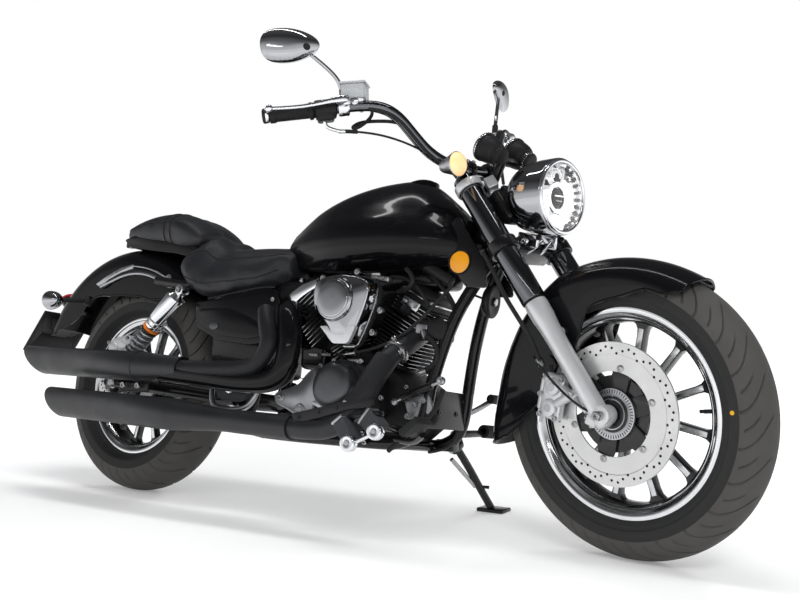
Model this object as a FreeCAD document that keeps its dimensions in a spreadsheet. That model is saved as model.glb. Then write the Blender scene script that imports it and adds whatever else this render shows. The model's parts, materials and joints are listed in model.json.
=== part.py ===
import FreeCAD, Part
import math
import os
import Sketcher

# Cruiser motorcycle.
# Every piece is drawn in the bike's own frame: origin on the ground line under the rear axle, X forward,
# Y to the rider's left, Z up, bike upright, steering straight, millimetres. One placement for the frame side
# and one for the steered side then lean the bike onto its side stand and turn its front wheel.

V = FreeCAD.Vector
UP = V(0, 0, 1)
SIDES = (("left", 1), ("right", -1))

DIMENSIONS = (
    # alias, value, what it is
    ("wheelbase", 1500, "rear axle to front axle"),
    ("rake", 33.5, "steering axis from vertical, degrees"),
    ("stem_behind_fork", 61, "steering axis behind the fork tubes' plane"),
    ("lean", 7.3, "lean onto the side stand, degrees"),
    ("steer_rest", -14.8, "steering angle at rest, right negative, degrees"),
    ("front_axle_height", 302, "front tyre's radius"),
    ("front_bead", 203.5, "front bead seat radius, 16 inch"),
    ("front_flange", 217, "front rim flange radius"),
    ("front_tyre_half", 55, "half of the front tyre's width"),
    ("front_rim_half", 41, "half of the front rim's width over its flanges"),
    ("rear_axle_height", 310, "rear tyre's radius"),
    ("rear_bead", 191, "rear bead seat radius, 15 inch"),
    ("rear_flange", 203.5, "rear rim flange radius"),
    ("rear_tyre_half", 75, "half of the rear tyre's width"),
    ("rear_rim_half", 49, "half of the rear rim's width over its flanges"),
    ("axle_radius", 10, "wheel axles"),
    ("axle_bore", 6, "hollow of the wheel axles"),
    ("bearing_gap", 0.05, "running clearance of a hub on its axle"),
    ("front_disc_radius", 146, "front brake disc"),
    ("rear_disc_radius", 120, "rear brake disc"),
    ("disc_thickness", 5, "brake discs"),
    ("front_disc_offset", 70, "front disc's middle from the centre plane"),
    ("rear_disc_offset", 92, "rear disc's middle from the centre plane"),
    ("fork_half", 99, "fork tubes from the centre plane"),
    ("fork_lower_radius", 21.5, "fork lower legs"),
    ("fork_cover_radius", 27.5, "fork upper covers"),
    ("stem_radius", 16, "steering stem"),
    ("neck_radius", 30, "neck tube, outer"),
    ("neck_bore", 24, "neck tube, inner"),
    ("frame_tube", 15, "frame tubes' radius"),
    ("backbone_radius", 24, "backbone tube's radius"),
    ("bar_radius", 12.7, "handlebar tube"),
    ("grip_radius", 17, "handlebar grips"),
    ("fin_pitch", 9.5, "cylinder fins, spacing"),
    ("fin_thickness", 3, "cylinder fins"),
    ("fin_length", 124, "cylinder fins, front to back"),
    ("fin_width", 140, "cylinder fins, side to side"),
    ("barrel_radius", 46, "cylinder barrels under the fins"),
    ("muffler_radius", 41, "mufflers"),
    ("header_radius", 24, "exhaust pipes"),
    ("swingarm_half", 127, "swingarm arms from the centre plane"),
    ("fender_wall", 3, "fenders' wall"),
    ("front_fender_radius", 355, "front fender's crown"),
    ("front_fender_half", 71, "half of the front fender's width"),
    ("rear_fender_radius", 396, "rear fender's crown"),
    ("rear_fender_half", 93, "half of the rear fender's width"),
    ("signal_radius", 28, "front turn signals"),
    ("spoke_count", 12, "wheel spokes"),
    ("plate_hole_pitch", 120.0, "between the number plate's two screw holes"),
    ("plate_hole_radius", 3.5, "number plate screw holes"),
)


class Dim:
    """A length that carries its value and the spreadsheet expression that drives it."""

    def __init__(self, value, text):
        self.value = float(value)
        self.text = text

    def __add__(self, other):
        return joined(self, "+", other)

    def __radd__(self, other):
        return joined(other, "+", self)

    def __sub__(self, other):
        return joined(self, "-", other)

    def __rsub__(self, other):
        return joined(other, "-", self)

    def __mul__(self, other):
        return joined(self, "*", other)

    def __rmul__(self, other):
        return joined(other, "*", self)

    def __neg__(self):
        return joined(0, "-", self)


def plain(size):
    """The number behind a size, whether it is bound to the sheet or not."""
    return size.value if isinstance(size, Dim) else float(size)


def joined(a, sign, b):
    """The sum, difference or product of two sizes, as a value and as an expression."""
    left, right = plain(a), plain(b)
    result = {"+": left + right, "-": left - right, "*": left * right}[sign]
    words = [size.text if isinstance(size, Dim) else repr(plain(size)) for size in (a, b)]
    return Dim(result, f"({words[0]} {sign} {words[1]})")


doc = FreeCAD.newDocument("Motorcycle")
sheet = doc.addObject("Spreadsheet::Sheet", "Dimensions")
for row, (alias, value, note) in enumerate(DIMENSIONS, 1):
    sheet.set(f"A{row}", note)
    sheet.set(f"B{row}", str(value))
    sheet.setAlias(f"B{row}", alias)
doc.recompute()
D = {alias: Dim(value, f"Dimensions.{alias}") for alias, value, note in DIMENSIONS}


# ---- where things are -------------------------------------------------------------------------------------

RAKE = math.radians(plain(D["rake"]))
STEER_UP = V(-math.sin(RAKE), 0, math.cos(RAKE))
STEER_FORWARD = V(math.cos(RAKE), 0, math.sin(RAKE))
REAR_AXLE = V(0, 0, plain(D["rear_axle_height"]))
FRONT_AXLE = V(plain(D["wheelbase"]), 0, plain(D["front_axle_height"]))
FORK_FOOT = FRONT_AXLE - STEER_FORWARD * 9
STEM_FOOT = FORK_FOOT - STEER_FORWARD * plain(D["stem_behind_fork"])
CRANK = V(850, 0, 310)
V_ANGLE = 30
FRONT_PULLEY = V(705, 0, 300)
REAR_FENDER_CENTRE = V(-69, 0, 336)
STAND_PIVOT = V(985, 158, 200)
STAND_AXIS = V(0.10, 0.82, 0.56).normalize()
PLATE_CENTRE = V(-492, 0, 470)
PLATE_TILT = 36
PLATE_OUT = V(-math.cos(math.radians(PLATE_TILT)), 0, math.sin(math.radians(PLATE_TILT)))


def along_stem(up, ahead=0.0, side=0.0):
    """A point given along the steering axis from the axle's level, ahead of the axis, and to the left."""
    return STEM_FOOT + STEER_UP * up + STEER_FORWARD * ahead + V(0, side, 0)


def turn_about(point, axis, degrees):
    """The placement that turns things about an axis through a point."""
    return FreeCAD.Placement(V(0, 0, 0), FreeCAD.Rotation(axis, degrees), point)


# ---- building blocks --------------------------------------------------------------------------------------

def bind(thing, **sizes):
    """Sets sizes on an object, bound to the sheet where they come from it."""
    for name, size in sizes.items():
        if isinstance(size, Dim):
            thing.setExpression(name, size.text)
        else:
            setattr(thing, name, size)


def facing(direction):
    """The rotation that takes +Z to a direction, and +X to a level direction where it can."""
    z = V(direction).normalize()
    side = UP.cross(z)
    if side.Length < 1e-6:
        side = V(0, 1, 0)
    y = side.normalize()
    x = y.cross(z)
    return FreeCAD.Rotation(x, y, z, "ZXY")


def cylinder(name, base, direction, length, radius):
    """A round bar from a base point along a direction."""
    bar = doc.addObject("Part::Cylinder", name)
    bind(bar, Radius=radius, Height=length)
    bar.Placement = FreeCAD.Placement(base, facing(direction))
    return bar


def rod(name, start, end, radius):
    """A round bar between two points."""
    return cylinder(name, start, end - start, (end - start).Length, radius)


def cone(name, base, direction, length, radius_a, radius_b):
    """A tapered bar from a base point along a direction."""
    bar = doc.addObject("Part::Cone", name)
    bind(bar, Radius1=radius_a, Radius2=radius_b, Height=length)
    bar.Placement = FreeCAD.Placement(base, facing(direction))
    return bar


def ball(name, centre, radius):
    """A sphere."""
    bead = doc.addObject("Part::Sphere", name)
    bind(bead, Radius=radius)
    bead.Placement = FreeCAD.Placement(centre, FreeCAD.Rotation())
    return bead


def block(name, centre, length, width, height, turn=FreeCAD.Rotation()):
    """A box by its centre and its sizes along X, Y and Z, then turned about its centre."""
    brick = doc.addObject("Part::Box", name)
    bind(brick, Length=length, Width=width, Height=height)
    half = V(plain(length), plain(width), plain(height)) * 0.5
    brick.Placement = FreeCAD.Placement(centre - turn.multVec(half), turn)
    return brick


def fused(name, things):
    """Several shapes made one."""
    whole = doc.addObject("Part::MultiFuse", name)
    whole.Shapes = things
    whole.Refine = True
    return whole


def cut(name, base, *tools):
    """A shape with others taken out of it."""
    result = doc.addObject("Part::Cut", name)
    result.Base = base
    result.Tool = tools[0] if len(tools) == 1 else fused(name + "_tools", list(tools))
    return result


def shared(name, a, b):
    """What two shapes have in common."""
    result = doc.addObject("Part::Common", name)
    result.Base = a
    result.Tool = b
    return result


def group(name, things):
    """Like pieces that don't touch, kept together."""
    pair = doc.addObject("Part::Compound", name)
    pair.Links = things
    return pair


def plane_of(body, role):
    """One of a body's own origin planes or axes."""
    return next(feature for feature in body.Origin.OriginFeatures if feature.Role == role)


def sketch_on(body, role):
    """A new sketch on one of the body's origin planes."""
    sketch = body.newObject("Sketcher::SketchObject", body.Name + "_sketch")
    sketch.AttachmentSupport = [(plane_of(body, role), "")]
    sketch.MapMode = "FlatFace"
    return sketch


def draw_outline(sketch, *steps):
    """Draws a closed outline. A step is a corner (x, y), or (via x, via y, x, y) for an arc to its corner.

    The outline ends at its first corner. Each corner is pinned to the sheet's sizes.
    """
    first = len(sketch.Geometry)
    corners = [step[-2:] for step in steps]
    count = len(corners)
    starts = []
    for index in range(count):
        here, after = corners[index], steps[(index + 1) % count]
        a = V(plain(here[0]), plain(here[1]), 0)
        b = V(plain(after[-2]), plain(after[-1]), 0)
        if len(after) == 4 and index < count - 1:
            edge = Part.Arc(a, V(plain(after[0]), plain(after[1]), 0), b)
        else:
            edge = Part.LineSegment(a, b)
        number = sketch.addGeometry(edge, False)
        starts.append(1 if (sketch.getPoint(number, 1) - a).Length < 1e-6 else 2)
    for index in range(count):
        after = (index + 1) % count
        sketch.addConstraint(
            Sketcher.Constraint("Coincident", first + index, 3 - starts[index], first + after, starts[after])
        )
    for index, (x, y) in enumerate(corners):
        for kind, size in (("DistanceX", x), ("DistanceY", y)):
            pin = sketch.addConstraint(
                Sketcher.Constraint(kind, -1, 1, first + index, starts[index], plain(size))
            )
            if isinstance(size, Dim):
                sketch.setExpression(f"Constraints[{pin}]", size.text)


def add_turned(body, *steps, angle=360.0):
    """Adds a solid of revolution about the body's Y axis. Steps are (radius, along Y)."""
    sketch = sketch_on(body, "XY_Plane")
    draw_outline(sketch, *steps)
    doc.recompute()
    turned = body.newObject("PartDesign::Revolution", body.Name + "_turned")
    turned.Profile = sketch
    turned.ReferenceAxis = (sketch, ["V_Axis"])
    turned.Angle = angle
    doc.recompute()
    return turned


def new_body(name):
    """An empty PartDesign body."""
    return doc.addObject("PartDesign::Body", name)


def turned_piece(name, centre, direction, *steps):
    """A body of revolution about a line. Steps are (radius, distance along the line)."""
    body = new_body(name)
    add_turned(body, *steps)
    turn = FreeCAD.Rotation(V(0, 1, 0), V(direction))
    body.Placement = FreeCAD.Placement(centre, turn)
    return body


def outline_wire(steps, at):
    """A closed wire from steps (as in draw_outline), each plane point placed by the function at."""
    corners = [step[-2:] for step in steps]
    edges = []
    for index, here in enumerate(corners):
        after = steps[(index + 1) % len(steps)]
        a, b = at(*here), at(*after[-2:])
        if len(after) == 4:
            edges.append(Part.Arc(a, at(*after[:2]), b).toShape())
        else:
            edges.append(Part.LineSegment(a, b).toShape())
    return Part.Wire(edges)


def slab(name, steps, y_low, y_high):
    """A flat piece with a side-view outline, from one Y to another."""
    wire = outline_wire(steps, lambda x, z: V(x, y_low, z))
    plate = doc.addObject("Part::Feature", name)
    plate.Shape = Part.Face(wire).extrude(V(0, y_high - y_low, 0))
    return plate


def loft(name, wires):
    """A solid through closed sections of lines and arcs."""
    hull = doc.addObject("Part::Feature", name)
    hull.Shape = Part.makeLoft(wires, True, False)
    return hull


def arched(x, foot, z_foot, waist, z_waist, brow, z_brow, z_top):
    """A section across the bike: flat foot, bulging sides and a crowned top."""
    steps = (
        (-foot, z_foot),
        (foot, z_foot),
        (waist, z_waist, brow, z_brow),
        (0, z_top, -brow, z_brow),
        (-waist, z_waist, -foot, z_foot),
    )
    corners = [V(x, step[-2], step[-1]) for step in steps]
    edges = [Part.LineSegment(corners[0], corners[1]).toShape()]
    for index in (2, 3, 4):
        via = V(x, steps[index][0], steps[index][1])
        end = corners[index]
        edges.append(Part.Arc(corners[index - 1], via, end).toShape())
    return Part.Wire(edges)


def rounded_path(points, radius=None):
    """Straight runs joined by tangent arcs, as large as the runs allow or of a given radius."""
    edges = []
    start = points[0]
    radii = []
    for before, corner, after in zip(points, points[1:], points[2:]):
        into = (corner - before)
        out = (after - corner)
        half_turn = into.getAngle(out) / 2
        largest = 0.45 * min(into.Length, out.Length) / math.tan(half_turn)
        bend = min(radius, largest) if radius else largest
        reach = bend * math.tan(half_turn)
        a = corner - V(into).normalize() * reach
        b = corner + V(out).normalize() * reach
        inward = (V(out).normalize() - V(into).normalize()).normalize()
        middle = corner + inward * (bend / math.cos(half_turn) - bend)
        edges.append(Part.LineSegment(start, a).toShape())
        edges.append(Part.Arc(a, middle, b).toShape())
        radii.append(round(bend))
        start = b
    edges.append(Part.LineSegment(start, points[-1]).toShape())
    return Part.Wire(edges), radii


def tube(name, points, radius, bend=None):
    """A round tube along straight runs and tangent arcs."""
    wire, radii = rounded_path([V(*point) for point in points], bend)
    path = doc.addObject("Part::Feature", name + "_path")
    path.Shape = wire
    section = doc.addObject("Part::Circle", name + "_section")
    bind(section, Radius=radius)
    first, second = V(*points[0]), V(*points[1])
    section.Placement = FreeCAD.Placement(first, facing(second - first))
    sweep = doc.addObject("Part::Sweep", name)
    sweep.Sections = [section]
    sweep.Spine = (path, [f"Edge{number}" for number in range(1, len(wire.Edges) + 1)])
    sweep.Solid = True
    sweep.Frenet = False
    return sweep


def cord(name, points, radius):
    """A cable or hose, with its bend radii and its volume printed."""
    sweep = tube(name, points, radius)
    wire, radii = rounded_path([V(*point) for point in points])
    doc.recompute()
    ratio = sweep.Shape.Volume / (math.pi * plain(radius) ** 2 * wire.Length)
    print(f"cord {name}: length {wire.Length:.0f}, bend radii {radii}, volume ratio {ratio:.4f}")
    return sweep


PIECES = []


def piece(label, shape_object, steered=False):
    """Names an object as one of the bike's pieces, on the frame's side or the steered side."""
    shape_object.Label = label
    PIECES.append((label, shape_object, steered))
    return shape_object


def shaped_around(label, *neighbours):
    """Trims a piece where its neighbours, already drawn, lie against it or go into it."""
    index = next(number for number, entry in enumerate(PIECES) if entry[0] == label)
    whole, steered = PIECES[index][1:]
    doc.recompute()
    copies = []
    for name, thing, side in PIECES:
        if name in neighbours:
            copy = doc.addObject("Part::Feature", f"{label}_against_{name}")
            copy.Shape = thing.Shape
            copies.append(copy)
    whole.Label = label + "_untrimmed"
    trimmed = cut(label + "_trimmed", whole, *copies)
    trimmed.Label = label
    PIECES[index] = (label, trimmed, steered)


# ---- wheels -----------------------------------------------------------------------------------------------

def wheel_rim(name, axle, bead, flange, half, hub_half, hub_radius):
    """A cast wheel: rim barrel, hub with a bore for the axle, and a ring of flat spokes."""
    body = new_body(name)
    add_turned(
        body,
        (bead - 9, -half + 9),
        (bead - 4, -half),
        (flange, -half),
        (flange, -half + 4),
        (bead, -half + 7),
        (bead, half - 7),
        (flange, half - 4),
        (flange, half),
        (bead - 4, half),
        (bead - 9, half - 9),
        (bead - 14, half - 24),
        (bead - 14, -half + 24),
    )
    bore = D["axle_radius"] + D["bearing_gap"]
    add_turned(
        body,
        (bore, -hub_half),
        (hub_radius - 8, -hub_half),
        (hub_radius, -hub_half + 12),
        (hub_radius, hub_half - 12),
        (hub_radius - 8, hub_half),
        (bore, hub_half),
    )
    spoke = sketch_on(body, "XZ_Plane")
    root, tip = hub_radius - 5, bead - 10
    draw_outline(spoke, (root, -7), (tip, -5), (tip, 5), (root, 7))
    doc.recompute()
    pad = body.newObject("PartDesign::Pad", name + "_spoke")
    pad.Profile = spoke
    pad.Length = 34
    pad.SideType = "Symmetric"
    doc.recompute()
    ring = body.newObject("PartDesign::PolarPattern", name + "_spokes")
    ring.Originals = [pad]
    ring.Axis = (plane_of(body, "Y_Axis"), [""])
    ring.Angle = 360
    ring.setExpression("Occurrences", D["spoke_count"].text)
    body.Tip = ring
    body.Placement = FreeCAD.Placement(axle, FreeCAD.Rotation())
    return body


def wheel_tyre(name, axle, bead, outer, half, rim_half):
    """A tyre: crowned tread, bulging sides, beads inside the rim's flanges."""
    body = new_body(name)
    seat = bead + 0.5
    lip = bead + 14
    shoulder = plain(outer) - plain(half) * 0.42
    edge = plain(half) * 0.93
    middle = (plain(seat) + plain(outer)) / 2 + 2
    lips = plain(rim_half) + 1
    bulge = plain(half)
    add_turned(
        body,
        (seat, -rim_half + 8),
        (seat, rim_half - 8),
        (lip, rim_half - 5),
        (lip + 3, rim_half + 1),
        (middle, bulge, shoulder, edge),
        (outer, 0, shoulder, -edge),
        (middle, -bulge, plain(lip) + 3, -lips),
        (lip, -rim_half + 5),
    )
    body.Placement = FreeCAD.Placement(axle, FreeCAD.Rotation())
    return body


def brake_disc(name, axle, radius, offset, hub_half, hub_radius):
    """A brake disc: flat ring, arms and a carrier ring against the hub's end, on one side of the wheel."""
    body = new_body(name)
    thick = D["disc_thickness"]
    inner = radius - 42
    add_turned(
        body,
        (inner, -offset - thick * 0.5),
        (radius, -offset - thick * 0.5),
        (radius, -offset + thick * 0.5),
        (inner, -offset + thick * 0.5),
    )
    add_turned(
        body,
        (24, -offset - thick * 0.5),
        (46, -offset - thick * 0.5),
        (46, -offset + thick * 0.5),
        (hub_radius - 10, -hub_half - 0.1),
        (24, -hub_half - 0.1),
    )
    arm = sketch_on(body, "XZ_Plane")
    draw_outline(arm, (40, -13), (inner + 3, -9), (inner + 3, 9), (40, 13))
    doc.recompute()
    pad = body.newObject("PartDesign::Pad", name + "_arm")
    pad.Profile = arm
    pad.Length = 5
    pad.SideType = "Symmetric"
    pad.Reversed = False
    doc.recompute()
    arm.AttachmentOffset = FreeCAD.Placement(V(0, 0, plain(offset)), FreeCAD.Rotation())
    doc.recompute()
    ring = body.newObject("PartDesign::PolarPattern", name + "_arms")
    ring.Originals = [pad]
    ring.Axis = (plane_of(body, "Y_Axis"), [""])
    ring.Angle = 360
    ring.Occurrences = 5
    body.Tip = ring
    body.Placement = FreeCAD.Placement(axle, FreeCAD.Rotation())
    return body


def caliper(name, axle, disc_radius, offset, angle, hanger_end):
    """A brake caliper that straddles its disc with room to spare, and its hanger."""
    rise = FreeCAD.Rotation(V(0, 1, 0), -angle)
    out = rise.multVec(V(1, 0, 0))
    reach = plain(disc_radius)
    middle = axle + out * (reach - 8) + V(0, -plain(offset), 0)
    housing = block(name + "_housing", middle, 58, 62, 100, rise)
    slot_at = axle + out * (reach - 30) + V(0, -plain(offset), 0)
    slot = block(name + "_slot", slot_at, 72, D["disc_thickness"] + 11, 140, rise)
    body = cut(name + "_body", housing, slot)
    hanger = rod(name + "_hanger", middle + out * 22 + V(0, -20, 0), hanger_end, 9)
    return fused(name, [body, hanger])


def make_wheels():
    """Both wheels with their tyres and discs, and the rear pulley."""
    front = ("front", FRONT_AXLE, D["front_bead"], D["front_flange"], D["front_rim_half"])
    rear = ("rear", REAR_AXLE, D["rear_bead"], D["rear_flange"], D["rear_rim_half"])
    hubs = {"front": (62, 38), "rear": (78, 46)}
    for end, axle, bead, flange, half in (front, rear):
        hub_half, hub_radius = hubs[end]
        steered = end == "front"
        rim = wheel_rim(end + "_wheel_rim", axle, bead, flange, half, hub_half, hub_radius)
        piece(end + "_rim", rim, steered)
        outer = D[end + "_axle_height"]
        tyre = wheel_tyre(end + "_wheel_tyre", axle, bead, outer, D[end + "_tyre_half"], half)
        piece(end + "_tyre", tyre, steered)
        disc = brake_disc(
            end + "_brake_disc", axle, D[end + "_disc_radius"], D[end + "_disc_offset"], hub_half, hub_radius
        )
        piece(end + "_disc", disc, steered)
    pulley = turned_piece(
        "belt_pulley", REAR_AXLE, V(0, 1, 0), (30, 78.1), (90, 82), (90, 105), (78, 105), (78, 94), (30, 92)
    )
    piece("rear_pulley", pulley)


# ---- frame and swingarm -----------------------------------------------------------------------------------

def make_frame():
    """Neck and backbone, front downtubes, cradle, seat rails, swingarm and shocks."""
    neck_low, neck_high = 447.0, 596.0
    neck = cylinder("neck", along_stem(neck_low), STEER_UP, neck_high - neck_low, D["neck_radius"])
    bore = cylinder("neck_hole", along_stem(neck_low - 1), STEER_UP, neck_high - neck_low + 2, D["neck_bore"])
    backbone = tube("backbone", (along_stem(545, -20), (1000, 0, 690), (560, 0, 640)), D["backbone_radius"], 200)
    rails = []
    for side, sign in SIDES:
        rail_points = (
            (580, sign * 10, 632),
            (500, sign * 80, 608),
            (400, sign * 104, 592),
            (235, sign * 113.2, 592),
            (110, sign * 113.2, 610),
        )
        rails.append(tube("seat_rail_" + side, rail_points, 13, 60))
        upright = ((470, sign * 84, 600), (500, sign * 68, 430), (478, sign * 64, 278))
        rails.append(tube("upright_" + side, upright, D["frame_tube"], 200))
    pivot_tube = rod("pivot_tube", V(478, -82, 278), V(478, 82, 278), 24)
    rear_cross = rod("rail_cross", V(380, -104, 592), V(380, 104, 592), 11)
    body = fused("frame_body", [neck, backbone, pivot_tube, rear_cross] + rails)
    piece("main_frame", cut("frame", body, bore))

    down = []
    for side, sign in SIDES:
        points = (along_stem(470, -28, sign * 24), (1090, sign * 62, 500), (1052, sign * 88, 330))
        down.append(tube("downtube_" + side, points, D["frame_tube"], 300))
    plate = block("front_plate", V(1063, 0, 306), 6, 176, 86)
    piece("downtubes", fused("front_downtubes", down + [plate]))

    cradle = []
    for side, sign in SIDES:
        points = (
            (1051, sign * 88, 329),
            (1045, sign * 92, 262),
            (975, sign * 98, 196),
            (700, sign * 104, 196),
            (570, sign * 100, 198),
            (500, sign * 76, 206),
            (480, sign * 64, 248),
        )
        cradle.append(tube("cradle_" + side, points, D["frame_tube"], 80))
    crosses = [
        rod(f"cradle_cross_{number}", V(x, -100, 194), V(x, 100, 194), 10)
        for number, x in enumerate((965, 560))
    ]
    stand_lug = block("stand_lug", V(985, 116, 200), 50, 34, 30)
    pin = rod("stand_pin", STAND_PIVOT - STAND_AXIS * 40, STAND_PIVOT + STAND_AXIS * 18, 8)
    piece("lower_cradle", fused("cradle", cradle + crosses + [stand_lug, pin]))


def make_swingarm():
    """Swingarm with its axle, the shocks' lower lugs and the hollow rear axle."""
    arms = []
    for side, sign in SIDES:
        y = sign * plain(D["swingarm_half"])
        path = ((448, sign * 92, 279), (380, sign * 104, 282), (250, y, 294), (0, y, 310))
        arms.append(tube("arm_" + side, path, 17, 120))
        arms.append(cylinder("axle_plate_" + side, V(0, y - 12, 310), V(0, 1, 0), 24, 34))
        lug = slab("shock_lug_" + side, ((10, 320), (75, 320), (62, 386), (28, 386)), y - sign * 8 - 4, y - sign * 8 + 4)
        arms.append(lug)
    cross = rod("arm_cross", V(420, -98, 280), V(420, 98, 280), 18)
    axle = cylinder("axle_bar", V(0, -150, 310), V(0, 1, 0), 300, D["axle_radius"])
    hollow = cylinder("axle_hollow", V(0, -151, 310), V(0, 1, 0), 302, D["axle_bore"])
    body = fused("arm_body", arms + [cross, axle])
    piece("swingarm", cut("swing_arm", body, hollow))


def make_shocks():
    """Two rear shocks: eyes, damper, spring stage and top cover."""
    units = []
    for side, sign in SIDES:
        y = sign * 141
        low = V(45, y, 372)
        high = V(250, y, 572)
        line = (high - low).normalize()
        parts = [
            cylinder("shock_eye_low_" + side, low - V(0, 8, 0), V(0, 1, 0), 16, 15),
            cylinder("shock_eye_high_" + side, high - V(0, 8, 0), V(0, 1, 0), 16, 15),
            cylinder("shock_damper_" + side, low + line * 8, line, 180, 15),
            cylinder("shock_spring_" + side, low + line * 40, line, 130, 27),
            cylinder("shock_cover_" + side, low + line * 165, line, 114, 28),
        ]
        units.append(fused("shock_" + side, parts))
    piece("rear_shocks", group("shocks", units))


# ---- tank, seats, fenders, covers -------------------------------------------------------------------------

def make_tank():
    """Teardrop tank with a tunnel over the backbone and a round cap."""
    sections = (
        # x, foot half, foot z, waist half, waist z, brow half, brow z, top z
        (1098, 40, 632, 62, 668, 50, 702, 728),
        (1040, 60, 618, 112, 668, 92, 725, 788),
        (960, 74, 611, 137, 672, 112, 750, 846),
        (860, 80, 610, 140, 675, 114, 755, 853),
        (750, 80, 613, 126, 678, 104, 752, 836),
        (650, 70, 622, 96, 680, 80, 738, 800),
        (562, 46, 645, 60, 680, 50, 710, 742),
    )
    hull = loft("tank_hull", [arched(*section) for section in sections])
    tunnel_points = ((1150, 0, 700), (1000, 0, 682), (540, 0, 632))
    tunnel = tube("tank_tunnel", tunnel_points, D["backbone_radius"] + 10, 200)
    slot = block("tank_slot", V(820, 0, 632), 600, 84, 76)
    cap = cylinder("filler_cap", V(880, 0, 840), V(0.02, 0, 1), 24, 33)
    hollowed = cut("tank_body", hull, tunnel, slot)
    piece("fuel_tank", fused("tank", [hollowed, cap]))


def make_seats():
    """Rider's seat, hung over the rails and round the tank's tail, and the passenger pad behind it."""
    rider = (
        # x, foot half, foot z, waist half, waist z, brow half, brow z, top z
        (590, 74, 612, 94, 640, 80, 664, 690),
        (570, 82, 600, 100, 630, 84, 668, 698),
        (520, 112, 577, 134, 612, 102, 662, 693),
        (430, 134, 565, 151, 603, 118, 660, 691),
        (350, 134, 563, 152, 602, 120, 664, 698),
        (300, 128, 566, 150, 606, 124, 690, 738),
        (262, 110, 586, 146, 622, 122, 676, 705),
        (228, 92, 600, 128, 642, 106, 676, 702),
    )
    cushion = loft("front_seat", [arched(*section) for section in rider])
    rear_room = slab("rail_room", ((200, 500), (462, 500), (462, 613), (420, 608), (200, 608)), -128.5, 128.5)
    mid_room = slab("rail_room_ahead", ((461, 500), (532, 500), (532, 640), (461, 613)), -104, 104)
    nose_room = slab("backbone_room", ((531, 500), (620, 500), (620, 668), (548, 668), (531, 640)), -70, 70)
    tail = ((545, 50, 640, 64, 680, 54, 714, 760), (650, 74, 617, 100, 680, 84, 742, 820))
    tail_room = loft("tank_tail_room", [arched(*section) for section in tail])
    piece("rider_seat", cut("hollowed_front_seat", cushion, rear_room, mid_room, nose_room, tail_room))
    pillion = (
        (260, 94, 712, 110, 736, 96, 758, 776),
        (220, 98, 712, 116, 746, 100, 782, 802),
        (160, 100, 716, 116, 760, 102, 800, 826),
        (80, 98, 730, 113, 768, 98, 806, 838),
        (0, 92, 738, 108, 772, 94, 805, 833),
        (-80, 78, 739, 92, 768, 80, 795, 815),
        (-118, 52, 743, 64, 765, 56, 782, 798),
    )
    piece("passenger_seat", loft("rear_seat", [arched(*section) for section in pillion]))


def fender_shell(name, centre, crown, half, wall, brow):
    """A full ring of fender: arched outside, hollow underneath."""
    body = new_body(name)
    low = 170.0
    add_turned(
        body,
        (low, -half),
        (low, -half + wall),
        (crown - brow, -half + wall),
        (plain(crown) - plain(wall), 0, crown - brow, half - wall),
        (low, half - wall),
        (low, half),
        (crown - brow, half),
        (plain(crown), 0, crown - brow, -half),
    )
    body.Placement = FreeCAD.Placement(centre, FreeCAD.Rotation())
    return body


def make_fenders():
    """Both fenders, the chrome-edged struts beside the rear one, and the rear plate bracket."""
    shell = fender_shell(
        "front_fender_ring", V(1482, 0, 267), D["front_fender_radius"], D["front_fender_half"], D["fender_wall"], 52.0
    )
    side_view = (
        (1720, 548),
        (1593, 541),
        (1500, 515),
        (1436, 493),
        (1390, 441),
        (1330, 330),
        (1250, 262),
        (1206, 232),
        (1105, 200),
        (1080, 320),
        (1200, 600),
        (1480, 650),
        (1720, 600),
    )
    window = slab("front_fender_window", side_view, -90, 90)
    shell_cut = shared("front_fender_shell", shell, window)
    stays = []
    for side, sign in SIDES:
        fork = along_stem(205, 61, sign * 78)
        stays.append(slab_between("fender_stay_" + side, fork, sign))
    room = block("caliper_room", V(1366, -78, 336), 74, 62, 116, FreeCAD.Rotation(V(0, 1, 0), -166))
    piece("front_fender", cut("front_guard", fused("front_mudguard", [shell_cut] + stays), room), steered=True)

    shell = fender_shell(
        "rear_fender_ring", REAR_FENDER_CENTRE, D["rear_fender_radius"], D["rear_fender_half"], D["fender_wall"], 70.0
    )
    side_view = (
        (225, 640),
        (150, 560),
        (-190, 572),
        (-262, 545),
        (-300, 490),
        (-360, 470),
        (-480, 450),
        (-480, 620),
        (-260, 780),
        (0, 800),
        (225, 720),
    )
    window = slab("rear_fender_window", side_view, -110, 110)
    piece("rear_fender", shared("rear_mudguard", shell, window))

    struts = []
    outline = (
        (186, 590),
        (186, 604),
        (150, 624),
        (128, 630),
        (60, 656, -20, 670),
        (-104, 652, -190, 616),
        (-176, 601),
        (-148, 600),
        (-90, 624, -20, 634),
        (56, 628, 120, 600),
        (146, 584),
    )
    for side, sign in SIDES:
        inner = sign * (plain(D["rear_fender_half"]) + 0.5)
        struts.append(slab("strut_" + side, outline, inner, inner + sign * 6))
    piece("fender_struts", group("struts", struts))

    tilt = FreeCAD.Rotation(V(0, 1, 0), PLATE_TILT)
    holder = block("plate_holder", PLATE_CENTRE, 8, 184, 160, tilt)
    arm = block("plate_arm", V(-466, 0, 481), 70, 60, 12, FreeCAD.Rotation(V(0, 1, 0), -27))
    holes = []
    for side, sign in SIDES:
        start = PLATE_CENTRE + V(0, sign * plain(D["plate_hole_pitch"]) / 2, 0) - PLATE_OUT * 6
        holes.append(cylinder("plate_hole_" + side, start, PLATE_OUT, 12, D["plate_hole_radius"]))
    body = fused("plate_bracket_body", [holder, arm])
    piece("plate_bracket", cut("drilled_plate_bracket", body, *holes))


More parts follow.
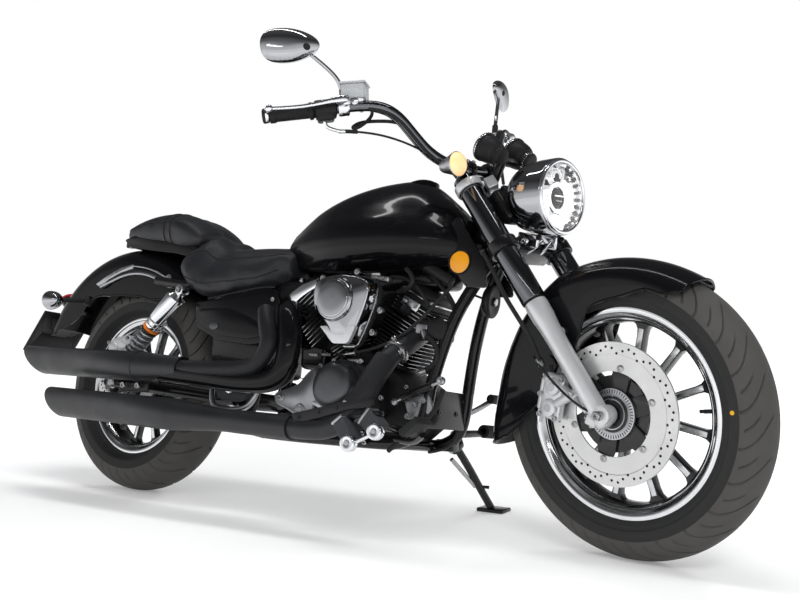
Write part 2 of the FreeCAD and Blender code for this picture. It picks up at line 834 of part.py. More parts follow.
def slab_between(name, fork_point, sign):
    """A small stay from a fork leg to the front fender's side."""
    y_in = sign * (plain(D["front_fender_half"]) - 2)
    x, z = fork_point.x, fork_point.z
    steps = ((x - 20, z - 40), (x + 14, z - 46), (x + 26, z + 34), (x - 8, z + 40))
    return slab(name, steps, min(y_in, y_in + sign * 9), max(y_in, y_in + sign * 9))


def make_covers():
    """Side covers under the seat and the neck's side covers with their round reflectors."""
    outline = (
        (300, 540),
        (310, 470),
        (400, 430),
        (517, 421),
        (590, 430),
        (604, 470),
        (602, 560),
        (560, 572),
        (344, 543),
    )
    covers = [
        slab("cover_" + side, outline, min(sign * 122, sign * 136), max(sign * 122, sign * 136))
        for side, sign in SIDES
    ]
    piece("side_covers", group("covers", covers))

    sides = []
    for side, sign in SIDES:
        corners = [along_stem(590, -34), along_stem(590, -104), along_stem(430, -104), along_stem(398, -60)]
        corners.append(along_stem(450, -34))
        steps = [(corner.x, corner.z) for corner in corners]
        y = sign * 66
        plate = slab("neck_side_" + side, steps, min(y, y + sign * 4), max(y, y + sign * 4))
        centre = along_stem(476, -84, y + sign * 3)
        lens = cylinder("reflector_" + side, centre, V(0, sign, 0), 12, 26)
        sides.append(fused("neck_cover_" + side, [plate, lens]))
    piece("neck_covers", group("neck_cover_pair", sides))


# ---- engine and exhaust -----------------------------------------------------------------------------------

def engine_cylinder(name, lean_angle):
    """A finned cylinder and head, leaning from vertical about the crank."""
    turn = FreeCAD.Rotation(V(0, 1, 0), lean_angle)

    def at(up):
        return CRANK + turn.multVec(V(0, 0, up))

    axis = turn.multVec(UP)
    parts = [cylinder(name + "_barrel", at(95.2), axis, 118, D["barrel_radius"])]
    for number in range(11):
        up = 110 + number * plain(D["fin_pitch"])
        fin = block(
            f"{name}_fin_{number}", at(up), D["fin_length"], D["fin_width"], D["fin_thickness"], turn
        )
        parts.append(fin)
    parts.append(block(name + "_head", at(232), 104, 118, 40, turn))
    for number in range(4):
        up = 214 + number * plain(D["fin_pitch"])
        parts.append(block(f"{name}_head_fin_{number}", at(up), 126, 136, D["fin_thickness"], turn))
    parts.append(block(name + "_rocker_cover", at(266), 100, 96, 32, turn))
    return fused(name, parts)


def make_engine():
    """V-twin engine: crankcase, two finned cylinders, side covers, air cleaner and intake."""
    case = (
        (652, 240),
        (700, 206),
        (955, 206),
        (1008, 250),
        (1000, 330),
        (943, 366),
        (850, 419),
        (757, 366),
        (690, 368),
        (650, 325),
    )
    piece("crankcase", slab("engine_case", case, -84, 84))
    piece("front_cylinder", engine_cylinder("cylinder_front", V_ANGLE))
    piece("rear_cylinder", engine_cylinder("cylinder_rear", -V_ANGLE))

    right_case = (
        (684, 262),
        (720, 226),
        (905, 222),
        (940, 262),
        (935, 345),
        (880, 378),
        (800, 378),
        (740, 340),
        (690, 345),
    )
    shell = slab("right_case", right_case, -150, -84.2)
    dome = turned_piece(
        "clutch_dome",
        V(836, -149, 312),
        V(0, -1, 0),
        (0, 0),
        (66, 0),
        (66, 18),
        (52, 30, 30, 35),
        (0, 36),
    )
    piece("clutch_cover", fused("clutch_side", [shell, dome]))

    left_case = (
        (662, 262),
        (720, 222),
        (905, 218),
        (940, 262),
        (935, 345),
        (880, 378),
        (800, 378),
        (740, 345),
        (664, 345),
    )
    solid_case = slab("left_case", left_case, 84.2, 132)
    pocket = block("pulley_pocket", FRONT_PULLEY + V(-6, 97, 0), 118, 28, 160)
    shell = cut("left_case_open", solid_case, pocket)
    dome = turned_piece(
        "generator_dome",
        V(850, 131, 300),
        V(0, 1, 0),
        (0, 0),
        (70, 0),
        (70, 10),
        (56, 24, 36, 28),
        (0, 28),
    )
    piece("generator_cover", fused("generator_side", [shell, dome]))

    body = cylinder("intake_body", V(850, -120, 505), V(0, 1, 0), 170, 33)
    stubs = [
        rod("intake_stub_front", V(850, 0, 505), V(888, 0, 500), 19),
        rod("intake_stub_rear", V(850, 0, 505), V(812, 0, 500), 19),
    ]
    piece("intake", fused("throttle_body", [body] + stubs))

    dome = turned_piece(
        "filter_dome",
        V(872, -120.5, 530),
        V(0, -1, 0),
        (0, 0),
        (80, 0),
        (84, 40),
        (74, 66, 58, 72),
        (0, 74),
    )
    skirt_lines = ((792, 500), (812, 440, 882, 432), (930, 440, 955, 510), (872, 560))
    skirt = slab("filter_skirt", skirt_lines, -176, -120.5)
    piece("air_cleaner", fused("filter_cover", [dome, skirt]))


def make_exhaust():
    """Header pipes from both heads, and the two slash-cut mufflers on the right."""
    rear_turn = FreeCAD.Rotation(V(0, 1, 0), -V_ANGLE)
    front_turn = FreeCAD.Rotation(V(0, 1, 0), V_ANGLE)
    rear_port = CRANK + rear_turn.multVec(V(-56, -30, 222))
    front_port = CRANK + front_turn.multVec(V(56, -18, 228))
    upper = (
        tuple(rear_port),
        (645, -78, 494),
        (640, -165, 508),
        (690, -204, 462),
        (702, -204, 396),
        (650, -204, 340.4),
        (430, -204, 346),
    )
    lower = (
        tuple(front_port),
        (1024, -60, 462),
        (1012, -104, 432),
        (968, -144, 396),
        (955, -185, 340),
        (945, -205, 295),
        (914, -225, 232),
        (850, -230, 202.8),
        (770, -230, 206),
    )
    rooms = [
        block(name, CRANK + turn.multVec(V(0, 0, 196)), D["fin_length"] + 2.4, D["fin_width"] + 0.4, 190, turn)
        for name, turn in (("rear_cylinder_room", rear_turn), ("front_cylinder_room", front_turn))
    ]
    pipes = [
        cut("header_rear", tube("header_rear_pipe", upper, D["header_radius"] + 6, 90), rooms[0]),
        cut("header_front", tube("header_front_pipe", lower, D["header_radius"], 110), rooms[1]),
    ]
    piece("exhaust_pipes", group("headers", pipes))

    mufflers = []
    for name, front, back, trim in (
        ("upper", V(430, -204, 346), V(-355, -204, 366), (-347, 412, -168, 322)),
        ("lower", V(770, -230, 206), V(-175, -230, 244), (-167, 290, -52, 196)),
    ):
        line = (back - front)
        length = line.Length
        line.normalize()
        taper = 80.0 if name == "upper" else 330.0
        start = D["header_radius"] + (6 if name == "upper" else 4)
        nose = cone(name + "_nose", front + line * 0.5, line, taper, start, D["muffler_radius"])
        can = cylinder(name + "_can", front + line * taper, line, length - taper + 1, D["muffler_radius"])
        tip_x, tip_z, heel_x, heel_z = trim
        wedge = slab(
            name + "_wedge",
            ((tip_x, tip_z), (heel_x, heel_z), (heel_x, heel_z - 40), (tip_x - 80, tip_z - 160), (tip_x - 80, tip_z)),
            -300,
            -150,
        )
        whole = fused(name + "_whole", [nose, can])
        trimmed = cut(name + "_trimmed", whole, wedge)
        hollow = cylinder(name + "_hollow", back - line * 1, line * -1, 190, plain(D["muffler_radius"]) - 3)
        mufflers.append(cut("muffler_" + name, trimmed, hollow))
    piece("mufflers", group("muffler_pair", mufflers))


# ---- controls, lights, small pieces -----------------------------------------------------------------------

def make_foot_gear():
    """Footpegs, passenger pegs, brake pedal and shift lever."""
    pegs = []
    for side, sign in SIDES:
        inner = V(1000, sign * 116, 228)
        outer = V(1010, sign * 246, 236)
        bar = rod("peg_bar_" + side, inner, outer, 9)
        rubber = block("peg_rubber_" + side, V(1016, sign * 290, 242), 46, 92, 26)
        pegs.append(fused("rider_peg_" + side, [bar, rubber]))
    for side, sign in SIDES:
        bar = rod("pillion_bar_" + side, V(470, sign * 118, 300), V(470, sign * 160, 300), 8)
        loop = rod("pillion_rubber_" + side, V(470, sign * 158, 300), V(470, sign * 168, 300), 14)
        pegs.append(fused("pillion_peg_" + side, [bar, loop]))
    piece("footpegs", group("pegs", pegs))

    pedal_arm = tube("pedal_arm", ((985, -118, 208), (1060, -160, 205), (1112, -206, 222)), 7, 60)
    pedal_pad = block("pedal_pad", V(1112, -236, 236), 52, 66, 20)
    pedal = fused("brake_pedal", [pedal_arm, pedal_pad])
    lever_arm = tube("shift_arm", ((960, 118, 262), (1010, 180, 285), (1062, 200, 322)), 7, 60)
    lever_tip = rod("shift_tip", V(1062, 186, 324), V(1062, 252, 324), 12)
    lever = fused("shift_lever", [lever_arm, lever_tip])
    piece("foot_controls", group("foot_levers", [pedal, lever]))


def make_rear_lights():
    """Tail light on the fender and the two rear signals on stalks."""
    lamp = block("tail_lamp", V(-416, 0, 570), 60, 110, 56, FreeCAD.Rotation(V(0, 1, 0), 52))
    room = cylinder("tail_lamp_seat", REAR_FENDER_CENTRE - V(0, 60, 0), V(0, 1, 0), 120, D["rear_fender_radius"])
    piece("tail_light", cut("tail_lamp_body", lamp, room))
    signals = []
    for side, sign in SIDES:
        y = sign * 98
        stalk = rod("rear_stalk_" + side, V(-226, y, 562), V(-262, sign * 172, 553), 8)
        bullet = rod("rear_bullet_" + side, V(-250, sign * 186, 550), V(-298, sign * 186, 550), 28)
        nose = cone("rear_nose_" + side, V(-250, sign * 186, 550), V(1, 0, 0), 24, 28, 10)
        signals.append(fused("rear_signal_" + side, [stalk, bullet, nose]))
    piece("rear_signals", group("rear_signal_pair", signals))


def belt_outline(rear_radius, front_radius):
    """The loop around the two pulleys, as steps for a side-view outline."""
    span = FRONT_PULLEY - REAR_AXLE
    level = math.atan2(span.z, span.x)
    open_by = math.acos((rear_radius - front_radius) / span.Length)

    def on(centre, radius, angle):
        return (centre.x + radius * math.cos(angle), centre.z + radius * math.sin(angle))

    return (
        on(REAR_AXLE, rear_radius, level + open_by),
        on(REAR_AXLE, rear_radius, level + math.pi) + on(REAR_AXLE, rear_radius, level - open_by),
        on(FRONT_PULLEY, front_radius, level - open_by),
        on(FRONT_PULLEY, front_radius, level) + on(FRONT_PULLEY, front_radius, level + open_by),
    )


def make_frame_fittings():
    """Rear caliper, belt, horn and the clutch cable from the neck to the engine."""
    housing = caliper(
        "rear_brake", REAR_AXLE, D["rear_disc_radius"], D["rear_disc_offset"], 100, V(-6, -116, 338)
    )
    piece("rear_caliper", housing)

    loops = []
    for name, stand_off, y_low, y_high in (("outside", 3.4, 84, 103), ("inside", 0.4, 83, 104)):
        loops.append(slab("belt_" + name, belt_outline(90 + stand_off, 38 + stand_off), y_low, y_high))
    sprocket = cylinder("front_pulley", V(FRONT_PULLEY.x, 84.4, FRONT_PULLEY.z), V(0, 1, 0), 20, 38)
    belt = cut("belt_loop", loops[0], loops[1])
    piece("drive_belt", group("belt_and_pulley", [belt, sprocket]))

    horn_body = cylinder("horn_dish", V(1152, 12, 532), V(0.9, -0.3, -0.1), 26, 38)
    horn_stem = rod("horn_stem", V(1154, 12, 532), V(1124, 6, 560), 6)
    piece("horn", fused("horn_unit", [horn_body, horn_stem]))

    route = (
        (1098, -96, 566),
        (1062, -104, 524),
        (1024, -112, 482),
        (988, -118, 450),
        (944, -124, 426),
        (896, -125, 410),
        (824, -125, 401),
    )
    piece("clutch_cable", cord("engine_cable", route, 4))


# ---- front end --------------------------------------------------------------------------------------------

def make_fork():
    """Clamps and stem, and the two fork legs joined by the hollow front axle."""
    half = plain(D["fork_half"])
    stem = cylinder("stem", along_stem(425), STEER_UP, 190, D["stem_radius"])
    clamps = [stem]
    for name, low, high, reach in (("lower", 419, 446, 36), ("upper", 597, 617, 33)):
        turn = FreeCAD.Rotation(STEER_FORWARD, V(0, 1, 0), STEER_UP, "ZXY")
        middle = along_stem((low + high) / 2, 48)
        clamps.append(block(name + "_clamp", middle, 46, 2 * half, high - low, turn))
        for side, sign in SIDES:
            eye = cylinder(f"{name}_eye_{side}", along_stem(low, 61, sign * half), STEER_UP, high - low, reach)
            clamps.append(eye)
        clamps.append(cylinder(name + "_boss", along_stem(low, 0), STEER_UP, high - low, D["neck_radius"] - 2))
    body = fused("clamp_body", clamps)
    holes = [
        cylinder("clamp_hole_" + side, along_stem(400, 61, sign * half), STEER_UP, 240, D["fork_cover_radius"] + 0.3)
        for side, sign in SIDES
    ]
    piece("fork_clamps", cut("clamps", body, *holes), steered=True)

    legs = []
    for side, sign in SIDES:
        y = sign * half
        legs.append(cylinder("lower_leg_" + side, along_stem(-14, 61, y), STEER_UP, 300, D["fork_lower_radius"]))
        legs.append(cylinder("leg_cover_" + side, along_stem(285, 61, y), STEER_UP, 346, D["fork_cover_radius"]))
        legs.append(cylinder("leg_cap_" + side, along_stem(630, 61, y), STEER_UP, 10, 22))
        lug = cylinder("axle_lug_" + side, FRONT_AXLE + V(0, y - 17, 0), V(0, 1, 0), 34, 20)
        legs.append(lug)
    axle = cylinder("front_axle_bar", FRONT_AXLE + V(0, -132, 0), V(0, 1, 0), 264, D["axle_radius"])
    hollow = cylinder("front_axle_hollow", FRONT_AXLE + V(0, -133, 0), V(0, 1, 0), 266, D["axle_bore"])
    piece("fork", cut("fork_legs", fused("fork_body", legs + [axle]), hollow), steered=True)


def make_headlight():
    """Round headlight with its bezel, and its bracket to the clamps."""
    face = V(1342, 0, 769)
    ahead = FreeCAD.Rotation(V(0, 1, 0), 3).multVec(V(1, 0, 0))
    bowl = turned_piece(
        "headlight_bowl",
        face,
        ahead,
        (0, 12),
        (78, 2),
        (85, -2),
        (85, -28),
        (80, -34),
        (66, -96, 22, -118),
        (0, -118),
    )
    bracket = block("headlight_bracket", along_stem(520, 98), 120, 60, 30, FreeCAD.Rotation(V(0, 1, 0), -40))
    piece("headlight", fused("head_lamp", [bowl, bracket]), steered=True)


def make_handlebar():
    """Bent handlebar on two risers, grips, levers with switch housings, gauges and mirrors."""
    centre = V(1100, 0, 862)
    half_path = ((1098, 62, 864), (1048, 116, 918), (1014, 190, 988), (965, 252, 1008), (823, 435, 981))
    left = [(x, y, z) for x, y, z in half_path]
    right = [(x, -y, z) for x, y, z in reversed(half_path)]
    bar = tube("bar_tube", right + left, D["bar_radius"], 60)
    risers = []
    for side, sign in SIDES:
        foot = along_stem(617.2, 12, sign * 42)
        risers.append(rod("riser_" + side, foot, centre + V(0, sign * 42, 0), 14))
        risers.append(cylinder("riser_clamp_" + side, centre + V(0, sign * 42 - 17, 0), V(0, 1, 0), 34, 23))
    piece("handlebar", fused("bar", [bar] + risers), steered=True)

    grips, controls, mirrors = [], [], []
    for side, sign in SIDES:
        tip = V(823, sign * 435, 981)
        bend = V(965, sign * 252, 1008)
        line = (bend - tip).normalize()
        sleeve = cylinder("sleeve_" + side, tip - line * 8, line, 128, D["grip_radius"])
        bore = cylinder("sleeve_bore_" + side, tip - line * 0.2, line, 140, D["bar_radius"] + 0.1)
        grips.append(cut("grip_" + side, sleeve, bore))
        turn = facing(line)
        switch = block("switch_" + side, tip + line * 150, 46, 44, 40, turn)
        perch = block("perch_" + side, tip + line * 168 + V(14, 0, 8), 44, 34, 30, turn)
        start = tip + line * 172 + V(34, 0, 10)
        lever = tube(
            "lever_" + side,
            (tuple(start), tuple(tip + line * 120 + V(52, 0, 10)), tuple(tip + line * 4 + V(48, 0, 10))),
            5.5,
            80,
        )
        knob = ball("lever_knob_" + side, tip + line * 2 + V(48, 0, 10), 9)
        neck = rod("lever_neck_" + side, tip + line * 172 + V(10, 0, 8), start + V(6, 0, 0), 8)
        solid = fused("control_body_" + side, [switch, perch, lever, knob, neck])
        hole = cylinder("control_bore_" + side, tip + line * 121, line, 90, D["bar_radius"] + 0.1)
        controls.append(cut("control_" + side, solid, hole))

        foot = V(927, sign * 277, 1036)
        elbow = V(925, sign * 285, 1066)
        shoulder = V(884, sign * 352, 1142)
        stem = tube("mirror_stem_" + side, (tuple(foot), tuple(elbow), tuple(shoulder)), 5, 40)
        face_turn = FreeCAD.Rotation(V(0, 0, 1), sign * 27)
        head = block("mirror_head_" + side, V(872, sign * 388, 1152), 28, 144, 88, face_turn)
        mirrors.append(fused("mirror_" + side, [stem, head]))
    reservoir = block("reservoir", V(942, -266, 1050), 58, 54, 48, FreeCAD.Rotation(V(0, 0, 1), 36))
    right_control = fused("control_right_full", [controls[1], reservoir])
    piece("grips", group("grip_pair", grips), steered=True)
    piece("hand_controls", group("control_pair", [controls[0], right_control]), steered=True)
    piece("mirrors", group("mirror_pair", mirrors), steered=True)


def make_gauges():
    """Two round gauges above the headlight, on a common bracket."""
    cans = []
    for side, sign in SIDES:
        rear = V(1171, sign * 55, 904)
        front = V(1221, sign * 55, 878)
        can = rod("gauge_can_" + side, rear, front, 42)
        cans.append(can)
    bridge = block("gauge_bridge", V(1190, 0, 880), 30, 90, 10, FreeCAD.Rotation(V(0, 1, 0), 28))
    post = rod("gauge_post", V(1180, 0, 880), along_stem(617.3, 30), 10)
    piece("gauges", fused("gauge_pair", cans + [bridge, post]), steered=True)


def make_front_signals():
    """Round front signals on stalks from the fork."""
    signals = []
    for side, sign in SIDES:
        lens = V(1182, sign * 166, 850)
        can = cylinder("front_can_" + side, lens - V(44, 0, 0), V(1, 0, 0), 44, D["signal_radius"])
        back = cone("front_back_" + side, lens - V(44, 0, 0), V(-1, 0, 0), 22, 26, 8)
        stalk = rod("front_stalk_" + side, lens - V(26, sign * 20, 0), V(1150, sign * 128, 838), 7)
        signals.append(fused("front_signal_" + side, [can, back, stalk]))
    piece("front_signals", group("front_signal_pair", signals), steered=True)


def make_front_brake():
    """Front caliper behind the right fork leg, and the hose up to the lower clamp."""
    housing = caliper(
        "front_brake",
        FRONT_AXLE,
        D["front_disc_radius"],
        D["front_disc_offset"],
        166,
        along_stem(70, 45, -plain(D["fork_half"])),
    )
    piece("front_caliper", housing, steered=True)
    hose = (
        (1352, -104, 400),
        (1338, -112, 450),
        (1310, -124, 500),
        (1278, -132, 552),
        (1248, -128, 604),
        (1213, -121, 650),
    )
    piece("brake_hose", cord("front_hose", hose, 5), steered=True)


# ---- side stand -------------------------------------------------------------------------------------------

def make_side_stand(ground_point, pivot, pivot_axis, lift):
    """The side stand, drawn where it stands: pivot barrel, leg and foot plate on the ground."""
    barrel = cylinder("stand_barrel", pivot - pivot_axis * 14, pivot_axis, 28, 17)
    knee = pivot + (ground_point - pivot) * 0.3 + V(0, 6, 0)
    top = ground_point + V(0, 0, lift)
    leg = tube("stand_leg", (tuple(pivot + (knee - pivot) * 0.1), tuple(knee), tuple(top)), 10, 80)
    foot = block("stand_foot", ground_point + V(0, 8, 5), 76, 52, 10)
    bore = cylinder("stand_bore", pivot - pivot_axis * 40, pivot_axis, 80, 8.05)
    return cut("stand", fused("stand_body", [barrel, leg, foot]), bore)


# ---- putting it on the ground -----------------------------------------------------------------------------

def lowest(shapes):
    """The lowest height of some shapes."""
    return min(shape.optimalBoundingBox(False).ZMin for shape in shapes)


def placements():
    """Leans the bike, turns its steering, and sets both tyres on the ground."""
    steer = turn_about(STEM_FOOT, STEER_UP, plain(D["steer_rest"]))
    tyres = {label: thing.Shape for label, thing, steered in PIECES if label.endswith("_tyre")}
    pitch, lift = 0.0, 0.0
    lean = FreeCAD.Placement(V(0, 0, 0), FreeCAD.Rotation(V(1, 0, 0), -plain(D["lean"])))
    for step in range(6):
        tip = turn_about(V(0, 0, 0), V(0, 1, 0), pitch)
        frame_side = FreeCAD.Placement(V(0, 0, lift), FreeCAD.Rotation()).multiply(tip).multiply(lean)
        low = []
        for label, side in (("rear_tyre", frame_side), ("front_tyre", frame_side.multiply(steer))):
            copy = tyres[label].copy()
            copy.Placement = side.multiply(copy.Placement)
            low.append(lowest([copy]))
        pitch += math.degrees((low[1] - low[0]) / plain(D["wheelbase"]))
        lift -= low[0]
    return frame_side, frame_side.multiply(steer)


TRIMMED = (
    # the piece that gives way, the neighbours it is shaped around
    ("downtubes", "main_frame"),
    ("lower_cradle", "main_frame", "downtubes"),
    ("intake", "front_cylinder", "rear_cylinder"),
    ("neck_covers", "fuel_tank"),
    ("fuel_tank", "main_frame"),
    ("rider_seat", "main_frame"),
    ("plate_bracket", "rear_fender", "tail_light"),
    ("rear_caliper", "swingarm"),
    ("front_caliper", "fork"),
    ("front_fender", "fork", "front_caliper"),
    ("handlebar", "fork_clamps"),
    ("gauges", "fork_clamps"),
    ("mirrors", "hand_controls"),
)

make_wheels()
make_frame()
make_swingarm()
make_shocks()
make_tank()
make_seats()
make_fenders()
make_covers()
make_engine()
make_exhaust()
make_foot_gear()
make_rear_lights()
make_frame_fittings()
make_fork()
make_headlight()
make_handlebar()
make_gauges()
make_front_signals()
make_front_brake()
for trimmed_piece, *neighbours in TRIMMED:
    shaped_around(trimmed_piece, *neighbours)
doc.recompute()

FRAME_SIDE, STEERED_SIDE = placements()
for label, thing, steered in PIECES:
    side = STEERED_SIDE if steered else FRAME_SIDE
    thing.Placement = side.multiply(thing.Placement)
doc.recompute()

stand_axis = FRAME_SIDE.Rotation.multVec(STAND_AXIS)
stand_pivot = FRAME_SIDE.multVec(STAND_PIVOT)
stand_ground = V(stand_pivot.x + 42, stand_pivot.y + 118, 0)
piece("side_stand", make_side_stand(stand_ground, stand_pivot, stand_axis, 5))
doc.recompute()

# The origin is the middle of the whole bike's footprint, on the ground.
whole = Part.makeCompound([thing.Shape for label, thing, steered in PIECES])
box = whole.optimalBoundingBox(False)
SHIFT = FreeCAD.Placement(V(-(box.XMin + box.XMax) / 2, -(box.YMin + box.YMax) / 2, -box.ZMin), FreeCAD.Rotation())
for label, thing, steered in PIECES:
    thing.Placement = SHIFT.multiply(thing.Placement)
doc.recompute()

# ---- check and write --------------------------------------------------------------------------------------

for thing in doc.Objects:
    if "Invalid" in thing.State or "Error" in thing.State:
        raise RuntimeError(f"{thing.Name} failed: {thing.State}")
os.makedirs("parts", exist_ok=True)
for label, thing, steered in PIECES:
    shape = thing.Shape
    if shape.isNull() or not shape.isValid() or shape.Volume <= 0:
        raise RuntimeError(f"{label} has no valid shape")
    print(f"{label}: {len(shape.Solids)} solids, {shape.Volume / 1e6:.3f} litres")
    shape.exportStep(f"parts/{label}.step")

frame_place = SHIFT.multiply(FRAME_SIDE)
steer_place = SHIFT.multiply(STEERED_SIDE)
for name, point, axis, place in (
    ("rear_axle", REAR_AXLE, V(0, 1, 0), frame_place),
    ("front_axle", FRONT_AXLE, V(0, 1, 0), steer_place),
    ("steering", STEM_FOOT, STEER_UP, frame_place),
    ("side_stand", STAND_PIVOT, STAND_AXIS, frame_place),
    ("plate", PLATE_CENTRE, PLATE_OUT, frame_place),
):
    here = place.multVec(point)
    way = place.Rotation.multVec(axis)
    print(f"PLACE {name} {here.x:.6f} {here.y:.6f} {here.z:.6f} {way.x:.9f} {way.y:.9f} {way.z:.9f}")
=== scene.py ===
"""Cruiser motorcycle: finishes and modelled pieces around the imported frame.

Pieces are shaped in millimetres in the bike's own frame (origin on the ground line under the rear axle, X forward,
Y to the rider's left, Z up, bike upright, steering straight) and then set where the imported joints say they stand.
"""

import json
import logging
import math
import random
from dataclasses import dataclass
from enum import Enum
from typing import Callable, Iterator, Sequence

import bmesh
import bpy
from mathutils import Matrix, Vector
from mathutils.bvhtree import BVHTree


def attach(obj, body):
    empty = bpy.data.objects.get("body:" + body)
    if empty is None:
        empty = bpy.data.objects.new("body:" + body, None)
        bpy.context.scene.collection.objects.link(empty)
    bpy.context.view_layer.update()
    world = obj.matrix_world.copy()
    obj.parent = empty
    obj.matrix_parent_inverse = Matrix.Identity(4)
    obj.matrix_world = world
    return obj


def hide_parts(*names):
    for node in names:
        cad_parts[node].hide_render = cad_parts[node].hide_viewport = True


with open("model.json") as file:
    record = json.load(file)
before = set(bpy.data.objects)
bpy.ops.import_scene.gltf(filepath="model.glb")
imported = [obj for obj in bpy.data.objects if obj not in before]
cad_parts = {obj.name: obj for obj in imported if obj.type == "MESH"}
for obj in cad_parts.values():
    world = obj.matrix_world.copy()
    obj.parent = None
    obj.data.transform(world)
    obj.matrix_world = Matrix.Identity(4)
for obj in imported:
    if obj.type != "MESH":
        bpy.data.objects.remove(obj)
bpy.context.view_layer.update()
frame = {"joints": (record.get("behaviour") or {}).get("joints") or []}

LOG = logging.getLogger("motorcycle")
MM = 0.001
TAU = math.tau
RAKE = math.radians(33.5)
STEM_UP = Vector((-math.sin(RAKE), 0.0, math.cos(RAKE)))
STEM_AHEAD = Vector((math.cos(RAKE), 0.0, math.sin(RAKE)))
LEFTWARD = Vector((0.0, 1.0, 0.0))
REAR_AXLE = Vector((0.0, 0.0, 310.0))
FRONT_AXLE = Vector((1500.0, 0.0, 302.0))
STEM_FOOT = FRONT_AXLE - STEM_AHEAD * 70.0
SIDES = (1, -1)

Point = Sequence[float]


class Body(Enum):
    """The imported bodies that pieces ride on."""

    FRAME = "frame"
    STEERING = "steering"
    FRONT_WHEEL = "front_wheel"
    REAR_WHEEL = "rear_wheel"
    SIDE_STAND = "side_stand"


def on_stem(up: float, ahead: float = 0.0, side: float = 0.0) -> Vector:
    """A point along the steering axis, ahead of it and to the left.

    Args:
        up: Distance up the steering axis from the axle's level.
        ahead: Distance ahead of the axis.
        side: Distance to the left.

    Returns:
        The point in the bike's frame.
    """
    return STEM_FOOT + STEM_UP * up + STEM_AHEAD * ahead + LEFTWARD * side


def turned(axis: Point, degrees: float) -> Matrix:
    """The 4x4 rotation by an angle about an axis."""
    return Matrix.Rotation(math.radians(degrees), 4, Vector(axis))


def facing(direction: Point, at: Point = (0, 0, 0), spin: float = 0.0) -> Matrix:
    """The matrix that takes Z to a direction, X to level where it can, and the origin to a point.

    Args:
        direction: Where Z goes.
        at: Where the origin goes.
        spin: Turn about Z first, in degrees.

    Returns:
        The 4x4 matrix.
    """
    z = Vector(direction).normalized()
    x = Vector((0, 0, 1)).cross(z)
    x = Vector((0, 1, 0)) if x.length < 1e-6 else x.normalized()
    y = z.cross(x)
    turn = Matrix((x, y, z)).transposed().to_4x4()
    return Matrix.Translation(Vector(at)) @ turn @ turned((0, 0, 1), spin)


def ease(share: float) -> float:
    """A smooth step from 0 to 1."""
    share = min(1.0, max(0.0, share))
    return share * share * (3 - 2 * share)


def along(rows: Sequence[Sequence[float]], share: float) -> list[float]:
    """The row at a share of a table's length, on a smooth curve through its rows.

    Args:
        rows: The table.
        share: 0 at the first row, 1 at the last.

    Returns:
        The row's values.
    """
    reach = min(max(share, 0.0), 1.0) * (len(rows) - 1)
    index = min(int(reach), len(rows) - 2)
    t = reach - index
    near = [rows[min(max(index + step, 0), len(rows) - 1)] for step in (-1, 0, 1, 2)]
    result = []
    for a, b, c, d in zip(*near):
        slope_b, slope_c = (c - a) / 2, (d - b) / 2
        value = b + slope_b * t + (3 * (c - b) - 2 * slope_b - slope_c) * t**2
        result.append(value + (2 * (b - c) + slope_b + slope_c) * t**3)
    return result


class Stance:
    """Where the bike's own frame stands in the row frame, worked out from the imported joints."""

    def __init__(self, joints: Sequence[dict]) -> None:
        """Reads the axes of the wheels and the steering.

        Args:
            joints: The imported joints, with their axes and positions.
        """
        found = {joint["name"]: joint for joint in joints}
        left = Vector(found["rear_wheel_spin"]["axis"]).normalized()
        stem = Vector(found["steering"]["axis"]).normalized()
        ahead = left.cross(stem)
        forward = ahead * math.cos(RAKE) - stem * math.sin(RAKE)
        up = forward.cross(left)
        origin = Vector(found["rear_wheel_spin"]["pos_m"]) - up * REAR_AXLE.z * MM
        turn = Matrix((forward, left, up)).transposed().to_4x4()
        self.upright = Matrix.Translation(origin) @ turn @ Matrix.Scale(MM, 4)
        across = Vector(found["front_wheel_spin"]["axis"]).normalized()
        angle = math.atan2(left.cross(across).dot(stem), left.dot(across))
        foot = Matrix.Translation(Vector(found["steering"]["pos_m"]))
        self.steered = foot @ Matrix.Rotation(angle, 4, stem) @ foot.inverted() @ self.upright

    def of(self, body: Body) -> Matrix:
        """The matrix from the bike's frame to the row frame for a body's pieces."""
        return self.steered if body in (Body.STEERING, Body.FRONT_WHEEL) else self.upright


STANCE = Stance(frame["joints"])


# ---- finishes ---------------------------------------------------------------------------------------------


class Nodes:
    """A node tree with short ways to add and link its nodes."""

    def __init__(self, tree: bpy.types.NodeTree) -> None:
        """Starts from an empty tree."""
        self.tree = tree
        tree.nodes.clear()

    def add(self, kind: str, **settings: object) -> bpy.types.Node:
        """Adds a node and sets its properties.

        Args:
            kind: The node's type.
            settings: Its properties, by name.

        Returns:
            The node.
        """
        node = self.tree.nodes.new(kind)
        for name, value in settings.items():
            setattr(node, name, value)
        return node

    def link(self, source: bpy.types.NodeSocket, target: bpy.types.NodeSocket) -> None:
        """Links two sockets."""
        self.tree.links.new(source, target)

    def group(self, tree: bpy.types.NodeTree, **values: object) -> bpy.types.Node:
        """Adds a node group with its inputs set by name (underscores for spaces).

        Args:
            tree: The group's tree.
            values: Its inputs, by name.

        Returns:
            The node.
        """
        node = self.add("ShaderNodeGroup", node_tree=tree)
        for name, value in values.items():
            node.inputs[name.replace("_", " ")].default_value = value
        return node


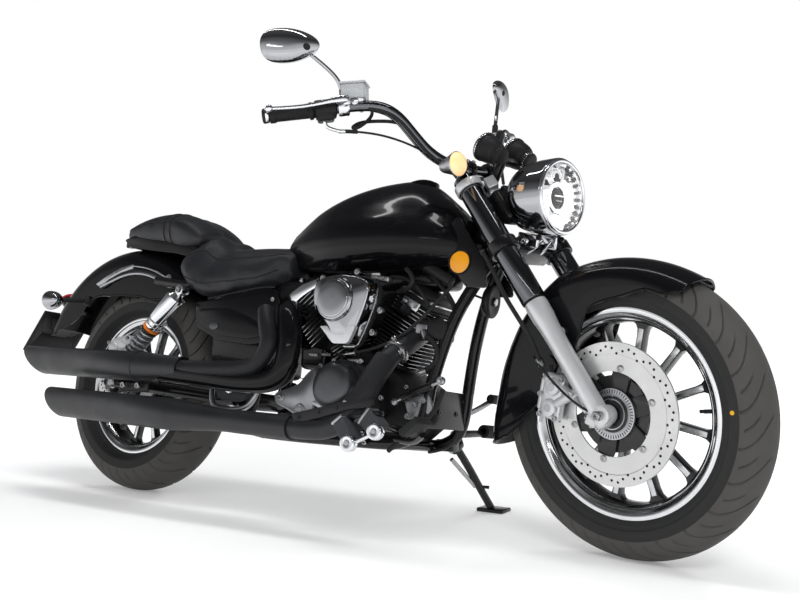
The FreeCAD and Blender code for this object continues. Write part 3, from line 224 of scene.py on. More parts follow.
def new_group(name: str, inputs: dict[str, object], outputs: dict[str, str]) -> tuple[Nodes, object, object]:
    """Makes a shader node group with named sockets.

    Args:
        name: The group's name.
        inputs: Default values by socket name; a tuple makes a colour.
        outputs: Socket kinds by name.

    Returns:
        The group's nodes, its input node and its output node.
    """
    tree = bpy.data.node_groups.new(name, "ShaderNodeTree")
    for socket, value in inputs.items():
        kind = "NodeSocketColor" if isinstance(value, tuple) else "NodeSocketFloat"
        made = tree.interface.new_socket(socket, in_out="INPUT", socket_type=kind)
        made.default_value = value
    for socket, kind in outputs.items():
        tree.interface.new_socket(socket, in_out="OUTPUT", socket_type=kind)
    nodes = Nodes(tree)
    return nodes, nodes.add("NodeGroupInput"), nodes.add("NodeGroupOutput")


def mottle_group() -> bpy.types.NodeTree:
    """Slow variation over a surface: a value between two limits and a colour between two colours.

    Returns:
        The node group.
    """
    nodes, into, out = new_group(
        "Mottle",
        {"Scale": 20.0, "Low": 0.2, "High": 0.3, "Colour A": (0.1, 0.1, 0.1, 1.0), "Colour B": (0.1, 0.1, 0.1, 1.0)},
        {"Value": "NodeSocketFloat", "Colour": "NodeSocketColor"},
    )
    place = nodes.add("ShaderNodeTexCoord")
    cloud = nodes.add("ShaderNodeTexNoise")
    cloud.inputs["Detail"].default_value = 4.0
    spread = nodes.add("ShaderNodeMapRange")
    spread.inputs["From Min"].default_value = 0.3
    spread.inputs["From Max"].default_value = 0.7
    mix = nodes.add("ShaderNodeMix", data_type="RGBA")
    nodes.link(place.outputs["Object"], cloud.inputs["Vector"])
    nodes.link(into.outputs["Scale"], cloud.inputs["Scale"])
    nodes.link(cloud.outputs["Fac"], spread.inputs["Value"])
    nodes.link(into.outputs["Low"], spread.inputs["To Min"])
    nodes.link(into.outputs["High"], spread.inputs["To Max"])
    nodes.link(cloud.outputs["Fac"], mix.inputs["Factor"])
    nodes.link(into.outputs["Colour A"], mix.inputs["A"])
    nodes.link(into.outputs["Colour B"], mix.inputs["B"])
    nodes.link(spread.outputs["Result"], out.inputs["Value"])
    nodes.link(mix.outputs["Result"], out.inputs["Colour"])
    return nodes.tree


def grain_group() -> bpy.types.NodeTree:
    """Fine cast or moulded grain, as a height, stretched along one axis where it is ground.

    Returns:
        The node group.
    """
    nodes, into, out = new_group(
        "Grain",
        {"Scale": 400.0, "Stretch X": 1.0, "Stretch Y": 1.0, "Stretch Z": 1.0, "Pebbles": 0.0},
        {"Height": "NodeSocketFloat"},
    )
    place = nodes.add("ShaderNodeTexCoord")
    stretch = nodes.add("ShaderNodeCombineXYZ")
    scaled = nodes.add("ShaderNodeVectorMath", operation="MULTIPLY")
    fine = nodes.add("ShaderNodeTexNoise")
    fine.inputs["Detail"].default_value = 3.0
    cells = nodes.add("ShaderNodeTexVoronoi", feature="SMOOTH_F1")
    mix = nodes.add("ShaderNodeMix")
    for axis in "XYZ":
        nodes.link(into.outputs["Stretch " + axis], stretch.inputs[axis])
    nodes.link(place.outputs["Object"], scaled.inputs[0])
    nodes.link(stretch.outputs["Vector"], scaled.inputs[1])
    for texture in (fine, cells):
        nodes.link(scaled.outputs["Vector"], texture.inputs["Vector"])
        nodes.link(into.outputs["Scale"], texture.inputs["Scale"])
    nodes.link(into.outputs["Pebbles"], mix.inputs["Factor"])
    nodes.link(fine.outputs["Fac"], mix.inputs["A"])
    nodes.link(cells.outputs["Distance"], mix.inputs["B"])
    nodes.link(mix.outputs["Result"], out.inputs["Height"])
    return nodes.tree


GROUPS: dict[str, bpy.types.NodeTree] = {}


def shared_group(name: str) -> bpy.types.NodeTree:
    """The node group of a name, made once.

    Args:
        name: The group's name.

    Returns:
        The node group.
    """
    makers = {"mottle": mottle_group, "grain": grain_group}
    if name not in GROUPS:
        GROUPS[name] = makers[name]()
    return GROUPS[name]


Colour = tuple[float, float, float]


@dataclass(frozen=True)
class Finish:
    """A surface: its colours, metal, gloss and grain. Lengths in the textures are in metres."""

    name: str
    base: Colour
    tone: Colour | None = None
    metallic: float = 0.0
    rough: tuple[float, float] = (0.3, 0.4)
    mottle: float = 18.0
    coat: float = 0.0
    coat_rough: float = 0.03
    grain: float = 500.0
    depth: float = 0.0
    pebbles: float = 0.0
    stretch: tuple[float, float, float] = (1.0, 1.0, 1.0)
    specular: float = 0.25
    glow: float = 0.0
    see_through: float = 0.0
    sheen: float = 0.0

    def material(self) -> bpy.types.Material:
        """The finish as a material, made once.

        Returns:
            The material.
        """
        known = bpy.data.materials.get(self.name)
        if known is not None:
            return known
        made = bpy.data.materials.new(self.name)
        made.use_nodes = True
        nodes = Nodes(made.node_tree)
        shader = nodes.add("ShaderNodeBsdfPrincipled")
        out = nodes.add("ShaderNodeOutputMaterial")
        nodes.link(shader.outputs["BSDF"], out.inputs["Surface"])
        self.dress(nodes, shader)
        return made

    def dress(self, nodes: Nodes, shader: bpy.types.Node) -> None:
        """Sets the shader's plain numbers and links its textures.

        Args:
            nodes: The material's nodes.
            shader: Its Principled BSDF.
        """
        sockets = shader.inputs
        sockets["Metallic"].default_value = self.metallic
        sockets["Specular IOR Level"].default_value = self.specular
        sockets["Coat Weight"].default_value = self.coat
        sockets["Coat Roughness"].default_value = self.coat_rough
        sockets["Sheen Weight"].default_value = self.sheen
        sockets["Transmission Weight"].default_value = self.see_through
        if self.glow:
            sockets["Emission Strength"].default_value = self.glow
            sockets["Emission Color"].default_value = (*self.base, 1.0)
        mottle = nodes.group(
            shared_group("mottle"),
            Scale=self.mottle,
            Low=self.rough[0],
            High=self.rough[1],
            Colour_A=(*self.base, 1.0),
            Colour_B=(*(self.tone or self.base), 1.0),
        )
        nodes.link(mottle.outputs["Value"], sockets["Roughness"])
        nodes.link(mottle.outputs["Colour"], sockets["Base Color"])
        if self.depth:
            grain = nodes.group(
                shared_group("grain"),
                Scale=self.grain,
                Stretch_X=self.stretch[0],
                Stretch_Y=self.stretch[1],
                Stretch_Z=self.stretch[2],
                Pebbles=self.pebbles,
            )
            bump = nodes.add("ShaderNodeBump")
            bump.inputs["Distance"].default_value = self.depth * MM
            nodes.link(grain.outputs["Height"], bump.inputs["Height"])
            nodes.link(bump.outputs["Normal"], sockets["Normal"])


PAINT = Finish(
    "gloss_black_paint", (0.0035, 0.0036, 0.0042), (0.005, 0.005, 0.006),
    rough=(0.12, 0.2), coat=0.24, coat_rough=0.012, grain=900, depth=0.004, specular=0.1,
)
FRAME_PAINT = Finish(
    "frame_paint", (0.005, 0.005, 0.0056), (0.009, 0.009, 0.01), rough=(0.2, 0.32), coat=0.25, grain=700, depth=0.02
)
ENGINE_PAINT = Finish(
    "crinkle_engine_paint", (0.009, 0.009, 0.0095), (0.016, 0.016, 0.017), rough=(0.36, 0.5), grain=900, depth=0.09,
    mottle=35,
)
EXHAUST_PAINT = Finish(
    "heat_proof_black", (0.0085, 0.009, 0.0105), (0.014, 0.0145, 0.017), rough=(0.36, 0.48), grain=1300, depth=0.05,
    specular=0.5,
)
TRIM_BLACK = Finish(
    "matte_moulding", (0.010, 0.010, 0.011), (0.016, 0.016, 0.017), rough=(0.42, 0.58), grain=1500, depth=0.06,
    pebbles=0.5,
)
RUBBER = Finish("moulded_rubber", (0.012, 0.012, 0.0125), (0.02, 0.02, 0.021), rough=(0.5, 0.7), grain=900, depth=0.1)
TYRE = Finish(
    "tyre_rubber", (0.026, 0.037, 0.052), (0.042, 0.056, 0.076), rough=(0.46, 0.66), grain=700, depth=0.12, mottle=9,
    specular=0.5,
)
VINYL = Finish(
    "seat_vinyl", (0.0105, 0.011, 0.0128), (0.016, 0.0165, 0.019), rough=(0.36, 0.5), grain=520, depth=0.34,
    pebbles=0.85, specular=0.42,
)
CHROME = Finish("chrome", (0.86, 0.87, 0.88), (0.8, 0.81, 0.83), metallic=1.0, rough=(0.03, 0.08), mottle=9)
DARK_CHROME = Finish(
    "smoked_chrome", (0.17, 0.175, 0.185), (0.12, 0.123, 0.13), metallic=1.0, rough=(0.06, 0.12), mottle=7
)
FORK_SILVER = Finish(
    "fork_silver", (0.74, 0.75, 0.76), (0.64, 0.65, 0.66), metallic=0.6, rough=(0.28, 0.36), grain=900, depth=0.02,
    stretch=(0.2, 1.0, 0.2),
)
SATIN = Finish(
    "satin_alloy", (0.56, 0.565, 0.58), (0.44, 0.445, 0.46), metallic=1.0, rough=(0.26, 0.42), grain=600, depth=0.08
)
MACHINED = Finish(
    "machined_alloy", (0.68, 0.69, 0.7), (0.58, 0.59, 0.6), metallic=1.0, rough=(0.16, 0.28), grain=900, depth=0.03,
    stretch=(1.0, 0.1, 1.0),
)
DISC_STEEL = Finish(
    "ground_disc_steel", (0.7, 0.7, 0.69), (0.6, 0.6, 0.6), metallic=0.9, rough=(0.26, 0.36), grain=700, depth=0.04,
    stretch=(1.0, 0.15, 1.0),
)
WHEEL_BLACK = Finish(
    "wheel_black", (0.007, 0.007, 0.0075), (0.012, 0.012, 0.013), rough=(0.22, 0.34), coat=0.5, grain=700, depth=0.03
)
CASE_GREY = Finish(
    "engine_case_grey", (0.13, 0.134, 0.14), (0.09, 0.093, 0.098), metallic=0.9, rough=(0.3, 0.42), grain=500,
    depth=0.05,
)
CASE_SILVER = Finish(
    "engine_case_silver", (0.5, 0.505, 0.52), (0.4, 0.405, 0.42), metallic=0.9, rough=(0.3, 0.44), grain=500,
    depth=0.06,
)
STEEL = Finish("plated_steel", (0.5, 0.5, 0.5), (0.36, 0.36, 0.36), metallic=1.0, rough=(0.2, 0.34), mottle=60)
BRONZE_GREY = Finish("bracket_grey", (0.034, 0.034, 0.036), (0.022, 0.022, 0.024), metallic=0.4, rough=(0.36, 0.5))
SHADED_CHROME = Finish(
    "shaded_chrome", (0.46, 0.465, 0.48), (0.4, 0.405, 0.42), metallic=1.0, rough=(0.04, 0.09), mottle=9
)
AMBER_BRIGHT = Finish("amber_reflector", (0.95, 0.4, 0.01), (0.8, 0.28, 0.005), rough=(0.12, 0.2), coat=1.0)
RED_LENS = Finish("red_lens", (0.42, 0.006, 0.008), (0.3, 0.004, 0.006), rough=(0.08, 0.16), coat=1.0)
RED_PLASTIC = Finish("red_switch", (0.6, 0.015, 0.01), (0.5, 0.01, 0.01), rough=(0.3, 0.4))
LIT_AMBER = Finish("lit_amber", (1.0, 0.62, 0.34), (1.0, 0.42, 0.12), rough=(0.1, 0.2), coat=1.0, glow=0.75, mottle=60)
LIT_WHITE = Finish("lit_white", (1.0, 0.99, 0.97), rough=(0.2, 0.3), glow=1.1)
REFLECTOR = Finish("lamp_reflector", (0.9, 0.9, 0.91), (0.78, 0.78, 0.8), metallic=1.0, rough=(0.08, 0.16), mottle=40)
MIRROR = Finish("mirror_glass", (0.88, 0.89, 0.9), metallic=1.0, rough=(0.01, 0.02))
DIAL = Finish("dial_face", (0.015, 0.015, 0.016), rough=(0.4, 0.5))
WHITE_INK = Finish("dial_ink", (0.75, 0.75, 0.75), rough=(0.4, 0.5))
GLASS = Finish("clear_lens", (1.0, 1.0, 1.0), rough=(0.0, 0.01), see_through=1.0, specular=0.5)
ORANGE_RING = Finish("orange_ring", (0.75, 0.2, 0.02), (0.6, 0.14, 0.01), rough=(0.35, 0.5))
RESERVOIR = Finish("reservoir_cap", (0.52, 0.54, 0.55), (0.45, 0.47, 0.48), rough=(0.3, 0.4), coat=0.3)


# ---- shaping ----------------------------------------------------------------------------------------------


class Shaper:
    """Collects the parts of one piece. Each part is shaped on its own and then taken in."""

    def __init__(self) -> None:
        """Starts with no parts."""
        self.whole = bmesh.new()

    def take(self, part: bmesh.types.BMesh, ink: int, place: Matrix | None = None, closed: bool = True) -> None:
        """Takes in a shaped part.

        Args:
            part: The part, which is freed.
            ink: Index of its finish.
            place: Where it goes.
            closed: Whether its faces are turned to point outwards.
        """
        if place is not None:
            bmesh.ops.transform(part, matrix=place, verts=part.verts[:])
        if closed:
            bmesh.ops.recalc_face_normals(part, faces=part.faces[:])
        for face in part.faces:
            face.material_index = ink
            face.smooth = True
        mesh = bpy.data.meshes.new("part")
        part.to_mesh(mesh)
        part.free()
        self.whole.from_mesh(mesh)
        bpy.data.meshes.remove(mesh)

    @staticmethod
    def soften(part: bmesh.types.BMesh, amount: float, segments: int = 2, angle: float = 25.0) -> None:
        """Bevels a part's edges that are sharper than an angle in degrees.

        Args:
            part: The part.
            amount: The bevel's width.
            segments: Its steps.
            angle: The least angle of a bevelled edge, in degrees.
        """
        limit = math.radians(angle)
        edges = [e for e in part.edges if len(e.link_faces) == 2 and e.calc_face_angle(0.0) > limit]
        bmesh.ops.bevel(
            part, geom=edges, offset=amount, segments=segments, profile=0.5, affect="EDGES", material=-1,
            clamp_overlap=True,
        )

    def lathe(
        self, place: Matrix, profile: Sequence[Point], ink: int = 0, steps: int = 64, soft: float = 0.0,
        closed: bool = True,
    ) -> None:
        """Turns a profile about Z.

        Args:
            place: Where the axis goes.
            profile: Radius and height pairs.
            ink: Index of the finish.
            steps: Faces around.
            soft: Bevel of its sharp edges.
            closed: Whether the profile makes a closed solid.
        """
        part = bmesh.new()
        verts = [part.verts.new((radius, 0, height)) for radius, height in profile]
        edges = [part.edges.new(pair) for pair in zip(verts, verts[1:])]
        bmesh.ops.spin(
            part, geom=verts + edges, axis=(0, 0, 1), cent=(0, 0, 0), angle=TAU, steps=steps, use_merge=True
        )
        bmesh.ops.remove_doubles(part, verts=part.verts[:], dist=0.001)
        if soft:
            self.soften(part, soft)
        self.take(part, ink, place, closed)

    def rod(
        self, start: Point, end: Point, radius: float, tip: float | None = None, ink: int = 0, steps: int = 32,
        soft: float = 0.0,
    ) -> None:
        """A round or tapered bar between two points.

        Args:
            start: Its first end.
            end: Its other end.
            radius: Radius at the first end.
            tip: Radius at the other end.
            ink: Index of the finish.
            steps: Faces around; 6 makes a hexagon.
            soft: Bevel of its end edges.
        """
        line = Vector(end) - Vector(start)
        part = bmesh.new()
        bmesh.ops.create_cone(
            part, cap_ends=True, segments=steps, radius1=radius, radius2=radius if tip is None else tip,
            depth=line.length,
        )
        if soft:
            self.soften(part, soft, angle=50)
        self.take(part, ink, facing(line, (Vector(start) + Vector(end)) / 2))

    def box(self, centre: Point, size: Point, turn: Matrix | None = None, soft: float = 2.0, ink: int = 0) -> None:
        """A bevelled block.

        Args:
            centre: Its centre.
            size: Its length along X, Y and Z.
            turn: Rotation about its centre.
            soft: Bevel of its edges.
            ink: Index of the finish.
        """
        part = bmesh.new()
        bmesh.ops.create_cube(part, size=1.0)
        bmesh.ops.scale(part, vec=size, verts=part.verts[:])
        if soft:
            self.soften(part, soft, 3)
        self.take(part, ink, Matrix.Translation(Vector(centre)) @ (turn or Matrix.Identity(4)))

    def ball(self, centre: Point, size: Point, turn: Matrix | None = None, ink: int = 0, steps: int = 32) -> None:
        """An ellipsoid with three half axes.

        Args:
            centre: Its middle.
            size: The three half axes.
            turn: How it is turned, or None.
            ink: Index of the finish.
            steps: Faces around.
        """
        part = bmesh.new()
        bmesh.ops.create_uvsphere(part, u_segments=steps, v_segments=steps // 2, radius=1.0)
        bmesh.ops.scale(part, vec=size, verts=part.verts[:])
        self.take(part, ink, Matrix.Translation(Vector(centre)) @ (turn or Matrix.Identity(4)))

    def plate(
        self, outline: Sequence[Point], low: float, high: float, place: Matrix | None = None, corner: float = 0.0,
        soft: float = 1.0, ink: int = 0,
    ) -> None:
        """A flat piece from a side-view outline (x, z), from one Y to another.

        Args:
            outline: Its corners.
            low: Its lower Y.
            high: Its upper Y.
            place: Where it goes.
            corner: Rounding of its corners.
            soft: Bevel of its edges.
            ink: Index of the finish.
        """
        part = bmesh.new()
        corners = [part.verts.new((x, low, z)) for x, z in outline]
        part.faces.new(corners)
        if corner:
            bmesh.ops.bevel(
                part, geom=corners, offset=corner, segments=5, profile=0.5, affect="VERTICES", material=-1,
                clamp_overlap=True,
            )
        grown = bmesh.ops.extrude_face_region(part, geom=part.faces[:])
        tops = [item for item in grown["geom"] if isinstance(item, bmesh.types.BMVert)]
        bmesh.ops.translate(part, vec=(0, high - low, 0), verts=tops)
        if soft:
            self.soften(part, soft, 2, 40)
        self.take(part, ink, place)

    def tube(
        self, points: Sequence[Point], radius: float, ink: int = 0, sides: int = 4, order: int = 3,
        radii: Sequence[float] | None = None, loops: int = 10, cyclic: bool = False,
    ) -> None:
        """A round tube along a smooth line that its points steer.

        Args:
            points: Control points of the line.
            radius: The tube's radius.
            ink: Index of the finish.
            sides: Faces in a quarter of its section.
            order: 3 for a curve, 2 for straight runs.
            radii: A factor on the radius at each point.
            loops: Steps along each run.
            cyclic: Whether the line closes on itself.
        """
        line = nurbs("tube", points, order, radii, cyclic)
        line.bevel_depth = radius
        line.bevel_resolution = sides
        line.use_fill_caps = not cyclic
        line.resolution_u = loops
        mesh = mesh_of(line)
        part = bmesh.new()
        part.from_mesh(mesh)
        bpy.data.meshes.remove(mesh)
        bmesh.ops.remove_doubles(part, verts=part.verts[:], dist=0.001)
        self.take(part, ink)

    def skin(
        self, rows: int, columns: int, surface: Callable[[float, float], Point], ink: int = 0,
        place: Matrix | None = None, thick: float = 0.0, closed: bool = True,
    ) -> None:
        """A surface from a grid, each point placed by a function of its shares along and across.

        Args:
            rows: Faces along.
            columns: Faces across.
            surface: The point at a share along and a share across.
            ink: Index of the finish.
            place: Where it goes.
            thick: Wall thickness given to an open surface, outwards where positive.
            closed: Whether its faces are turned to point outwards.
        """
        part = bmesh.new()
        bmesh.ops.create_grid(part, x_segments=rows, y_segments=columns, size=0.5)
        for vert in part.verts:
            vert.co = Vector(surface(vert.co.x + 0.5, vert.co.y + 0.5))
        bmesh.ops.remove_doubles(part, verts=part.verts[:], dist=0.01)
        if thick:
            bmesh.ops.solidify(part, geom=part.faces[:], thickness=thick)
        self.take(part, ink, place, closed)

    def bolt(self, at: Point, direction: Point, radius: float = 6.0, height: float = 5.0, ink: int = 0) -> None:
        """A socket-head bolt: a bevelled head with a round recess in its top.

        Args:
            at: Where its head sits.
            direction: Where the head points.
            radius: The head's radius.
            height: The head's height.
            ink: Index of the finish.
        """
        profile = ((radius, 0), (radius, height), (radius * 0.55, height), (radius * 0.5, height * 0.4))
        spot = facing(direction, at)
        self.lathe(spot, (*profile, (0, height * 0.4)), ink, 18, radius * 0.12)

    def nut(self, at: Point, direction: Point, radius: float = 7.0, height: float = 6.0, ink: int = 0) -> None:
        """A hexagon nut on a washer.

        Args:
            at: Where it sits.
            direction: Where it points.
            radius: Its radius.
            height: Its height.
            ink: Index of the finish.
        """
        way = Vector(direction).normalized()
        start = Vector(at)
        self.rod(start, start + way * height * 0.25, radius * 1.25, ink=ink, steps=20)
        self.rod(start, start + way * height, radius, ink=ink, steps=6, soft=radius * 0.1)

    def mesh(self, name: str, body: Body) -> bpy.types.Mesh:
        """The whole as a mesh in the row frame, with its sharp edges marked.

        Args:
            name: The mesh's name.
            body: The body it rides on.

        Returns:
            The mesh.
        """
        bmesh.ops.transform(self.whole, matrix=STANCE.of(body), verts=self.whole.verts[:])
        sharp = math.radians(38)
        for edge in self.whole.edges:
            if len(edge.link_faces) == 2 and edge.calc_face_angle(0.0) > sharp:
                edge.smooth = False
        mesh = bpy.data.meshes.new(name)
        self.whole.to_mesh(mesh)
        self.whole.free()
        return mesh


def nurbs(
    name: str, points: Sequence[Point], order: int = 3, radii: Sequence[float] | None = None, cyclic: bool = False
) -> bpy.types.Curve:
    """A curve of one smooth spline whose control points are given.

    Args:
        name: The curve's name.
        points: The control points.
        order: 3 for a curve, 2 for straight runs.
        radii: A factor on the radius at each point.
        cyclic: Whether it closes on itself.

    Returns:
        The curve.
    """
    curve = bpy.data.curves.new(name, "CURVE")
    curve.dimensions = "3D"
    spline = curve.splines.new("NURBS")
    spline.points.add(len(points) - 1)
    for index, point in enumerate(points):
        spline.points[index].co = (*point, 1.0)
        spline.points[index].radius = radii[index] if radii else 1.0
    spline.order_u = order
    spline.use_endpoint_u = not cyclic
    spline.use_cyclic_u = cyclic
    return curve


def mesh_of(curve: bpy.types.Curve) -> bpy.types.Mesh:
    """A curve's mesh. The curve is removed.

    Args:
        curve: The curve.

    Returns:
        The mesh.
    """
    holder = bpy.data.objects.new(curve.name, curve)
    mesh = bpy.data.meshes.new_from_object(holder)
    bpy.data.objects.remove(holder)
    bpy.data.curves.remove(curve)
    return mesh


def set_down(
    name: str, shaper: Shaper | bpy.types.Mesh, body: Body, finishes: Sequence[Finish],
    replaces: Sequence[str] = (),
) -> bpy.types.Object:
    """Makes a piece of a shaped mesh, on its body.

    Args:
        name: The piece's name.
        shaper: Its parts, or its mesh already in the row frame.
        body: The body it rides on.
        finishes: Its finishes, in the order of their ink numbers.
        replaces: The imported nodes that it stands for.

    Returns:
        The piece.
    """
    mesh = shaper.mesh(name, body) if isinstance(shaper, Shaper) else shaper
    made = bpy.data.objects.new(name, mesh)
    bpy.context.scene.collection.objects.link(made)
    for finish in finishes:
        mesh.materials.append(finish.material())
    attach(made, body.value)
    if replaces:
        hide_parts(*replaces)
    LOG.info("%s: %d faces", name, len(mesh.polygons))
    return made


def around(count: int, start: float = 0.0) -> Iterator[float]:
    """Angles in degrees, evenly round a circle."""
    for number in range(count):
        yield start + 360.0 * number / count


def carved(shape: bpy.types.Mesh, tool: bpy.types.Mesh) -> bpy.types.Mesh:
    """A mesh with another cut out of it. Both are removed.

    Args:
        shape: The mesh that is cut.
        tool: The mesh that cuts it.

    Returns:
        The cut mesh.
    """
    holders = [bpy.data.objects.new(mesh.name, mesh) for mesh in (shape, tool)]
    for holder in holders:
        bpy.context.scene.collection.objects.link(holder)
    cut = holders[0].modifiers.new("cut", "BOOLEAN")
    cut.operation = "DIFFERENCE"
    cut.solver = "EXACT"
    cut.object = holders[1]
    evaluated = holders[0].evaluated_get(bpy.context.evaluated_depsgraph_get())
    result = bpy.data.meshes.new_from_object(evaluated)
    for holder in holders:
        bpy.data.objects.remove(holder)
    for mesh in (shape, tool):
        bpy.data.meshes.remove(mesh)
    return result


@dataclass(frozen=True)
class Wheel:
    """A cast wheel with its tyre and brake disc. Lengths in mm."""

    name: str
    body: Body
    axle: Vector
    bead: float
    flange: float
    rim_half: float
    tyre_half: float
    hub_half: float
    hub_radius: float
    disc_radius: float
    disc_offset: float
    disc_inner: float
    pitches: int
    spokes: int = 12
    valve_angle: float = 3.0
    arm_angle: float = 16.0
    arms: int = 6

    @property
    def outer(self) -> float:
        """The tyre's outer radius."""
        return self.axle.z

    def at(self, angle: float) -> Matrix:
        """The place whose X points outwards from the axle at an angle, with Y along the axle."""
        return Matrix.Translation(self.axle) @ turned((0, 1, 0), -angle)

    def axis(self) -> Matrix:
        """The place whose Z runs along the axle to the left."""
        return facing((0, 1, 0), self.axle)

    def build(self) -> None:
        """Makes the rim, tyre and disc."""
        self.build_rim()
        self.build_tyre()
        self.build_disc()

    def build_rim(self) -> None:
        """The rim with its polished lips, the spokes with machined faces, and the hub."""
        shaper = Shaper()
        bead, half = self.bead, self.rim_half
        for side in SIDES:
            lip = (
                (bead, 6), (bead, half - 8), (self.flange - 4, half - 5), (self.flange - 1, half - 4),
                (self.flange, half - 2.5), (self.flange - 1, half - 0.5), (self.flange - 4, half),
                (bead + 3, half - 0.5), (bead - 1, half - 4), (bead - 5, half - 9), (bead - 6.5, half - 10),
            )
            groove = ((bead - 6.5, half - 10), (bead - 7.5, half - 11.8), (bead - 8.6, half - 11.6))
            step = (
                (bead - 8.6, half - 11.6), (bead - 9.5, half - 11), (bead - 10.5, half - 11.5),
                (bead - 13, half - 17), (bead - 14, half - 18.5),
            )
            barrel = ((bead - 14, half - 18.5), (bead - 16.5, half - 19.5), (bead - 18, 14), (bead - 19, 6))
            well = ((bead - 19, 6), (bead - 19, 0))
            for profile, ink in ((lip, 1), (groove, 0), (step, 1), (barrel, 0), (well, 0)):
                turned_profile = [(radius, side * height) for radius, height in profile]
                shaper.lathe(self.axis(), turned_profile, ink, 160, closed=False)
        for angle in around(self.spokes, self.valve_angle + 180 / self.spokes):
            self.add_spoke(shaper, angle)
        shaper.lathe(self.axis(), self.hub_profile(), 0, 72, 1.5)
        self.add_valve(shaper)
        set_down(
            self.name + "_cast_rim", shaper, self.body, (WHEEL_BLACK, RIM_LIP, MACHINED, RUBBER),
            (self.name + "_rim",),
        )

    def hub_profile(self) -> tuple[Point, ...]:
        """The hub's section, bored for the axle.

        Returns:
            Radius and height pairs.
        """
        half, radius = self.hub_half, self.hub_radius
        return (
            (11, -half), (radius - 10, -half), (radius - 6, -half + 5), (radius - 6, -half + 22),
            (radius + 4, -26), (radius + 6, -14), (radius + 6, 14), (radius + 4, 26), (radius - 6, half - 22),
            (radius - 6, half - 5), (radius - 10, half), (11, half), (11, -half),
        )

    def add_spoke(self, shaper: Shaper, angle: float) -> None:
        """One spoke with flared ends and a machined strip on each face.

        Args:
            shaper: The shaper that holds the piece.
            angle: Where it stands round the axle, in degrees.
        """
        root, tip = self.hub_radius, self.bead - 17
        edge = ((root, 13), (root + 20, 8.5), (tip - 26, 7.2), (tip - 13, 9), (tip - 5, 14), (tip, 24), (tip + 1, 24))
        outline = [(x, z) for x, z in edge] + [(x, -z) for x, z in reversed(edge)]
        place = self.at(angle)
        shaper.plate(outline, -11, 11, place, 0, 1.6)
        strip = ((root + 16, -6.4), (tip - 12, -5.6), (tip - 12, 5.6), (root + 16, 6.4))
        for side in SIDES:
            low, high = sorted((side * 10.6, side * 11.5))
            shaper.plate(strip, low, high, place, 1.5, 0.4, 2)

    def add_valve(self, shaper: Shaper) -> None:
        """The tyre valve, which points at the axle.

        Args:
            shaper: The shaper that holds the piece.
        """
        place = self.at(self.valve_angle)
        inner = self.bead - 18
        for start, end, radius, ink in ((inner, inner - 16, 4.2, 3), (inner - 16, inner - 26, 3.6, 3)):
            shaper.rod(place @ Vector((start, -12, 0)), place @ Vector((end, -16, 0)), radius, ink=ink, steps=20)

    def crown(self, share: float) -> tuple[float, float]:
        """Radius and distance from the centre line across half the tread.

        Args:
            share: 0 on the centre line, 1 at the tread's edge.

        Returns:
            The radius and the distance.
        """
        rows = ((0, 0), (0.3, 0.04), (0.58, 0.165), (0.8, 0.37), (0.94, 0.62), (0.99, 0.84))
        across, drop = along(rows, share)
        return self.outer - drop * self.tyre_half, across * self.tyre_half

    def tread(self, side: int) -> Callable[[float, float], Point]:
        """The tread's surface on one side, with long curved grooves between its blocks.

        Args:
            side: 1 for the rider's left, -1 for the right.

        Returns:
            The surface, as a function of the shares round and across.
        """
        lines = (0.0, 0.16, 0.18, 0.21, 0.24, 0.26, 0.5, 0.65, 0.67, 0.7, 0.73, 0.75)
        count = self.pitches * len(lines)

        def surface(u: float, v: float) -> Point:
            """The point at a share round and a share across.

            Args:
                u: Share round, from 0 to 1.
                v: Share across, from 0 to 1.

            Returns:
                The point.
            """
            index = round(u * count)
            pitch, line = divmod(index, len(lines))
            deep = 1.0 if line in (3, 9) else 0.75
            cut = 0.0
            if line in (2, 3, 4):
                cut = deep * ease((v - 0.12) / 0.08) * ease((0.97 - v) / 0.05)
            if line in (8, 9, 10):
                cut = deep * ease((v - 0.46) / 0.08) * ease((0.86 - v) / 0.06)
            radius, across = self.crown(v)
            lean = 84 / self.outer * (1 - v) ** 1.5 + 0.018 * math.sin(TAU * v)
            angle = TAU * (pitch + lines[line]) / self.pitches + lean
            radius -= 7.0 * cut
            across -= 1.6 * cut * v
            return (
                self.axle.x + radius * math.cos(angle), side * across, self.axle.z + radius * math.sin(angle)
            )

        return surface

    def build_tyre(self) -> None:
        """The tyre: grooved tread, sidewalls with raised lines, and beads inside the rim."""
        shaper = Shaper()
        half, lip = self.tyre_half, self.flange
        for side in SIDES:
            shaper.skin(self.pitches * 12, 26, self.tread(side), 1)
            radius, across = self.crown(1.0)
            rows = (
                (radius + 1.5, across - 0.9), (radius - 1.5, across + 0.3), (radius - 8, half - 0.6),
                ((radius + lip) / 2, half - 0.6), (lip + 17, half - 4), (lip + 8, self.rim_half + 6),
                (lip + 1.5, self.rim_half + 1.5), (lip - 3, self.rim_half - 4.6),
            )
            profile = []
            for step in range(49):
                radius, across = along(rows, step / 48)
                profile.append((radius, side * (across + self.sidewall_line(radius))))
            shaper.lathe(self.axis(), profile, 0, 200, closed=False)
            bead = (
                (lip - 3, self.rim_half - 4.6), (self.bead + 6, self.rim_half - 7.5), (self.bead + 0.6, 24),
                (self.bead + 0.6, 0),
            )
            shaper.lathe(self.axis(), [(r, side * y) for r, y in bead], 0, 120, closed=False)
            shaper.skin(150, 18, self.knurl(side, rows), 0, closed=False)
        spot = self.at(self.valve_angle) @ Vector((lip + 26, -half + 2.4, 0))
        shaper.rod(spot, spot + Vector((0, -2.6, 0)), 4.2, ink=2, steps=20)
        set_down(
            self.name + "_road_tyre", shaper, self.body, (TYRE, TREAD, PAINT_DOT),
            (self.name + "_tyre",),
        )

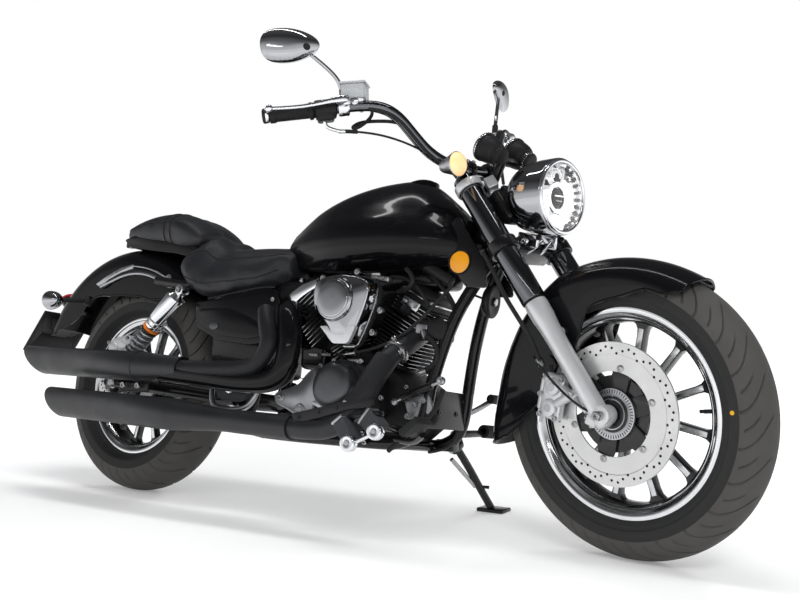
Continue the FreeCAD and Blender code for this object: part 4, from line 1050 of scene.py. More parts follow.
    def sidewall_line(self, radius: float) -> float:
        """How far the raised lines stand out of the sidewall at a radius.

        Args:
            radius: Distance from the axle.

        Returns:
            The height.
        """
        rise = 0.0
        for place, width, height in ((self.flange + 9, 1.6, 0.9), (self.outer - self.tyre_half * 0.62, 1.4, 0.9)):
            rise += height * math.exp(-(((radius - place) / width) ** 2))
        return rise

    def knurl(self, side: int, rows: Sequence[Point]) -> Callable[[float, float], Point]:
        """A patch of small raised checks on the sidewall.

        Args:
            side: 1 for the rider's left, -1 for the right.
            rows: The sidewall's radii and distances from the centre line.

        Returns:
            The surface, as a function of the shares round and across.
        """

        def surface(u: float, v: float) -> Point:
            """The point at a share round and a share across.

            Args:
                u: Share round, from 0 to 1.
                v: Share across, from 0 to 1.

            Returns:
                The point.
            """
            radius, across = along(rows, 0.36 + 0.30 * v)
            check = math.sin(u * 44 * math.pi) * math.sin(v * 6 * math.pi)
            fade = min(ease(u / 0.1), ease((1 - u) / 0.3), ease(v / 0.1), ease((1 - v) / 0.1))
            angle = math.radians(-127 + 38 * u)
            lift = -0.3 + 0.25 * fade + 0.75 * fade * max(0.0, check)
            return (
                self.axle.x + radius * math.cos(angle), side * (across + lift),
                self.axle.z + radius * math.sin(angle),
            )

        return surface

    def build_disc(self) -> None:
        """The drilled disc, its carrier arms and buttons, and the slotted speed ring."""
        ring = Shaper()
        at_y = -self.disc_offset
        inner, outer = self.disc_inner, self.disc_radius
        band = outer - 24
        profile = ((inner, -1.9), (band - 1, -1.9), (band, -2.5), (outer, -2.5), (outer, 2.5), (band, 2.5),
                   (band - 1, 1.9), (inner, 1.9), (inner, -1.9))
        place = facing((0, 1, 0), self.axle + Vector((0, at_y, 0)))
        ring.lathe(place, profile, 0, 180, 0.5)
        drills = Shaper()
        for angle in around(16, 4):
            for turn, depth in ((0, 10), (5.5, 16.5), (11.5, 23), (16.5, 13)):
                spot = self.at(angle + turn) @ Vector((outer - depth, at_y, 0))
                for side in SIDES:
                    drills.rod(spot + LEFTWARD * side * 0.5, spot + LEFTWARD * side * 6, 2.8, ink=1, steps=14)
        shape = carved(ring.mesh("disc_ring", self.body), drills.mesh("disc_drills", self.body))
        for face in shape.polygons:
            face.use_smooth = abs(face.normal.y) < 0.6
        carrier = Shaper()
        hub_end = -self.hub_half
        for angle in around(self.arms, self.arm_angle):
            spoke = self.at(angle)
            foot = 34
            outline = (
                (foot, -19), (inner - 14, -21), (inner + 2, -17), (inner + 10, -8), (inner + 10, 8),
                (inner + 2, 17), (inner - 14, 21), (foot, 19),
            )
            carrier.plate(outline, at_y + 2.1, at_y + 7.5, spoke, 2, 1.2, 0)
            spot = spoke @ Vector((inner + 8, at_y - 1.7, 0))
            carrier.lathe(
                facing((0, -1, 0), spot), ((7.4, 0), (7.4, 1.6), (5.6, 2.6), (3.4, 2.6), (3.0, 1.0), (0, 1.0)), 1, 32
            )
        low, high = sorted((at_y + 1, hub_end + 6))
        carrier.lathe(
            facing((0, 1, 0), self.axle), ((26, low), (44, low + 2), (44, high), (26, high), (26, low)), 0, 48, 1
        )
        carrier.lathe(
            facing((0, 1, 0), self.axle + Vector((0, at_y + 8, 0))),
            ((40, 0), (inner - 8, 0), (inner - 8, 2.4), (40, 2.4), (40, 0)), 0, 72,
        )
        self.add_speed_ring(carrier, at_y)
        whole = carrier.mesh("disc_carrier", self.body)
        set_down(
            self.name + "_drilled_disc", shape, self.body, (DISC_STEEL, RUBBER), (self.name + "_disc",)
        )
        set_down(
            self.name + "_disc_carrier", whole, self.body, (WHEEL_BLACK, STEEL, SATIN),
            (self.name + "_disc",),
        )

    def add_speed_ring(self, shaper: Shaper, at_y: float) -> None:
        """The slotted ring beside the hub and the bearing's cover.

        Args:
            shaper: The shaper that holds the piece.
            at_y: The disc's Y.
        """
        out = at_y - 3.0
        place = facing((0, 1, 0), self.axle)
        shaper.lathe(place, ((37, out), (37, out + 2), (52, out + 2), (52, out), (37, out)), 2, 96, 0.3)
        shaper.lathe(place, ((52, out), (52, out + 5), (50.5, out + 5), (50.5, out)), 2, 96, closed=False)
        for angle in around(50):
            outline = ((42.5, -0.95), (49.5, -1.15), (49.5, 1.15), (42.5, 0.95))
            shaper.plate(outline, out - 0.25, out + 0.1, self.at(angle), 0, 0, 0)
        shaper.lathe(
            place,
            ((16, out - 4), (27, out - 4), (29, out - 2), (35, out - 2), (37, out), (37, out + 6), (16, out + 6)), 0,
            64,
        )
        shaper.lathe(place, ((29.5, out - 2.6), (31.5, out - 2.6), (31.5, out - 2), (29.5, out - 2)), 2, 64)


RIM_LIP = Finish(
    "polished_rim_lip", (0.78, 0.79, 0.8), (0.7, 0.71, 0.72), metallic=1.0, rough=(0.1, 0.18), grain=900, depth=0.02,
    stretch=(1.0, 0.1, 1.0),
)
TREAD = Finish(
    "tread_rubber", (0.06, 0.058, 0.055), (0.1, 0.097, 0.091), rough=(0.6, 0.78), grain=600, depth=0.15, mottle=14
)
PAINT_DOT = Finish("balance_dot", (0.8, 0.45, 0.02), rough=(0.4, 0.5))


# ---- tank, fenders and seats ------------------------------------------------------------------------------


def rounded_loft(
    rows: Sequence[Sequence[float]], caps: tuple[float, float], ring: Callable[[Sequence[float], float], Point]
) -> Callable[[float, float], Point]:
    """A surface through sections that closes with a rounded cap at each end.

    Args:
        rows: The sections' values, each starting with its X.
        caps: How far each end bulges past its section.
        ring: Gives the (y, z) point of a section at a share round it.

    Returns:
        The surface, as a function of the shares along and round.
    """

    def surface(u: float, v: float) -> Point:
        """The point at a share along and a share round.

        Args:
            u: Share along, from 0 to 1.
            v: Share round, from 0 to 1.

        Returns:
            The point.
        """
        lead = 0.16
        if u < lead or u > 1 - lead:
            first = u < lead
            angle = (u if first else 1 - u) / lead * math.pi / 2
            row = along(rows, 0.0 if first else 1.0)
            push = caps[0 if first else 1] * math.cos(angle)
            away = 1 if rows[0][0] > rows[-1][0] else -1
            push *= away if first else -away
            size = math.sin(angle)
        else:
            row = along(rows, (u - lead) / (1 - 2 * lead))
            push, size = 0.0, 1.0
        y, z = ring(row, v)
        low, high = ring(row, 0.0)[1], ring(row, 0.5)[1]
        middle = (low + high) / 2
        return row[0] + push, y * size, middle + (z - middle) * size

    return surface


def through(points: Sequence[Point], share: float) -> list[float]:
    """The point at a share of a closed smooth loop through points.

    Args:
        points: The loop's points.
        share: Share of the loop, from 0 to 1.

    Returns:
        The point's values.
    """
    count = len(points)
    reach = (share % 1.0) * count
    index = int(reach)
    near = [points[(index + step) % count] for step in (-1, 0, 1, 2)]
    return along(near, (1 + reach - index) / 3)


@dataclass(frozen=True)
class Tank:
    """The teardrop fuel tank: sections of x, foot, waist and brow (half width, height), and the top's height."""

    sections: tuple[tuple[float, ...], ...] = (
        (1098, 40, 632, 62, 668, 50, 702, 728),
        (1040, 60, 618, 112, 668, 92, 725, 788),
        (960, 74, 611, 137, 672, 112, 750, 846),
        (860, 80, 610, 140, 675, 114, 755, 853),
        (750, 80, 613, 126, 678, 104, 752, 836),
        (650, 70, 622, 96, 680, 80, 738, 800),
        (562, 46, 645, 60, 680, 50, 710, 742),
    )

    @staticmethod
    def ring(row: Sequence[float], share: float) -> Point:
        """The section's point at a share round it, from under its middle.

        Args:
            row: The section's values.
            share: Share round, from 0 to 1.

        Returns:
            The point's Y and Z.
        """
        _, foot, foot_z, waist, waist_z, brow, brow_z, top_z = row
        mid_z = (waist_z + brow_z) / 2
        bulge = max(waist, brow) * 0.985
        points = (
            (0, foot_z + 6), (-foot * 0.7, foot_z + 2), (-foot, foot_z), (-waist * 0.9, (foot_z + waist_z) / 2 - 2),
            (-waist, waist_z + 2), (-bulge * 0.985, mid_z), (-brow, brow_z),
            (-brow * 0.56, (brow_z + top_z * 2) / 3 + 6),
            (0, top_z),
            (brow * 0.56, (brow_z + top_z * 2) / 3 + 6), (brow, brow_z), (bulge * 0.985, mid_z), (waist, waist_z + 2),
            (waist * 0.9, (foot_z + waist_z) / 2 - 2), (foot, foot_z), (foot * 0.7, foot_z + 2),
        )
        return through(points, share)

    def build(self) -> None:
        """Makes the tank with its seam and filler cap."""
        shaper = Shaper()
        shaper.skin(110, 128, rounded_loft(self.sections, (10, 8), self.ring), 0)
        for side in SIDES:
            seam = []
            for share in (0.02, 0.12, 0.25, 0.4, 0.55, 0.7, 0.85, 0.97):
                row = along(self.sections, share)
                seam.append((row[0], side * (row[1] + 1.0), row[2] + 1.5))
            shaper.tube(seam, 3.2, 0, 3)
        spot = (940, 0, 834)
        shaper.lathe(facing((0, 0, 1), spot), ((38, 4), (38, 13), (36, 14.5), (31, 14.5), (31, 6)), 0, 72, 0.8)
        cap = ((0, 21), (18, 20.4), (26, 19), (29.5, 16.5), (30.5, 12), (30.5, 4))
        shaper.lathe(facing((0, 0, 1), spot), cap, 1, 72, closed=False)
        shaper.box((940, 0, 855.5), (24, 7, 3.5), soft=1.2, ink=1)
        set_down("painted_tank", shaper, Body.FRAME, (PAINT, DARK_CHROME), ("fuel_tank",))


@dataclass(frozen=True)
class Fender:
    """A deep fender round a wheel, its section a crown between two flanks. Lengths in mm, angles in degrees."""

    name: str
    body: Body
    centre: Vector
    radius: float
    half: float
    brow: float
    span: tuple[float, float]
    tip_lead: float
    edge: tuple[tuple[float, float], ...]
    node: str
    tail_lead: float = 0.0
    nose: tuple[tuple[float, float], ...] = ((0.0, 90.0),)
    crest: tuple[tuple[float, float], ...] = ((0.0, 0.0),)

    @staticmethod
    def at_angle(rows: tuple[tuple[float, float], ...], angle: float) -> float:
        """The value at an angle in a table of angles and values.

        Args:
            rows: Angles in degrees, and their values.
            angle: The angle, in degrees.

        Returns:
            The value.
        """
        if angle <= rows[0][0]:
            return rows[0][1]
        for (low, near), (high, far) in zip(rows, rows[1:]):
            if angle <= high:
                return near + (far - near) * (angle - low) / (high - low)
        return rows[-1][1]

    def surface(self, u: float, v: float) -> Point:
        """The outer skin's point at a share along the arc and a share across.

        Args:
            u: Share along the arc, from 0 to 1.
            v: Share across, from 0 to 1.

        Returns:
            The point.
        """
        start, end = self.span
        across = abs(v - 0.5) * 2
        lead = self.tip_lead * ease(across / 0.55)
        angle = start + lead + (end - start - lead) * u
        angle -= self.tail_lead * ease(across / 0.9) * ease((u - 0.8) / 0.2)
        knee = self.radius - self.brow + self.at_angle(self.crest, angle)
        turn = min(across / 0.55, 1.0) * math.radians(self.at_angle(self.nose, angle))
        y = self.half * math.sin(turn)
        r = knee + self.brow * max(0.0, math.cos(turn)) ** 0.94
        if across > 0.55:
            down = (across - 0.55) / 0.45
            foot = min(self.at_angle(self.edge, angle), r - 1)
            y -= 1.5 * down * down
            r += (foot - r) * down
        side = 1 if v > 0.5 else -1
        bearing = math.radians(angle)
        return self.centre.x + r * math.cos(bearing), side * y, self.centre.z + r * math.sin(bearing)

    def rim_points(self, side: float, count: int = 44, lift: float = 0.0) -> list[Point]:
        """Points along a flank's lower edge.

        Args:
            side: 0 for the right flank, 1 for the left one.
            count: Steps along it.
            lift: How far out of the skin they lie.

        Returns:
            The points.
        """
        points = []
        for step in range(count + 1):
            x, y, z = self.surface(step / count, side)
            points.append((x, y + math.copysign(lift, y), z))
        return points

    def build(self) -> None:
        """Makes the fender with its rolled edges."""
        shaper = Shaper()
        shaper.skin(150, 90, self.surface, 0, thick=-2.6)
        for side in (0.0, 1.0):
            shaper.tube(self.rim_points(side, lift=0.5), 2.8, 0, 2, loops=3)
        for end in (0.0, 1.0):
            shaper.tube([self.surface(end, step / 40) for step in range(41)], 2.8, 0, 2, loops=3)
        self.add_fittings(shaper)
        set_down(self.name, shaper, self.body, (PAINT, TRIM_BLACK, FORK_SILVER), (self.node,))

    def add_fittings(self, shaper: Shaper) -> None:
        """What the fender carries; each fender adds its own."""


class FrontFender(Fender):
    """The front fender, with the bosses that hold it to the fork."""

    def add_fittings(self, shaper: Shaper) -> None:
        """Adds the mount plates and bolts beside the fork's legs.

        Args:
            shaper: The shaper that holds the piece.
        """
        for side in SIDES:
            spot = on_stem(205, 61, side * 78)
            shaper.rod(spot - LEFTWARD * side * 14, spot + LEFTWARD * side * 4, 12, ink=2)
            shaper.bolt(spot + LEFTWARD * side * 4, (0, side, 0), 6.5, 5, 1)


FRONT_EDGE = (
    (57, 328), (61, 325), (65, 318), (69, 307), (73, 294), (77, 283), (80, 276), (84, 270), (88, 266), (92, 261),
    (96, 256),
    (99, 246), (104, 214), (108, 194), (117.9, 184), (130, 172), (145, 163), (157.5, 162), (169, 186), (181.2, 226),
    (187, 262), (191, 290),
)
FRONT_NOSE = ((57.0, 46.0), (58.0, 58.0), (59.5, 72.0), (61.0, 80.0), (64.0, 90.0))
FRONT_CREST = (
    (110, 0), (118, -8), (126, -16), (134, -23), (142, -31), (150, -36), (158, -39), (166, -41), (174, -38),
    (182, -31), (190, -24),
)
REAR_EDGE = (
    (44, 300), (48.3, 294.6), (59.5, 257.8), (80, 240), (92, 239), (103, 245), (113, 262), (123.2, 273.7), (132, 266),
    (139.2, 263), (146.3, 277.6), (155.3, 320), (161, 372),
)


@dataclass(frozen=True)
class Seat:
    """A padded seat. Sections of x and half width and height at the foot, waist and brow, and the top's height."""

    name: str
    node: str
    sections: tuple[tuple[float, ...], ...]
    caps: tuple[float, float]
    dish: float
    pressure: float
    seams: tuple[tuple[Point, ...], ...] = ()
    bands: tuple[float, ...] = ()

    def ring(self, row: Sequence[float], share: float) -> Point:
        """The section's point at a share round it, from under its middle.

        Args:
            row: The section's values.
            share: Share round, from 0 to 1.

        Returns:
            The point's Y and Z.
        """
        _, foot, foot_z, waist, waist_z, brow, brow_z, top_z = row
        points = (
            (0, foot_z), (-foot * 0.6, foot_z), (-foot, foot_z + 1), (-waist, waist_z), (-brow, brow_z),
            (-brow * 0.5, top_z - self.dish * 0.3), (0, top_z - self.dish),
            (brow * 0.5, top_z - self.dish * 0.3), (brow, brow_z), (waist, waist_z), (foot, foot_z + 1),
            (foot * 0.6, foot_z),
        )
        return through(points, share)

    def cushion(self) -> bpy.types.Mesh:
        """The seat's padding, swollen under its cover by a short cloth run.

        Returns:
            The padding's mesh.
        """
        shaper = Shaper()
        shaper.skin(72, 72, rounded_loft(self.sections, self.caps, self.ring), 0)
        mesh = shaper.mesh(self.name, Body.FRAME)
        return swollen(mesh, self.pressure)

    def build(self) -> None:
        """Makes the seat with its piping."""
        made = set_down(self.name, self.cushion(), Body.FRAME, (VINYL,), (self.node,))
        for face in made.data.polygons:
            face.use_smooth = True
        self.add_piping(made.data)

    def add_piping(self, cover: bpy.types.Mesh) -> None:
        """Piping along the cover's seams, laid on the settled shape.

        Args:
            cover: The cushion's mesh.
        """
        stand = STANCE.of(Body.FRAME)
        back = stand.inverted()
        tree = BVHTree.FromPolygons([vert.co for vert in cover.vertices], [face.vertices for face in cover.polygons])
        lines = [[(x, y * side, z) for x, y, z in line] for line in self.seams for side in SIDES]
        for share in self.bands:
            row = along(self.sections, share)
            lines.append([(row[0], *self.ring(row, 0.16 + 0.68 * step / 24)) for step in range(25)])
        shaper = Shaper()
        for line in lines:
            points = []
            for step in range(61):
                found, out, _, _ = tree.find_nearest(stand @ Vector(along(line, step / 60)))
                points.append(tuple(back @ (found + out * 0.0004)))
            shaper.tube(points, 1.9, 0, 2, loops=3)
        set_down(self.name + "_piping", shaper, Body.FRAME, (RUBBER,), (self.node,))


def swollen(mesh: bpy.types.Mesh, pressure: float) -> bpy.types.Mesh:
    """A closed mesh after a short cloth run with pressure inside it, limited to a few millimetres.

    Args:
        mesh: The start shape, which is removed.
        pressure: The pressure.

    Returns:
        The settled mesh.
    """
    scene = bpy.context.scene
    holder = bpy.data.objects.new("swelling", mesh)
    scene.collection.objects.link(holder)
    remesh = holder.modifiers.new("even", "REMESH")
    remesh.mode = "VOXEL"
    remesh.voxel_size = 0.0062
    evaluated = holder.evaluated_get(bpy.context.evaluated_depsgraph_get())
    even = bpy.data.meshes.new_from_object(evaluated)
    holder.modifiers.clear()
    holder.data = even
    bpy.data.meshes.remove(mesh)
    start = [vert.co.copy() for vert in even.vertices]
    low = min(point.z for point in start)
    group = holder.vertex_groups.new(name="held")
    group.add([index for index, point in enumerate(start) if point.z < low + 0.012], 1.0, "REPLACE")
    cloth = holder.modifiers.new("cover", "CLOTH")
    cloth.settings.quality = 6
    cloth.settings.mass = 0.3
    cloth.settings.tension_stiffness = 30
    cloth.settings.compression_stiffness = 12
    cloth.settings.bending_stiffness = 2.5
    cloth.settings.use_pressure = True
    cloth.settings.uniform_pressure_force = pressure
    cloth.settings.effector_weights.gravity = 0.0
    cloth.settings.vertex_group_mass = "held"
    cloth.collision_settings.use_collision = False
    scene.frame_start, scene.frame_end = 1, 20
    for number in range(1, 21):
        scene.frame_set(number)
    evaluated = holder.evaluated_get(bpy.context.evaluated_depsgraph_get())
    settled = bpy.data.meshes.new_from_object(evaluated)
    scene.frame_set(1)
    for vert, rest in zip(settled.vertices, start):
        moved = vert.co - rest
        if moved.length > 0.009:
            vert.co = rest + moved.normalized() * 0.009
    shape = bmesh.new()
    shape.from_mesh(settled)
    for _ in range(3):
        bmesh.ops.smooth_vert(
            shape, verts=shape.verts[:], factor=0.5, use_axis_x=True, use_axis_y=True, use_axis_z=True
        )
    shape.to_mesh(settled)
    shape.free()
    bpy.data.objects.remove(holder)
    bpy.data.meshes.remove(even)
    return settled


RIDER_SEAT = Seat(
    "rider_cushion", "rider_seat",
    (
        (594, 76, 610, 94, 640, 82, 662, 684), (570, 82, 600, 102, 630, 86, 666, 692),
        (520, 112, 576, 134, 612, 104, 660, 690), (430, 130, 564, 151, 602, 119, 659, 689),
        (350, 130, 562, 152, 601, 121, 663, 695), (300, 124, 565, 150, 606, 125, 690, 734),
        (252, 110, 584, 146, 622, 124, 682, 716), (218, 94, 597, 130, 641, 110, 682, 708),
    ),
    (8, 10), 4, 4.0,
    (
        ((250, 140, 612), (290, 152, 598), (350, 154, 590), (430, 154, 590), (520, 140, 598), (566, 106, 624)),
        (
            (236, 112, 668), (266, 122, 686), (306, 124, 690), (350, 120, 666), (430, 118, 661), (520, 104, 661),
            (570, 84, 665),
        ),
    ),
)
PILLION_SEAT = Seat(
    "pillion_cushion", "passenger_seat",
    (
        (252, 88, 712, 104, 730, 88, 746, 760), (212, 94, 712, 112, 742, 96, 772, 788),
        (156, 97, 716, 115, 756, 100, 790, 812), (80, 95, 728, 111, 763, 96, 796, 824),
        (0, 90, 736, 106, 767, 92, 796, 820), (-76, 76, 738, 92, 764, 80, 788, 804),
        (-106, 52, 742, 66, 762, 56, 778, 790),
    ),
    (10, 8), 3, 4.0,
    (((200, 100, 770), (150, 102, 787), (80, 98, 792), (0, 94, 790), (-76, 82, 782), (-100, 60, 776)),),
    (0.40, 0.46),
)


@dataclass(frozen=True)
class RearBody:
    """Struts, side covers, neck covers, plate bracket, tail lamp and rear signals."""

    def build(self) -> None:
        """Makes all of them."""
        self.build_struts()
        self.build_side_covers()
        self.build_pillion_base()
        self.build_neck_covers()
        self.build_plate_bracket()
        self.build_tail_lamp()
        self.build_signals()

    def build_struts(self) -> None:
        """The satin arches that carry the rear fender."""
        shaper = Shaper()
        arch = (
            (186, 590), (186, 602), (156, 614), (150, 626), (128, 628), (92, 642), (50, 653), (15, 660), (-24, 664),
            (-20, 670), (-60, 664), (-104, 652), (-150, 634), (-192, 613), (-176, 606), (-164, 598), (-148, 600),
            (-118, 615), (-84, 627), (-50, 634), (-14, 637), (30, 634), (70, 624), (104, 609), (128, 594), (150, 585),
        )
        for side in SIDES:
            low, high = sorted((side * 93.6, side * 97.5))
            shaper.plate(arch, low, high, None, 5, 1.2, 2)
            for rib, radius in (
                (((-168, 604), (-120, 619), (-60, 637), (0, 641), (60, 631), (110, 610), (150, 590), (180, 594)), 4.6),
                (((-24, 663), (20, 658), (70, 646), (112, 629), (140, 617)), 2.6),
                (((-24, 663), (-80, 650), (-130, 631), (-168, 606)), 3.0),
            ):
                shaper.tube([(x, side * 97.5, z) for x, z in rib], radius, 0, 3)
            foot = ((-190, 613), (-176, 606), (-130, 626), (-76, 645), (-22, 655), (-22, 669), (-80, 659), (-140, 638))
            low, high = sorted((side * 96, side * 99.5))
            shaper.plate(foot, low, high, None, 3, 1, 0)
            shaper.rod((143, side * 97, 619), (143, side * 104, 619), 10.5, ink=0, soft=1.5)
            shaper.bolt((143, side * 104, 619), (0, side, 0), 6, 4, 1)
            shaper.bolt((-104, side * 99.5, 644), (0, side, 0), 4, 2, 1)
        set_down("satin_struts", shaper, Body.FRAME, (SATIN, STEEL, PAINT), ("fender_struts",))

    def build_pillion_base(self) -> None:
        """The moulded base between the pillion seat and the rear fender."""
        shaper = Shaper()
        outline = (
            (-90, 750), (-60, 724), (60, 706), (150, 694), (226, 676), (240, 700), (214, 742), (100, 756), (-40, 762),
        )
        shaper.plate(outline, -90, 90, None, 8, 6, 0)
        shaper.box((-110, -40, 748), (34, 26, 26), None, 4, 0)
        shaper.bolt((-96, -54, 738), (0, -1, 0), 6, 4, 1)
        set_down("pillion_base", shaper, Body.FRAME, (PAINT, STEEL), ("passenger_seat",))

    def build_side_covers(self) -> None:
        """The glossy covers under the seat."""
        shaper = Shaper()
        outline = (
            (300, 540), (306, 500), (312, 472), (400, 432), (517, 421), (588, 430), (606, 470), (603, 552), (588, 566),
            (560, 572), (450, 558), (344, 543),
        )
        fold = ((318, 520), (330, 478), (404, 446), (512, 436), (566, 446), (560, 470), (505, 496), (430, 520))
        badge = [(384 + 17 * math.cos(a), 472 + 10.5 * math.sin(a)) for a in (TAU * step / 24 for step in range(24))]
        for side in SIDES:
            low, high = sorted((side * 122, side * 133))
            shaper.plate(outline, low, high, None, 16, 5, 0)
            low, high = sorted((side * 130, side * 136))
            shaper.plate(fold, low, high, None, 20, 5.4, 0)
            low, high = sorted((side * 135, side * 138))
            shaper.plate(badge, low, high, None, 0, 1.2, 2)
            shaper.tube([(x, side * 132, z) for x, z in ((348, 548), (450, 563), (556, 576), (590, 572))], 4.2, 0, 3)
            shaper.bolt((585, side * 133, 540), (0, side, 0), 6, 3, 1)
        set_down("glossy_side_covers", shaper, Body.FRAME, (PAINT, STEEL, CASE_GREY), ("side_covers",))

    def build_neck_covers(self) -> None:
        """The covers beside the neck, each with a round reflector."""
        shaper = Shaper()
        corners = ((590, -34), (590, -96), (520, -112), (430, -104), (398, -60), (450, -34))
        outline = [(point.x, point.z) for point in (on_stem(up, ahead) for up, ahead in corners)]
        for side in SIDES:
            low, high = sorted((side * 64, side * 71))
            shaper.plate(outline, low, high, None, 8, 2, 0)
            spot = Vector((1098, side * 70, 625))
            shaper.lathe(facing((0, side, 0), spot), ((0, 3.6), (22, 3.4), (26, 2.4), (26.5, 0)), 1, 48, closed=False)
            shaper.lathe(facing((0, side, 0), spot), ((26.5, 0), (26.5, 4), (29.5, 4), (30, -2)), 0, 48, closed=False)
        set_down("neck_side_covers", shaper, Body.FRAME, (FRAME_PAINT, AMBER_BRIGHT), ("neck_covers",))

    def build_plate_bracket(self) -> None:
        """The drilled number-plate holder and its arm."""
        shaper = Shaper()
        turn = turned((0, 1, 0), 36)
        centre = Vector((-492, 0, 470))
        shape = Shaper()
        shape.box(centre, (7, 184, 160), turn, 3)
        drills = Shaper()
        out = Vector((-math.cos(math.radians(36)), 0, math.sin(math.radians(36))))
        for side in SIDES:
            spot = centre + LEFTWARD * side * 60
            drills.rod(spot - out * 12, spot + out * 12, 3.5, steps=20)
        plate = carved(shape.mesh("plate", Body.FRAME), drills.mesh("plate_drills", Body.FRAME))
        set_down("plate_holder", plate, Body.FRAME, (TRIM_BLACK,), ("plate_bracket",))
        shaper.box((-466, 0, 481), (70, 60, 12), turned((0, 1, 0), -27), 3)
        shaper.box((-452, 0, 498), (40, 110, 18), turned((0, 1, 0), 60), 5)
        set_down("plate_arm", shaper, Body.FRAME, (TRIM_BLACK,), ("plate_bracket",))

    def build_tail_lamp(self) -> None:
        """The red tail lamp on a glossy base."""
        shaper = Shaper()
        turn = turned((0, 1, 0), 52)
        shaper.box((-406, 0, 562), (62, 96, 34), turn, 12, 1)
        shaper.ball((-425, 0, 576), (30, 50, 27), turn, 0, 48)
        for share in (-0.4, 0.0, 0.4):
            shaper.tube(
                [(-443 - 9 * (1 - share * share), y, 583 + 23 * share) for y in (-36, -18, 0, 18, 36)], 1.2, 0, 2
            )
        set_down("tail_lamp_lens", shaper, Body.FRAME, (RED_LENS, PAINT), ("tail_light",))

    def build_signals(self) -> None:
        """Chrome bullet signals on black stalks."""
        shaper = Shaper()
        for side in SIDES:
            root, tip = Vector((-226, side * 95, 562)), Vector((-262, side * 170, 553))
            shaper.rod(root, tip, 8.5, 7, 2, soft=1)
            shaper.rod(root - (tip - root) * 0.05, root + (tip - root) * 0.14, 15, 13, 2, soft=1.5)
            place = facing((-1, 0, 0), (-250, side * 186, 550))
            shell = (
                (0, -11), (9, -9), (18, -3), (24, 6), (27.5, 18), (29, 29), (29, 35), (27.5, 37), (26, 35), (26, 30)
            )
            shaper.lathe(place, [along(shell, step / 36) for step in range(37)], 0, 64, closed=False)
            shaper.lathe(place, ((26, 31), (25, 39), (19, 44), (10, 47), (0, 48)), 1, 64, closed=False)
        set_down(
            "rear_bullet_signals", shaper, Body.FRAME, (SHADED_CHROME, RED_LENS, TRIM_BLACK),
            ("rear_signals",),
        )


# ---- fork, lamp and bars ----------------------------------------------------------------------------------


